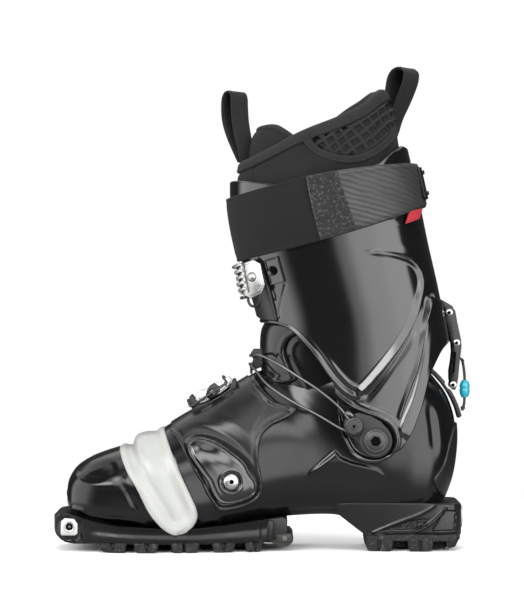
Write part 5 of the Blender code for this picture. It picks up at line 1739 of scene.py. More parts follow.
def build_liner():
    rows, wall = 110, 7.5
    angles = both_sides(liner_skin.even_angles(8.0, 180))
    sections, angles = trim(liner_skin, angles, LINER_LOW, RIM_INNER, rows)
    outer_sections, _ = trim(liner_skin, angles[0], LINER_LOW, RIM_OUTER, rows)
    weight = smoothstep(np.sin(angles), -0.15, 0.35)
    sections = sections * (1 - weight) + outer_sections * weight
    points, normals = surface(liner_skin, sections, angles, smooth=6)
    # a padded swell under the rim, a stitched groove, and slight folds
    to_rim = np.linalg.norm(points - points[-1:], axis=2)
    lift = 1.0 * bell(to_rim - 22, 14) - 1.1 * bell(to_rim - 5.6, 1.2)
    lift = lift + 0.25 * np.sin(angles * 9 + to_rim * 0.12) * bell(to_rim - 20, 18)
    # an upright seam near the front
    view = points.reshape(-1, 3)[:, [0, 2]]
    seam = [(-1.5, 262), (-2.2, 288), (-3, 296)]
    lift = lift - rib(view, seam, width=0.8, height=0.8, taper=0.02).reshape(lift.shape)
    made = walled(
        "liner_shaft_padded", points + normals * lift[..., None], normals, wall,
        ("fabric", "lining"), inner_rows=60, roll=8,
        body="cuff", slot="fabric", replaces="liner_shaft",
    )
    # the lining starts where the rim's roll is half way over
    cols = points.shape[1]
    index = np.zeros(len(made.data.polygons), np.int32)
    index[(rows + 4) * cols :] = 1
    made.data.polygons.foreach_set("material_index", index)
    build_rim_binding(points, normals[-1], to_rim, wall)


def build_rim_binding(points, normals, to_rim, wall):
    """Tape over the liner's rim: down the outside, over the top and down the inside."""
    cols = points.shape[1]
    up = unit(points[-1] - points[-3])
    rows = []
    for down in (4.8, 4.3, 3.2, 2.0, 0.8, 0.0):
        line = [point_at(down, to_rim[::-1, j], points[::-1, j]) for j in range(cols)]
        lift = 0.15 if down == 4.8 else (1.0 if down > 1 else 0.95)
        rows.append(np.array(line) + normals * lift)
    inner = points[-1] - normals * wall
    for k in range(1, 8):
        turn = math.pi * k / 8
        arc = normals * 4.5 * math.cos(turn) + up * 4.7 * math.sin(turn)
        rows.append((points[-1] + inner) / 2 + arc)
    for down in (0.5, 3.0, 4.4, 4.8):
        rows.append(inner - up * down - normals * (0.8 if down < 4.8 else 0.0))
    rows = np.array(rows)
    piece(
        "liner_rim_binding", rows, grid(rows.shape[0], cols, True), "binding",
        uv=grid_uv(rows), body="cuff", slot="fabric",
    )
    stitches("liner_rim_stitch", rows[2], normals, "cuff", radius=0.28, lift=0.05)


LATTICE_LOW = [
    (38, 309.5), (41.5, 303.5), (48.1, 298.2), (56.6, 295), (66, 293.6), (76, 294.8), (85, 299),
    (93, 305.4), (99, 312.4), (103, 319),
]
LATTICE_TOP = [(103, 325), (99, 333.5), (92, 331.5), (79.9, 322.4), (61.4, 313.6), (45, 308.4)]


def lattice(points):
    """Two crossing families of wavy ribs: 0 mid gap to 1 on the rib, for each."""
    x, z = points[:, 0], points[:, 2]
    rising = x * 0.80 + z * 0.60
    falling = -x * 0.62 + z * 0.79
    wave = 0.8 * np.sin(x * 0.21) + 0.6 * np.sin(z * 0.3)
    first = np.abs(((rising + wave) / 7.4) % 1 - 0.5) * 2
    return first, np.abs(((falling - wave * 0.7) / 6.6) % 1 - 0.5) * 2


def build_lattice():
    def shape(base, depth, angles):
        first, second = lattice(base)
        raised = np.maximum(smoothstep(first, 0.50, 0.74), smoothstep(second, 0.50, 0.74))
        return (-1.9 + 2.4 * raised) * smoothstep(depth, 0.4, 1.8)

    made = side_patch(
        "liner_lattice_panel", liner_skin, LATTICE_LOW + LATTICE_TOP, 1.6, ("binding", "hole"),
        "cuff", step=0.55, edge=0.8, shape=shape, slot="fabric",
    )
    # painted shade: faces in the gaps between the ribs get the near-black finish, for the shade seen
    # through them
    first, second = lattice(np.array([face.center for face in made.data.polygons]) / MM)
    gap_shade = ((first < 0.56) & (second < 0.56)).astype(np.int32)
    made.data.polygons.foreach_set("material_index", gap_shade)
    # a stitched band along the lower edge
    line = smooth_line(LATTICE_LOW, 1.0)
    tangent = unit(np.gradient(line, axis=0))
    normal = np.stack([tangent[:, 1], -tangent[:, 0]], 1)
    band = np.concatenate([line + normal * -0.4, (line + normal * 6.0)[::-1]])
    side_patch(
        "liner_lattice_band", liner_skin, band[::2], 1.7, "binding", "cuff",
        step=1.2, edge=0.7, smooth=False, slot="fabric",
    )
    for k, offset in enumerate((1.5, 4.3)):
        x, z = (line + normal * offset).T
        place = liner_skin.locate(x, z)
        path, normals = liner_skin.point(*place, 1.7), liner_skin.normal(*place)
        name = f"liner_band_stitch_{k}"
        stitches(name, path, normals, "cuff", pitch=2.4, length=1.6, lift=0.05)


def subdivide(item):
    modifier = item.modifiers.new("round", "SUBSURF")
    modifier.levels = modifier.render_levels = 1
    apply(item)


def swell(item):
    """Swells a closed piece with cloth pressure, moving no point by more than a limit."""
    voxel, limit, frames = 3.6 * MM, 1.6 * MM, 20
    remesh = item.modifiers.new("remesh", "REMESH")
    remesh.mode = "VOXEL"
    remesh.voxel_size = voxel
    apply(item)
    before = np.array([vertex.co for vertex in item.data.vertices])
    cloth = item.modifiers.new("cloth", "CLOTH")
    settings = cloth.settings
    settings.quality = 4
    settings.mass = 0.15
    settings.tension_stiffness = 12
    settings.compression_stiffness = 12
    settings.bending_stiffness = 1.2
    settings.use_pressure = True
    settings.uniform_pressure_force = 3.0
    settings.effector_weights.gravity = 0.0
    cloth.collision_settings.use_collision = False
    cloth.point_cache.frame_start, cloth.point_cache.frame_end = 1, frames
    scene = bpy.context.scene
    for k in range(1, frames + 1):
        scene.frame_set(k)
    apply(item)
    scene.frame_set(1)
    move = np.array([vertex.co for vertex in item.data.vertices]) - before
    size = np.linalg.norm(move, axis=1, keepdims=True)
    held = before + move * np.minimum(1, limit / np.maximum(size, 1e-9))
    item.data.vertices.foreach_set("co", held.astype(np.float32).ravel())
    item.data.update()
    subdivide(item)


def project_uv(item):
    """A flat UV map in millimetres, seen from the side. The weave needs no seams."""
    mesh = item.data
    layer = mesh.uv_layers.get("flat") or mesh.uv_layers.new(name="flat")
    index = np.zeros(len(mesh.loops), np.int32)
    mesh.loops.foreach_get("vertex_index", index)
    points = np.array([vertex.co for vertex in mesh.vertices]) / MM
    layer.data.foreach_set("uv", points[index][:, [0, 2]].astype(np.float32).ravel())


def build_tongue_pad():
    rows, cols = 64, 44
    top, spread = 5.9, 1.30
    sections, angles = np.meshgrid(
        np.linspace(0, top, rows), np.linspace(math.pi - spread, math.pi + spread, cols),
        indexing="ij",
    )
    # the top edge sags towards its corners
    corner = np.abs((angles - math.pi) / spread) ** 3.0
    sections = sections * (1 - 0.46 * corner * (sections / top) ** 2)
    points, normals = surface(Tube(LINER_TONGUE), sections, angles, closed=False)
    up, across = np.linspace(-1, 1, rows)[:, None], np.linspace(-1, 1, cols)[None]
    thick = 6.0 * np.sqrt(np.clip(1 - np.abs(up) ** 14, 0, 1))
    thick = (thick * np.sqrt(np.clip(1 - np.abs(across) ** 8, 0, 1)) + 0.01)[..., None]
    outer = points + normals * (thick * 0.15)
    inner = points - normals * (thick * 0.85)
    count = rows * cols
    index = np.arange(count).reshape(rows, cols)
    loop = np.concatenate([index[0], index[1:, -1], index[-1, -2::-1], index[-2:0:-1, 0]])
    rim = [(a, b, b + count, a + count) for a, b in zip(loop, np.roll(loop, -1))]
    faces = [*grid(rows, cols), *(grid(rows, cols)[:, ::-1] + count), *rim]
    both = np.concatenate([outer.reshape(-1, 3), inner.reshape(-1, 3)])
    made = piece("liner_tongue_pad", both, faces, "fabric", slot="fabric")
    swell(made)
    shade(made.data)
    # remeshing may drop the material
    if not made.data.materials:
        made.data.materials.append(FINISHES["fabric"])
    project_uv(made)
    tell(made, "cuff", replaces="liner_tongue")
    middle = (outer + inner) / 2
    upper = middle[rows // 2 : -1]
    edge = np.concatenate([upper[:, 1], middle[-2, 1:-1], upper[:, -2][::-1]])
    wire(
        "liner_tongue_binding", edge[::3], 2.5, "binding", "cuff", sides=12, step=1.5,
        slot="fabric",
    )


def pull_loop(name, path, centre_x, replaces):
    """Folded webbing, turned towards the inner side so that both legs show."""
    turn, half, thick = 0.58, 11.4, 1.5
    wide = unit(np.array([math.sin(turn), math.cos(turn), 0.0]))
    across = unit(np.array([math.cos(turn), -math.sin(turn), 0.0]))
    middle = np.array([
        across * (x - centre_x) / across[0] + np.array([centre_x, 0.0, z])
        for x, z in smooth_line(path, 0.8)
    ])
    normals = unit(np.cross(unit(np.gradient(middle, axis=0)), wide))
    turns = 2 * math.pi * (np.arange(36) + 0.5) / 36
    cosine, sine = np.cos(turns), np.sin(turns)
    flat = np.sign(cosine) * np.abs(cosine) ** 0.28
    high = np.sign(sine) * np.abs(sine) ** 0.5
    edge = 0.30 * bell(np.abs(flat) - 0.86, 0.05) * np.abs(high)
    rows = middle[:, None] + wide * (flat * half)[None, :, None]
    rows = rows + normals[:, None] * (high * (thick / 2) * (1 - 0.6 * edge))[None, :, None]
    piece(
        name, rows, capped(*rows.shape[:2]), "webbing", uv=grid_uv(rows),
        body="cuff", slot="webbing", replaces=replaces,
    )
    line, normal = middle[4:-4], normals[4:-4]
    for k, offset in enumerate((-0.82, 0.82)):
        for tag, face in (("a", -1), ("b", 1)):
            path = line + wide * half * offset + normal * face * thick / 2
            stitches(
                f"{name}_stitch_{k}{tag}", path, normal * face, "cuff",
                pitch=2.2, length=1.4, radius=0.22, lift=0.02,
            )


FRONT_LOOP = [
    (-6.2, 290), (-8, 299), (-10.6, 310), (-12.6, 322), (-13.4, 333), (-13.8, 341),
    (-15.2, 344.4), (-17.8, 344.4), (-20, 341), (-20.8, 332), (-19.8, 321), (-16.6, 310),
    (-12, 299), (-8.4, 291),
]
REAR_LOOP = [
    (101.5, 314), (104.5, 324), (109, 334), (113.2, 344), (116, 353), (116, 359.2),
    (112.6, 361.8), (108.2, 360.6), (104.8, 355.4), (103, 346), (101.4, 335), (100.2, 324),
    (100, 315),
]


def build_pull_loops():
    pull_loop("front_pull_loop", FRONT_LOOP, -10.0, "front_loop")
    pull_loop("rear_pull_loop", REAR_LOOP, 104.0, "rear_loop")


# ---------------------------------------------------------------- buckles
def mirrored(outline):
    """An outline's points at both ends of the along axis, going round."""
    return [(x, -y) for x, y in outline] + [(x, y) for x, y in reversed(outline)]


def buckle(
    prefix, tube, centre, along, angles, half, bail_angles, bail_lift, bodies,
    rise=0.0, rod=1.25, rod_finish="steel",
):
    """A lever bent round a tube between two angles, on a base plate, with a wire bail.

    Half is half the buckle's size along; bodies are those of the base, lever and bail.
    """
    centre, along = np.asarray(centre, float), unit(along)
    body, lever_body, bail_body = bodies
    turn = angles[1] - angles[0]
    lever = half - 3.2  # half the lever's size along
    curved_plate(
        f"{prefix}_base_plate", tube, centre, along,
        (angles[0] + 0.26 * turn, angles[0] + 0.70 * turn),
        mirrored([(0, half - 1.5), (0.06, half), (0.94, half), (1, half - 1.5)]),
        0.6, 2.6, "black", body, bevel=0.6, slot="black_plastic", replaces=f"{prefix}_base",
    )
    outline = mirrored([
        (0.0, lever * 0.80), (0.03, lever), (0.30, lever), (0.52, lever * 0.86),
        (0.80, lever * 0.66), (0.95, lever * 0.60), (1.0, lever * 0.38),
    ])

    def on_lever(name, outline, low, high, finish, bevel, **told):
        curved_plate(
            f"{prefix}_{name}", tube, centre, along, angles, outline, low + rise, high + rise,
            finish, lever_body, bevel, **told,
        )

    on_lever("lever_plate", outline, 4.5, 6.4, "alu", 0.7, slot="alu", replaces=f"{prefix}_lever")
    rail = [
        (0.02, lever - 2.4), (0.30, lever - 2.4), (0.55, lever * 0.82 - 2.2),
        (0.86, lever * 0.62 - 1.8), (0.86, lever * 0.62 - 0.4), (0.55, lever * 0.82 - 0.2),
        (0.30, lever - 0.5), (0.02, lever - 0.5),
    ]
    for k, side in enumerate((-1, 1)):
        on_lever(f"lever_rail_{k}", [(x, side * y) for x, y in rail], 6.2, 7.6, "alu", 0.5)
    pad = mirrored([(0.60, lever * 0.42), (0.93, lever * 0.32)])
    on_lever("lever_pad", pad, 6.2, 7.2, "black", 0.5)
    points, normals = slice_at(tube, centre, along, np.linspace(*bail_angles, 8))
    lifts = np.interp(np.linspace(0, 1, 8), [0, 0.25, 0.8, 1], bail_lift)
    leg = along * (half - 1.0)
    path = [point + normal * lift + leg for point, normal, lift in zip(points, normals, lifts)]
    path += [path[-1] + unit(path[-1] - path[-2]) * 1.2 - along * 1.2]
    back = [point - 2 * along * np.dot(point - centre, along) for point in reversed(path)]
    wire(
        f"{prefix}_bail_wire", np.concatenate([smooth_line(path, 1.2), smooth_line(back, 1.2)]),
        rod, rod_finish, bail_body, smooth=False, wide=tuple(along),
        slot="steel", replaces=f"{prefix}_bail",
    )
    # hinge pin through the lever's eyes
    pin = path[0] - along * np.dot(path[0] - centre, along)
    reach = along * (half - 0.4)
    wire(f"{prefix}_eye_pin", [pin - reach, pin + reach], 1.7, "steel", lever_body, smooth=False)


def build_buckles():
    buckle(
        "instep_buckle", lower_skin, centre=(-33.5, 0, 112), along=(0.829, 0, 0.559),
        angles=(0.42, 1.42), half=17.0, bail_angles=(0.62, -0.33),
        bail_lift=(5.8, 9.2, 9.8, 8.0), bodies=("shell", "instep_lever", "instep_bail"),
        rod=1.0, rod_finish="bolt",
    )
    buckle(
        "cuff_buckle", cuff_skin, centre=(-4, 0, 203), along=(-0.25, 0, 0.968),
        angles=(2.55, 1.75), half=13.0, bail_angles=(2.38, -2.99 + 2 * math.pi),
        bail_lift=(5.8, 9.0, 8.0, 5.8), bodies=("cuff", "cuff_lever", "cuff_bail"),
    )
    buckle(
        "ankle_buckle", lower_skin, centre=(16, 0, 112), along=(0.60, 0, 0.80),
        angles=(1.00, 1.40), half=10.0, bail_angles=(1.10, 0.62),
        bail_lift=(11.0, 12.0, 10.0, 8.0), bodies=("shell", "ankle_lever", "ankle_bail"),
        rise=3.6,
    )


CATCH_CRADLE = [
    (-51.1, 114.3), (-49.2, 116), (-47.2, 113.6), (-44, 108.4), (-38.5, 109.6), (-26.6, 116.2),
    (-20.7, 120.4), (-18.8, 127), (-16.5, 128.2), (-15.2, 125.1), (-15.7, 119.9), (-20, 115.4),
    (-31.8, 107.4), (-46.4, 101), (-48.4, 103), (-50.2, 109.5),
]
CATCH_HOOK = [
    (-46.8, 112.1), (-46.2, 115.8), (-42.6, 118.8), (-37.7, 120), (-35.2, 122.6),
    (-31.1, 124.5), (-26.3, 125.8), (-23.6, 128.6), (-20.8, 129.4), (-19.2, 127.3),
    (-21, 121.7), (-26.6, 117.4), (-32.6, 113.6), (-38.5, 110.4), (-43.7, 108.8),
]
CATCH_PAWL = [
    (-38.6, 114.4), (-38, 118.6), (-36, 122.2), (-32, 124.6), (-28.6, 122.6), (-27.8, 118.6),
    (-30.6, 114.6), (-34.8, 112.4),
]
CATCH_NOTCH = [
    (-36.6, 115.6), (-36.2, 118.2), (-34.4, 120.4), (-31.8, 121.6), (-30, 120),
    (-29.8, 117.6), (-31.8, 115.2), (-34.6, 114.2),
]


def build_instep_catch():
    """A black cradle with upturned ends, holding a cast hook."""
    middle = np.mean(CATCH_HOOK, 0)
    face = middle + (np.array(CATCH_HOOK) - middle) * 0.80
    for tag, outline, low, high, finish, bevel, told in (
        ("cradle", CATCH_CRADLE, -6, 19, "black", 0.9,
         {"slot": "black_plastic", "replaces": "instep_catch"}),
        ("hook", CATCH_HOOK, -1, 16.6, "silver", 1.0, {"slot": "alu"}),
        ("hook_face", face, 15, 17.6, "silver", 0.9, {}),
        ("pawl", CATCH_PAWL, 2, 18.8, "dark_steel", 0.7, {}),
        ("notch", CATCH_NOTCH, 17.6, 19.4, "black", 0.4, {}),
    ):
        name = f"instep_catch_{tag}"
        side_prism(name, outline, low, high, finish, "shell", bevel, side=-1, **told)
    for tag, centre, radius in (
        ("pin", (-33.2, -19.3, 117.6), 1.7), ("rivet", (-22.6, -17.4, 123.6), 1.5)
    ):
        profile = [(radius, -1), (radius, 0.5), (radius - 0.4, 0.9), (0.01, 1)]
        lathe(f"instep_catch_{tag}", centre, (0, -1, 0), profile, "steel", "shell", 32)


CATCH_PLATE = [
    (-4.4, 13), (3.8, 13.6), (8.8, 9.6), (9.2, -6.6), (5.4, -12.6), (-3.6, -14.4), (-8, -11),
    (-8.4, 8.4),
]
CATCH_CARRIER = [
    (-8.8, 216), (4, 215), (8.6, 199), (11.6, 188), (15.4, 171.4), (4.6, 173), (1.6, 175),
    (-1, 184), (-7, 190),
]
POSITION_PLATE = [(6, 217.4), (15.8, 219.8), (21.2, 200.6), (11.4, 198)]
# places on the upper catch's loop: towards the heel, up, out
CATCH_LOOP = [
    (-6.2, -11, -0.6), (-6.8, -16.4, -1), (-5, -19.6, -1.2), (0.4, -20.2, -1.2),
    (2.6, -17, -1), (2.8, -10, -0.6),
]


def build_cuff_catch():
    """An eight-sided plate with a domed rivet, a toothed rack in front, and a wire loop."""
    out = unit(np.array([-0.40, -0.90, 0.06]))
    up = unit(np.array([-0.24, 0.0, 0.97]))
    up = unit(up - out * up.dot(out))

    def towards_heel(out):
        side = np.cross(up, out)
        return -side if side[0] < 0 else side

    side = towards_heel(out)
    skin_y = cuff_skin.point(*cuff_skin.locate(2.0, 205.0), 3.0)[0][1]
    centre = np.array([-3.4, skin_y - 3.4, 202.8])
    prism(
        "cuff_catch_plate", centre, side, up, out, CATCH_PLATE, -0.9, 1.3, "alu", "cuff", 0.55,
        slot="alu", replaces="cuff_catch",
    )
    inset = [(x * 0.86, y * 0.88) for x, y in CATCH_PLATE]
    prism("cuff_catch_inset", centre, side, up, out, inset, 1.0, 1.75, "alu", "cuff", 0.35)
    dome = [(3.6, 0), (3.6, 0.5), (3.2, 1.4), (2.4, 2.1), (1.2, 2.5), (0.01, 2.6)]
    lathe(
        "cuff_catch_dome", centre + out * 1.6 + side * 0.6 + up * 1.2, out, dome,
        "alu", "cuff", replaces="cuff_catch_rivet",
    )
    # rack: a strip with teeth, wrapping round the front
    rack_out = unit(np.array([-0.86, -0.50, 0.10]))
    rack_side = towards_heel(rack_out)
    rack = centre + np.array([-8.4, 2.4, 0.6])
    axes = rack_side, up, rack_out
    for k, (height, width) in enumerate(((9.2, 2.4), (4.6, 2.6), (0, 2.6), (-4.6, 2.6), (-9.2, 2.2))):
        tooth = [(-4.4, -width / 2), (4.6, -width / 2), (4.6, width / 2), (-4.4, width / 2)]
        prism(
            f"cuff_catch_tooth_{k}", rack + up * height + rack_out * 0.6, *axes, tooth,
            -1.4, 1.6 + 0.5 * (k % 2), "alu", "cuff", 0.5,
        )
    rail = [(-4.8, -11.4), (-3.2, -12), (-3.2, 12), (-4.8, 11.4)]
    for tag, place in (("front", rack), ("back", rack + rack_side * 7.6)):
        prism(f"cuff_catch_rail_{tag}", place, *axes, rail, -1.6, 1.0, "alu", "cuff", 0.4)
    loop = [centre + side * x + up * y + out * z for x, y, z in CATCH_LOOP]
    wire("cuff_catch_loop", loop, 1.0, "dark_steel", "cuff")


def build_cuff_plates():
    """The catch's carrier, running down to the cuff's edge, and a square plate with a hole."""
    front = np.array(CUFF)[:, :2]
    carrier = [
        (max(x, float(np.interp(z, front[:, 1], front[:, 0])) + 0.8), z) for x, z in CATCH_CARRIER
    ]
    side_patch(
        "cuff_catch_carrier", cuff_skin, carrier, 2.4, "black", "cuff", step=1.2, edge=0.9,
        smooth=False, slot="black_plastic", replaces="cuff_catch_base",
    )

    def shape(base, depth, angles):
        radius = np.linalg.norm(base[:, [0, 2]] - np.array(POSITION_HOLE), axis=1)
        return -0.5 * smoothstep(depth, 1.0, 1.6) - 1.9 * (1 - smoothstep(radius, 2.9, 3.4))

    side_patch(
        "cuff_position_plate", cuff_skin, POSITION_PLATE, 2.3, "cuff", "cuff", step=0.6,
        edge=0.5, shape=shape, smooth=False, slot="plate", replaces="position_plate",
    )
    place = cuff_skin.locate(*POSITION_HOLE)
    # painted shade: a thin near-black disc for the shade inside the hole
    disc(
        "cuff_position_hole", cuff_skin.point(*place)[0], cuff_skin.normal(*place)[0],
        radius=3.0, low=-0.2, top=0.25, finish="hole", body="cuff", segments=40,
    )


# ---------------------------------------------------------------- soles
def sole_loft(
    name, stations, finish, body=None, step=1.0, relief=None, low_round=1.3, top_round=0.9,
    side_rows=22, slot="rubber", **told,
):
    """A sole slab through stations: x, low z, high z, half width low and high, rise at the rim."""
    stations = np.array(stations, float)
    x = np.unique(np.concatenate([
        np.arange(stations[0, 0], stations[-1, 0], step), stations[:, 0]
    ]))
    low, high, low_width, top_width, rise = (
        np.interp(x, stations[:, 0], stations[:, k]) for k in range(1, 6)
    )
    top = high + rise
    quarter = np.linspace(0, math.pi / 2, 5)
    # points from the middle of the underside round to the middle of the top: y, z, relief weight
    ring = []
    for part in np.linspace(0, 1, 5)[:-1]:
        ring.append(((low_width - low_round) * part, low, 0.0))
    for turn in quarter[:-1]:
        y = low_width - low_round + low_round * math.sin(turn)
        ring.append((y, low + low_round - low_round * math.cos(turn), 0.2))
    for part in np.linspace(0, 1, side_rows):
        y = low_width + (top_width - low_width) * part
        ring.append((y, low + low_round + (top - top_round - low - low_round) * part, 1.0))
    for turn in quarter[1:]:
        y = top_width - top_round + top_round * math.cos(turn)
        ring.append((y, top - top_round + top_round * math.sin(turn), 0.4))
    for part in (0.92, 0.78, 0.6, 0.45, 0.2, 0.0):
        lift = np.interp(part, [0.45, 0.78, 1.0], [0.0, 0.35, 0.95])
        ring.append((top_width * part, high + rise * lift, 0.0))
    y = np.stack([row[0] for row in ring], 1)
    z = np.stack([row[1] for row in ring], 1)
    if relief is not None:
        weight = np.array([row[2] for row in ring])
        grid_x = np.repeat(x[:, None], y.shape[1], 1)
        y = y + relief(grid_x, z, low[:, None], top[:, None]) * weight[None]
    y = both_sides(y)
    z = np.concatenate([z, z[:, -2:0:-1]], 1)
    rows = np.stack([np.repeat(x[:, None], y.shape[1], 1), y, z], -1)
    faces = capped(*rows.shape[:2])
    piece(name, rows, faces, finish, sharp=38, body=body, slot=slot, **told)


# Stations: x, low z, high z, half width low, half width high, rise at the rim.
OUTSOLE = [
    (-152.1, 15.5, 26.2, 20.5, 21, 0), (-151.3, 13.4, 27.2, 24.6, 25.2, 0),
    (-150, 11.6, 27.8, 28.2, 28.8, 0.1), (-147, 9, 28, 32, 32.6, 0.3),
    (-143, 6.8, 27.9, 34.2, 34.9, 0.5), (-136.9, 5.6, 26.4, 35.4, 36.4, 0.7),
    (-128, 5.8, 23.6, 38, 40, 1.2), (-118.6, 6.4, 20.9, 42, 44, 1.6),
    (-103.8, 6.2, 18.3, 45.4, 47.4, 1.8), (-91, 6, 17.2, 46.6, 48.6, 1.8),
    (-73, 5.9, 16.4, 47, 49, 1.8), (-55, 5.9, 15.9, 45.8, 47.8, 1.8),
    (-43, 5.9, 16.2, 45, 47, 1.8), (-25, 6, 18.4, 42, 44, 1.8),
    (-9, 6.2, 20.7, 38.8, 40.8, 1.6), (3.6, 6.6, 22.4, 36.4, 38.4, 1.3),
    (7.4, 7.2, 23, 35.6, 37.4, 1.2),
]
HEEL_BLOCK = [
    (57, 29.4, 35.4, 28.6, 30.6, 0), (60, 27.6, 35.6, 30.4, 32.2, 0),
    (63, 25.2, 35.8, 31.4, 33.4, 0), (70, 19.8, 36, 31.8, 34.8, 0),
    (76, 15.2, 36, 31.8, 35.2, 0), (81.4, 11.4, 36, 31.6, 35.4, 0),
    (90, 11.2, 36, 32.2, 35.4, 0), (100, 11.2, 36, 33, 35.4, 0),
    (112, 11.2, 36, 34, 35.4, 0), (124, 11.2, 35.8, 35, 35.4, 0),
    (133, 11.2, 35.5, 35.2, 35, 0), (137.6, 11.2, 35.5, 34.8, 34.4, 0),
    (140.4, 11.2, 35.4, 34.2, 34, 0), (147, 11.2, 35.4, 32, 32, 0),
    (150.4, 11.2, 35.4, 29.4, 29.4, 0), (152.2, 11.6, 35, 26.4, 26.4, 0),
    (152.9, 13, 34, 23.6, 23.6, 0),
]
HEEL_TREAD = [
    (81.6, 7.4, 12.4, 30.2, 30.4, 0), (101, 7.2, 12.4, 32.9, 33, 0),
    (112, 7.2, 12.4, 33.9, 34, 0), (131, 7.2, 12.4, 34.9, 35, 0),
    (141, 7.2, 12.4, 33.9, 34, 0), (147.6, 7.4, 12.4, 31.5, 31.8, 0),
    (151.6, 8.4, 12.4, 27.2, 27.8, 0),
]
FOOTBED = [
    (-104, 34, 35.8, 20, 21, 0.5), (-98, 32.8, 34.6, 24.6, 25.6, 0.5),
    (-92, 32, 33.8, 27, 28, 0.5), (-70, 30.4, 32.2, 30, 31, 0.5),
    (-46, 31.6, 33.4, 29, 30, 0.5), (-12, 37.2, 39, 22, 23, 0.6), (16, 42, 43.8, 18, 19, 0.8),
    (40, 43.4, 45.2, 17, 18, 0.8), (64, 43, 44.8, 17, 18, 0.8), (88, 38.8, 40.6, 17, 18, 0.8),
    (106, 39, 40.8, 15, 16, 0.6), (112, 41, 42.6, 13.4, 14.4, 0.5),
    (116, 43.6, 45.2, 11, 12, 0.4),
]
TOE_POCKET = [(-149, 10.6), (-133.6, 8.2), (-132.6, 21.8), (-137, 25.2), (-147.6, 24.6)]


def outsole_relief(x, z, low, top):
    """Lip and scoop along the side, a seam behind the toe part, an end groove and a pocket."""
    height = (z - low) / np.maximum(top - low, 0.1)
    lip = 0.9 * bell(height - 0.93, 0.09)
    scoop = -1.5 * bell(height - 0.62, 0.22)
    toe = smoothstep(-x, 118, 128)
    lean = (z - 15) * 0.1
    seam = -1.2 * bell(x + 130.6 + lean, 0.8) * smoothstep(top - z, 0.6, 2.0)
    seam = seam + 0.5 * bell(x + 128.4 + lean, 1.2)
    end = -0.8 * bell(x - 2.6, 0.7)
    view = np.stack([x.ravel(), z.ravel()], 1)
    pocket = panel(view, TOE_POCKET, height=-1.3, edge=1.0).reshape(x.shape)
    return (lip + scoop) * (1 - toe) + toe * (lip * 0.5 + scoop * 0.2) + seam + end + pocket


def outsole_width(x):
    stations = [-120, -103.8, -91, -73, -55, -43, -25, -9, 3.6, 8]
    return float(np.interp(x, stations, [41.4, 45.3, 46.5, 46.9, 45.8, 44.9, 41.9, 38.7, 36.3, 35.5]))


def heel_width(x):
    stations = [81, 101, 112, 131, 141, 148, 152]
    return float(np.interp(x, stations, [30.4, 33.0, 34.0, 35.0, 34.0, 31.6, 27.4]))


def lug_pair(tag, x0, x1, slant0, slant1, notches, body, top, width, bottom=0.0):
    """Two tread blocks across the sole, with a groove down the middle and notched sides."""
    width0, width1 = width(x0), width(x1)
    half = [(x0 + 1.6, 4.0), (x0, 12.0), (x0, width0 - 1.2), (x0 + 1.2, width0)]
    for notch in notches:
        edge = width(notch)
        half += [
            (notch - 1.6, edge), (notch - 0.7, edge - 2.2), (notch + 0.7, edge - 2.2),
            (notch + 1.6, edge),
        ]
    half += [(x1 - 1.2, width1), (x1, width1 - 1.2), (x1, 12.0), (x1 + 1.6, 4.0)]
    middle_x, middle_y = (x0 + x1) / 2, (width0 + width1) / 4
    for k, side in enumerate((-1, 1)):
        levels = []
        for z, grow in ((top, 0.6), (bottom + 1.4, 0.0), (bottom + 0.5, -0.25), (bottom, -0.8)):
            part = (top - z) / (top - bottom)
            row = []
            for x, y in half:
                lean = slant0 * (x < middle_x) + slant1 * (x > middle_x)
                new_x = x + grow * (1 if x > middle_x else -1) + lean * part
                row.append((new_x, side * (y + grow * (0.6 if y > middle_y else -0.6)), z))
            levels.append(row)
        piece(
            f"{tag}_{k}", np.array(levels), capped(4, len(half)), "lug", sharp=30,
            body=body, slot="rubber",
        )


# name, x from and to, slant at each end, notches, body
TREAD_LUGS = [
    ("tread_lug_a", -117.6, -97.0, 3.0, -0.6, (-107.3,), "forefoot"),
    ("tread_lug_b", -90.8, -73.4, 0.7, -0.6, (-81.4,), "forefoot"),
    ("tread_lug_c", -63.4, -55.2, 0.6, 0.0, (), "forefoot"),
    ("tread_lug_d", -53.2, -43.0, 0.0, -0.6, (), "shell"),
    ("tread_lug_e", -33.0, -16.8, 0.6, -0.6, (-24.4,), "shell"),
    ("tread_lug_f", -8.6, 3.8, 0.6, -0.9, (-1.5,), "shell"),
]
# x from and to, top, body
CENTRE_LUGS = [
    (-98.6, -89.4, 7.0, "forefoot"), (-75.0, -61.8, 7.0, "forefoot"), (-44.6, -31.4, 7.0, "shell"),
    (-18.4, -7.4, 7.0, "shell"), (99.6, 114.4, 8.6, "shell"), (129.4, 142.8, 8.6, "shell"),
]


def build_outsole():
    sole_loft(
        "outsole_sidewall", OUTSOLE, "rubber", step=0.9, relief=outsole_relief,
        replaces="toe_outsole mid_outsole", blend=SOLE_BLEND,
    )
    for row in TREAD_LUGS:
        lug_pair(*row, top=6.9, width=outsole_width)
    for k, (x0, x1, top, body) in enumerate(CENTRE_LUGS):
        for j, y in enumerate((-20.0, 2.0)):
            outline = [
                (x0, y + 3), (x0 + 3, y), (x1 - 3, y), (x1, y + 3),
                (x1, y + 15), (x1 - 3, y + 18), (x0 + 3, y + 18), (x0, y + 15),
            ]
            prism(
                f"tread_centre_{k}_{j}", (0, 0, 0), (1, 0, 0), (0, 1, 0), (0, 0, 1),
                outline, 1.4, top, "lug", body, 0.7,
            )


TOE_INSERT = [
    (-5.9, -6.4), (4.4, -6.6), (6.2, -5), (6.4, 2.4), (3.8, 6.2), (-3.6, 6.6), (-6.3, 4),
    (-6.5, -5.2),
]


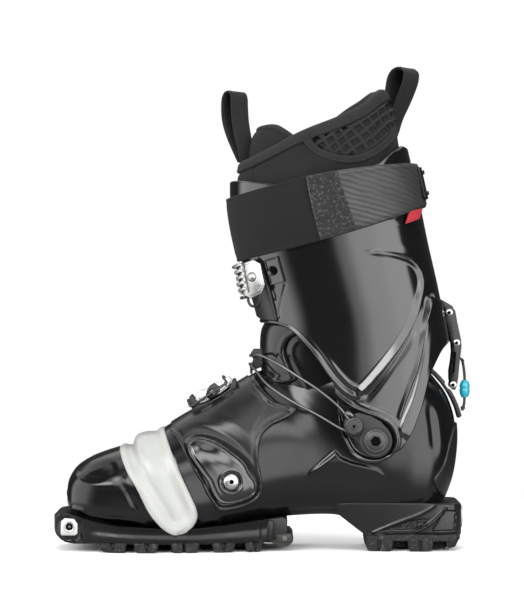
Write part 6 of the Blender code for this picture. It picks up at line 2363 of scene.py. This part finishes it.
def build_toe_inserts():
    """A D-shaped metal plate on each side of the toe, with a cup."""
    x = -139.6
    for k, side in enumerate((-1, 1)):
        side_prism(
            f"toe_insert_plate_{k}", TOE_INSERT, 33.6, 36.1, "silver", "forefoot", 0.7, side,
            centre=(x, 0, 18.2), slot="steel", replaces="toe_tech_insert" if k == 0 else "",
        )
        centre, axis = (x, side * 36.0, 18.4), (0, side, 0)
        cup = [(4.3, -0.2), (4.3, 0.25), (3.7, 0.5), (3.1, 0.35), (2.6, -0.2), (2.2, -1)]
        lathe(f"toe_insert_cup_{k}", centre, axis, cup, "steel", "forefoot")
        # painted shade: a thin near-black disc for the shade inside the pin hole
        disc(
            f"toe_insert_hole_{k}", centre, axis, radius=2.75, top_radius=2.7, low=-0.2,
            top=0.16, dome=-0.04, finish="hole", body="forefoot", segments=40,
        )
        disc(
            f"toe_insert_pin_{k}", (x, side * 36.1, 18.4), axis, radius=1.0, top_radius=0.9,
            top=0.25, dome=0.05, finish="grey_steel", body="forefoot", segments=24,
        )


def build_second_heel():
    """Dark neck, and an olive plate with a wedge in front and jaws behind."""
    side_prism(
        "second_heel_neck", [(6.6, 8), (22.4, 9), (22.8, 23.6), (19, 25.4), (6.6, 23.4)],
        -31.8, 31.8, "black", "shell", 1.0, replaces="second_heel_plate",
    )
    side_prism(
        "second_heel_band", [(7.2, 8.4), (11.8, 8), (12, 23.2), (7.2, 22.8)],
        -35.4, 35.4, "shell_satin", "shell", 0.8,
    )
    cover = [
        (4.2, 6.2), (9.6, 8.8), (13.2, 11.4), (24.8, 12.8), (27.2, 10.4), (26.8, 6.6),
        (23.4, 3.4), (16.6, 2.8), (11, 6),
    ]
    side_prism("second_heel_cover", cover, -31, 31, "plate", "shell", 0.9, slot="plate")
    jaw = [(14, 12), (25, 13.2), (26.4, 10.4), (25.6, 6.8), (21, 5.4), (15, 7.4)]
    bolt = [(2.3, -0.5), (2.3, 0.5), (1.9, 0.9), (0.01, 0.95)]
    for k, side in enumerate((-1, 1)):
        side_prism(f"second_heel_jaw_{k}", jaw, 30, 31.9, "plate", "shell", 0.6, side)
        centre = (20.6, side * 31.6, 9.4)
        lathe(f"second_heel_bolt_{k}", centre, (0, side, 0), bolt, "grey_steel", "shell", 32)


HEEL_RIDGE_HIGH = [(84.4, 12.6), (96, 17.6), (108, 22.4), (120, 26.8), (128, 31), (134.7, 35.5)]
HEEL_RIDGE_LOW = [(87.3, 13), (102, 13.6), (116.2, 14.2), (126, 18.4), (135, 25.6), (142, 33.3)]
HEEL_BELOW = HEEL_RIDGE_HIGH[:-1] + [(134.7, 36.5), (160, 40), (160, 5), (80, 5)]
HEEL_WINDOW = [(130.6, 15.2), (146.6, 15.6), (148.4, 29.8), (139.4, 30.2)]
HEEL_ROUGH = [(100.6, 17), (119, 17.4), (127.5, 23.6), (112, 22)]


def heel_relief(x, z, low, top):
    """Two ridges, a sharp window, a rough gritty panel, and a groove over the tread."""
    shape = x.shape
    x, z = x.ravel(), z.ravel()
    view = np.stack([x, z], 1)
    high_ridge = rib(view, HEEL_RIDGE_HIGH, width=1.1, height=0.8, taper=0.05)
    low_ridge = rib(view, HEEL_RIDGE_LOW, width=1.0, height=1.5, taper=0.05)
    window = panel(view, HEEL_WINDOW, height=-2.2, edge=1.1, sharp=True)
    rough = panel(view, HEEL_ROUGH, height=-1.3, edge=1.0)
    grit = 0.5 * np.sin(x * 3.1 + np.sin(z * 2.2) * 2) * np.sin(z * 4.3 + x)
    grit = grit * smoothstep(-rough, 0.6, 1.2)
    groove = -0.8 * bell(z - 12.9, 0.5) * smoothstep(x, 80, 88)
    below = 0.9 * (1 - smoothstep(signed(view, np.array(HEEL_BELOW), 8), -1.4, 0.4))
    return (high_ridge + low_ridge + window + rough + grit + groove - below).reshape(shape)


def build_heel():
    sole_loft(
        "heel_block_cover", HEEL_BLOCK, "shell_satin", "shell", step=0.7, relief=heel_relief,
        side_rows=64, slot="black_plastic", replaces="heel_block",
    )
    sole_loft(
        "heel_tread_plate", HEEL_TREAD, "lug", "shell", step=1.6, side_rows=6,
        replaces="heel_outsole",
    )
    for row, bottom in (
        (("heel_lug_a", 81.6, 101.2, 0.6, -0.5, (91.0,), "shell"), 0.0),
        (("heel_lug_b", 112.8, 130.8, 0.5, -0.5, (121.6,), "shell"), 0.0),
        (("heel_lug_c", 141.4, 150.2, 0.4, -2.4, (), "shell"), 2.2),
    ):
        lug_pair(*row, top=8.4, width=heel_width, bottom=bottom)
    prism(
        "heel_insert_plate", (153.2, 0, 24), (0, 1, 0), (0, 0, 1), (1, 0, 0),
        [(-11, -8), (11, -8), (11, 5), (8, 8), (-8, 8), (-11, 5)], -0.6, 1.6,
        "alu", "shell", 0.6, slot="steel", replaces="heel_tech_insert",
    )
    # painted shade: thin near-black discs for the shade inside the slots
    for k, y in enumerate((-6.4, 6.4)):
        disc(
            f"heel_insert_slot_{k}", (154.7, y, 24), (1, 0, 0), radius=1.9, top_radius=1.8,
            top=0.2, dome=0.02, finish="hole", body="shell", segments=32,
        )
    screw = [(2.4, -0.3), (2.4, 0.5), (1.8, 0.9), (0.01, 1)]
    lathe("heel_insert_screw", (154.7, 0, 20), (1, 0, 0), screw, "grey_steel", "shell", 32)


# ---------------------------------------------------------------- cuff pivots and cable
# how far out the cuff's skin lies at the pivot
FACE = abs(float(cuff_skin.raw(*cuff_skin.locate(*PIVOT))[0][1]))


def round_pivot(radius, degrees):
    turn = math.radians(degrees)
    return PIVOT[0] + radius * math.cos(turn), PIVOT[1] + radius * math.sin(turn)


def pivot_bolt(tag, side, lift):
    base = FACE + lift
    # radius, height over the base
    head = [
        (5, -3), (5, 0), (8.8, 0), (9.1, 0.3), (9.1, 1.1), (8.7, 1.6), (7.7, 1.95), (7.2, 1.7),
        (6.9, 1.8), (5, 2.3), (3.4, 2.4), (0.01, 2.4),
    ]
    axis = (0, side, 0)
    lathe(
        f"pivot_bolt_{tag}_head", (PIVOT[0], 0, PIVOT[1]), axis,
        [(radius, base + height) for radius, height in head],
        "bolt", "shell", 96, replaces=f"pivot_bolt_{tag}",
    )
    centre = (PIVOT[0], side * (base + 2.42), PIVOT[1])
    socket(f"pivot_bolt_{tag}_socket", centre, axis, 3.6, "shell")


def build_pivots():
    plate = [round_pivot(12.6, degrees) for degrees in range(-165, 46, 15)]
    plate += [
        (91.6, 97.4), (84, 101.6), (75, 104), (69, 103), (65, 99.4), (63.6, 94), (65.4, 88),
        (71, 84.6),
    ]
    side_prism(
        "pivot_plate_cover", plate, FACE + 0.2, FACE + 2.9, "black", "cuff", 0.9, side=-1,
        slot="black_plastic", replaces="pivot_plate_inner",
    )
    ring = [(11.3, -0.4), (11.3, 0.3), (10.9, 0.6), (10.2, 0.6), (9.8, 0.2)]
    centre = (PIVOT[0], -(FACE + 2.9), PIVOT[1])
    lathe("pivot_ring_inner", centre, (0, -1, 0), ring, "bolt", "cuff", 72)
    pivot_bolt("inner", -1, 3.4)
    pivot_bolt("outer", 1, 0.9)
    profile = [
        (3.4, 0), (3.4, 3.2), (6.2, 3.2), (6.6, 3.5), (6.6, 4.2), (6.1, 4.75), (5.2, 5),
        (4.6, 4.6), (2.6, 4.7), (2.2, 5), (0.01, 5.05),
    ]
    x, z = CABLE_DISC
    lathe(
        "cable_disc_cover", (x, -(FACE + 2.8), z), (0, -1, 0), profile, "bolt", "cuff", 64,
        slot="dark_steel", replaces="cable_disc_inner",
    )
    # painted shade: a thin near-black disc for the shade inside the socket
    disc(
        "cable_disc_socket", (x, -(FACE + 7.86), z), (0, -1, 0), radius=1.2, top_radius=1.1,
        top=0.05, finish="hole", body="cuff", segments=24,
    )


# Both runs of the cable, x, y, z: from the outer side over the instep to the disc, and back above.
CABLE_OUT = [
    (-4.5, 27.5, 131), (-4.6, 19, 135.6), (-5.2, 10, 138.4), (-5.4, 0, 138.4),
    (-5.2, -10, 138.4), (0, -21.5, 133), (8, -33, 124), (25, -43, 112.4), (46.6, -49, 101),
    (61, -52.6, 92.6),
]
CABLE_BACK = [
    (61, -52, 107.6), (46.6, -48, 119.6), (30, -42.5, 130.5), (14, -34.5, 140.5),
    (2, -22.5, 145.6), (-4.6, -10, 145), (-4.8, 0, 145), (-4.6, 10, 145), (-1, 19, 145),
    (3.6, 26.5, 142.6),
]


def build_cable():
    """A laid steel cable: its section has six lobes and twists along the path."""
    step, radius, sides, lay = 0.55, 1.02, 18, 9.0
    disc_y = -(FACE + 3.4 + 1.35)
    around = [
        (CABLE_DISC[0] + 4.9 * math.cos(turn), disc_y, CABLE_DISC[1] + 4.9 * math.sin(turn))
        for turn in np.radians([-110, -60, -15, 30, 75, 120])
    ]
    line = smooth_line(CABLE_OUT + around + CABLE_BACK, step)
    tangents = unit(np.gradient(line, axis=0))
    side = np.array([0.3, 0.2, 1.0])
    turns = 2 * math.pi * np.arange(sides) / sides
    rows = np.zeros((len(line), sides, 3))
    for i, (point, tangent) in enumerate(zip(line, tangents)):
        side = unit(side - tangent * side.dot(tangent))
        other = np.cross(tangent, side)
        twist = 2 * math.pi * i * step / lay
        reach = radius * (0.93 + 0.09 * np.abs(np.cos(3 * (turns - twist))))
        ring = side[None] * np.cos(turns)[:, None] + other[None] * np.sin(turns)[:, None]
        rows[i] = point + ring * reach[:, None]
    piece(
        "ankle_cable_strand", rows, capped(len(line), sides), "wire", sharp=40,
        slot="steel", replaces="ankle_cable", blend=CABLE_BLEND,
    )
    crimp = [(65.6, -52.6, 104.6), (71.6, -53.4, 100.8)]
    wire("ankle_cable_crimp", crimp, 2.0, "wire", "cuff", sides=20, smooth=False)
    guide = [
        (-2.4, 134.6), (3.8, 137.4), (4.4, 149), (-1.6, 149.2), (-3, 147), (-1.2, 144.6),
        (-1, 139.8), (-3.2, 137.4),
    ]
    side_prism(
        "cable_guide_body", guide, -9, 9, "black", "shell", 0.8,
        slot="black_plastic", replaces="cable_guide",
    )
    cheek = [
        (-4.4, 133.6), (4.2, 136.6), (5, 149.8), (-2.6, 150), (-5, 146.6), (-3.2, 143),
        (-3.2, 141), (-5.2, 137.8),
    ]
    for k, side in enumerate((-1, 1)):
        side_prism(f"cable_guide_cheek_{k}", cheek, 8.4, 10.4, "black", "shell", 0.6, side)


# ---------------------------------------------------------------- walk lever
LEVER_BRACKET = [
    (138.2, 188), (142.8, 185.4), (148, 182.3), (149.6, 177.6), (147.9, 172.2), (143.4, 169.6),
    (141.6, 172), (142, 178),
]
LEVER_PLATE = [
    (141.6, 181.2), (143.8, 182.3), (147.2, 181.9), (149.7, 179), (151.2, 170.4), (154, 157.4),
    (154.5, 152), (153.9, 147), (152.7, 137), (151.9, 128), (150.9, 122), (149.6, 119.2),
    (148, 119), (146, 122), (145.3, 127.6), (145.2, 133.4), (146.5, 141.3), (147.2, 148),
    (146.8, 154), (144.6, 163), (142.2, 173),
]
LEVER_WINDOW = [
    (148.4, 148), (150.4, 147.6), (149.6, 139), (148.9, 131.6), (147.4, 131.6), (147.6, 139)
]
LEVER_GRIP = [
    (147.4, 170), (150.6, 170.2), (152.6, 161), (153.7, 155), (153.7, 148.8), (152.2, 137),
    (151, 127.2), (148.5, 127.2), (148.6, 136), (149.4, 148.8), (149, 157),
]
# radius, y
LEVER_PIN_PROFILE = [
    (0.01, -8.9), (2.1, -8.9), (2.6, -8.6), (2.75, -8.1), (2.75, -7.5), (1.6, -7.5), (1.6, 7.5),
    (2.75, 7.5), (2.75, 8.1), (2.6, 8.6), (2.1, 8.9), (0.01, 8.9),
]


def build_walk_lever():
    side_prism(
        "lever_bracket_cover", LEVER_BRACKET, -4.6, 4.6, "dark_steel", "cuff", 0.8,
        slot="dark_steel", replaces="lever_bracket",
    )
    for k, (side, tag) in enumerate(((-1, "inner"), (1, "outer"))):
        side_prism(
            f"lever_plate_{k}_cover", LEVER_PLATE, 5.0, 7.3, "dark_steel", "walk_lever", 0.6,
            side, slot="dark_steel", replaces=f"lever_plate_{tag}",
        )
        # painted shade: a thin near-black sheet for the shade seen through the plate's window
        name = f"lever_plate_{k}_window"
        side_prism(name, LEVER_WINDOW, 7.2, 7.42, "hole", "walk_lever", 0.05, side)
    side_prism(
        "walk_lever_grip", LEVER_GRIP, -4.7, 4.7, "black", "walk_lever", 0.7,
        slot="black_plastic", replaces="walk_lever_bar",
    )
    rib_outline = [(-1.2, -0.6), (0.7, -0.5), (0.7, 0.5), (-1.2, 0.6)]
    for k, place in enumerate(np.linspace(0.15, 0.85, 6)):
        x = np.interp(place, [0, 0.5, 1], [153.9, 153.6, 151.9])
        z = np.interp(place, [0, 0.5, 1], [154.0, 148.0, 135.0])
        side_prism(
            f"walk_lever_rib_{k}", rib_outline, -3.8, 3.8, "black", "walk_lever", 0.25,
            centre=(x - 0.5, 0, z),
        )
    for name, (x, z), body in (
        ("lever_pin_top", LEVER_PIN, "cuff"),
        ("lever_pin_mid", (150.6, 154.7), "walk_lever"),
        ("lever_pin_low", (147.9, 123.0), "walk_lever"),
    ):
        lathe(
            name + "_shank", (x, 0, z), (0, 1, 0), LEVER_PIN_PROFILE, "pin", body,
            slot="steel", replaces=name,
        )
        for side, tag in ((-1, "a"), (1, "b")):
            socket(f"{name}_hex_{tag}", (x, side * 8.93, z), (0, side, 0), 1.25, body)
    # an arc round the pivot with a shallow notch in its outer edge
    catch = [(69.0, degrees) for degrees in (14, 18, 22, 26, 30, 32)] + [(67.7, 33), (67.7, 37)]
    catch += [(69.0, degrees) for degrees in (38, 42, 46, 50)]
    catch += [(66.0, degrees) for degrees in (51, 44, 38, 32, 26, 20, 13)]
    side_prism(
        "lever_catch_cover", [round_pivot(*point) for point in catch], -9, 9, "black", "shell",
        0.5, slot="dark_steel", replaces="lever_catch",
    )


def build_pull_cord():
    top = [
        (155.2, 0, 142), (155.9, 0.4, 139.6), (156.8, 0.2, 134), (157.2, 0, 129),
        (157.3, 0, 125.4),
    ]
    loop = [
        (153.4, -2.6, 143), (155.4, -2.2, 141.8), (156.2, 0, 140.6), (155.4, 2.2, 141.8),
        (153.4, 2.6, 143),
    ]
    tail = [(157.1, 0, 113.6), (157, 0, 110), (156.5, 0.2, 106.6), (155.3, 0, 103.2)]
    bead = [
        (0.01, 0), (1.5, 0), (2.3, 0.5), (3.2, 2), (3.75, 4), (3.85, 5.2), (3.5, 6.1),
        (3.55, 6.9), (3.9, 7.6), (3.8, 9.2), (3.2, 11.2), (2.4, 12.8), (1.6, 13.3), (0.01, 13.3),
    ]
    knot = [(0.01, -1.6), (1.2, -1.3), (1.75, -0.3), (1.7, 0.6), (1.1, 1.5), (0.01, 1.7)]
    wire(
        "pull_cord_top", top, 1.05, "cord", "pull_cord", step=0.5,
        slot="webbing", replaces="pull_cord",
    )
    wire("pull_cord_loop", loop, 0.9, "cord", "walk_lever", sides=12, step=0.5)
    lathe(
        "cord_bead_body", (157.4, 0, 126.4), (-0.02, 0, -1), bead, "turquoise", "pull_cord", 64,
        slot="turquoise", replaces="cord_bead",
    )
    wire(
        "cord_tail_end", tail, 1.0, "cord", "pull_cord", step=0.5,
        slot="webbing", replaces="cord_tail",
    )
    lathe("cord_tail_knot", (155.9, 0, 105.4), (0.35, 0, -1), knot, "cord", "pull_cord", 28)


# ---------------------------------------------------------------- inside the shell
def build_liner_foot():
    """The padded foot of the liner, with quilting grooves."""
    tube = Tube(np.concatenate([
        toe_skin.shrink(6.2).rows[3:],
        bellows_skin.shrink(6.6).rows[1:6:2],
        lower_skin.shrink(7.2).rows,
    ]))
    angles = both_sides(np.arccos(np.linspace(1, -1, 46)))
    sections, angles = np.meshgrid(np.linspace(0, tube.last, 110), angles, indexing="ij")
    points, normals = surface(tube, sections, angles)
    relief = -0.9 * bell(np.abs(angles) - 1.2, 0.03)
    # the cross grooves fall off by distance, not by its square
    relief = relief - 0.8 * np.exp(-((((sections * 1.0) % 4) - 2) / 0.05) ** 2)
    outer = points + normals * relief[..., None]
    tip = np.array([-130.0, 0, 46.0])
    rings = [tip + (outer[0] - tip) * part for part in (0.2, 0.55, 0.82, 0.95)]
    inner = outer - normals * 4.0
    rows = np.concatenate([rings, outer, inner[::-1]])
    piece(
        "liner_foot_padded", rows, capped(*rows.shape[:2]), "lining", uv=grid_uv(rows),
        slot="fabric", replaces="liner_foot", blend=FOOT_BLEND,
    )


def build_footbed():
    sole_loft(
        "footbed_contoured", FOOTBED, "foam", "shell", step=2.0, low_round=0.6, top_round=0.5,
        side_rows=4, slot="foam", replaces="footbed",
    )


# ---------------------------------------------------------------- studio
def set_render():
    scene = bpy.context.scene
    scene.view_settings.view_transform = "Standard"
    scene.view_settings.look = "None"
    scene.view_settings.exposure = 0.0
    scene.view_settings.gamma = 1.0
    scene.cycles.max_bounces = 6
    scene.cycles.diffuse_bounces = 3
    scene.cycles.glossy_bounces = 4
    scene.cycles.use_denoising = True


def build_world():
    """Soft boxes painted on the world. The camera itself sees plain white."""
    world = bpy.data.worlds.new("studio")
    bpy.context.scene.world = world
    world.use_nodes = True
    tree = world.node_tree
    tree.nodes.clear()
    out = tree.nodes.new("ShaderNodeOutputWorld")
    coord = tree.nodes.new("ShaderNodeTexCoord")
    x, y, z = Signal(tree, coord.outputs["Generated"]).split()
    # degrees: azimuth 0 is towards the camera, positive towards the heel
    azimuth = x.math("ARCTAN2", y * -1.0) * 57.2958
    elevation = z.math("ARCSINE") * 57.2958

    def window(angle, low, high, soft_low, soft_high):
        rise = angle.remap(low - soft_low, low + soft_low, 0.0, 1.0, smooth=True)
        return rise * angle.remap(high - soft_high, high + soft_high, 1.0, 0.0, smooth=True)

    def box(strength, around, up):
        """A soft box. Around and up are from, to, softness at from, softness at to."""
        return window(azimuth, *around) * window(elevation, *up) * strength

    right = box(5.4, around=(26, 60, 6, 3), up=(-22, 48, 10, 10))
    middle = box(4.8, around=(3, 26, 5, 6), up=(-9, 8, 3, 3))
    left = box(3.4, around=(-112, -50, 10, 12), up=(-32, 34, 12, 12))
    ridge = box(15.0, around=(-46, -15, 6, 4), up=(13, 34, 5, 5))
    top = window(elevation, 66, 200, 12, 1) * 2.6
    front = box(1.3, around=(-20, 40, 10, 12), up=(36, 60, 8, 8))
    rim = box(6.5, around=(-14, 30, 5, 8), up=(12, 25, 4, 4))
    behind = (azimuth * 0.0174533).math("COSINE").math("LESS_THAN", -0.25)
    back = behind * window(elevation, 30, 62, 8, 10) * 1.5
    total = right + (middle + (ridge + rim)) + left + top + front + back
    total = total + 0.06  # faint light from everywhere
    boxes = tree.nodes.new("ShaderNodeBackground")
    total.feed(boxes.inputs["Strength"])
    boxes.inputs["Color"].default_value = (1.0, 1.0, 1.0, 1)
    white = tree.nodes.new("ShaderNodeBackground")
    white.inputs["Color"].default_value = (1, 1, 1, 1)
    white.inputs["Strength"].default_value = 1.0
    path = tree.nodes.new("ShaderNodeLightPath")
    mix = tree.nodes.new("ShaderNodeMixShader")
    tree.links.new(path.outputs["Is Camera Ray"], mix.inputs[0])
    tree.links.new(boxes.outputs[0], mix.inputs[1])
    tree.links.new(white.outputs[0], mix.inputs[2])
    tree.links.new(mix.outputs[0], out.inputs["Surface"])


def floor_material():
    """White, darker in reflections, and fading into the backdrop away from the boot."""
    made = bpy.data.materials.new("studio_floor")
    made.use_nodes = True
    tree = made.node_tree
    tree.nodes.clear()
    out = tree.nodes.new("ShaderNodeOutputMaterial")
    diffuse = tree.nodes.new("ShaderNodeBsdfDiffuse")
    path = tree.nodes.new("ShaderNodeLightPath")
    glossy_ray = Signal(tree, path.outputs["Is Glossy Ray"])
    tint = mix_colour(glossy_ray, (0.92, 0.92, 0.92), (0.40, 0.40, 0.40))
    tint.feed(diffuse.inputs["Color"])
    clear = tree.nodes.new("ShaderNodeBsdfTransparent")
    coord = tree.nodes.new("ShaderNodeTexCoord")
    length = tree.nodes.new("ShaderNodeVectorMath")
    length.operation = "LENGTH"
    oval = tree.nodes.new("ShaderNodeMapping")
    oval.inputs["Scale"].default_value = (2.6, 1.9, 1)
    tree.links.new(coord.outputs["Object"], oval.inputs["Vector"])
    tree.links.new(oval.outputs["Vector"], length.inputs[0])
    fade = Signal(tree, length.outputs["Value"]).remap(0.42, 1.15, 0.0, 1.0, smooth=True)
    mix = tree.nodes.new("ShaderNodeMixShader")
    fade.feed(mix.inputs[0])
    tree.links.new(diffuse.outputs[0], mix.inputs[1])
    tree.links.new(clear.outputs[0], mix.inputs[2])
    tree.links.new(mix.outputs[0], out.inputs["Surface"])
    return made


def build_floor():
    half = 1.6  # metres
    mesh = bpy.data.meshes.new("studio_floor")
    corners = [(-half, -half, 0), (half, -half, 0), (half, half, 0), (-half, half, 0)]
    mesh.from_pydata(corners, [], [(0, 1, 2, 3)])
    floor = bpy.data.objects.new("studio_floor", mesh)
    floor.location.z = -0.0005
    bpy.context.scene.collection.objects.link(floor)
    mesh.materials.append(floor_material())


def build_camera():
    """Looks along +Y at the boot's inner side. Places are in metres."""
    scene = bpy.context.scene
    data = bpy.data.cameras.new("camera")
    data.lens = 150.0
    data.sensor_width = 36.0
    data.sensor_fit = "AUTO"
    data.clip_start, data.clip_end = 0.05, 20.0
    camera = bpy.data.objects.new("camera", data)
    view_size, near_side = 0.444, 0.045
    distance = view_size / 2 / (18.0 / 150.0)  # half the sensor over the lens
    camera.location = (0.0037, -distance - near_side, 0.187)
    camera.rotation_euler = (math.radians(90), 0, 0)
    scene.collection.objects.link(camera)
    scene.camera = camera


def build_key_light():
    data = bpy.data.lights.new("key_strip", "AREA")
    data.shape = "RECTANGLE"
    data.size, data.size_y = 0.5, 1.4
    data.energy = 4.0
    light = bpy.data.objects.new("key_strip", data)
    light.location = (0.2, -1.0, 1.5)
    light.rotation_euler = (math.radians(35), 0, 0)
    bpy.context.scene.collection.objects.link(light)


def finish_frame_pieces():
    """Gives a full material to frame pieces that no finer piece stands for."""
    same = "shell cuff bellows rubber plate steel dark_steel alu fabric webbing red turquoise foam"
    finish_of = {slot: slot for slot in same.split()} | {"black_plastic": "black"}
    subparts = frame["record"].get("subparts", [])
    slots = {row["node"]: row.get("material_slot") for row in subparts if "node" in row}
    for name, item in frame["nodes"].items():
        if not item.hide_render and slots.get(name) in finish_of:
            for material_slot in item.material_slots:
                material_slot.link = "OBJECT"
                material_slot.material = FINISHES[finish_of[slots[name]]]


for build in (
    build_boot, build_bellows, build_flap, build_teardrop, build_heel_strips,
    build_throat, build_tongue, build_cuff,
    build_strap_elastic, build_strap_ribbed, build_strap_details,
    build_liner, build_lattice, build_tongue_pad, build_pull_loops,
    build_buckles, build_instep_catch, build_cuff_catch, build_cuff_plates,
    build_outsole, build_toe_inserts, build_second_heel, build_heel,
    build_pivots, build_cable, build_walk_lever, build_pull_cord,
    build_liner_foot, build_footbed,
    set_render, build_world, build_floor, build_camera, build_key_light, finish_frame_pieces,
):
    build()

bpy.context.view_layer.update()
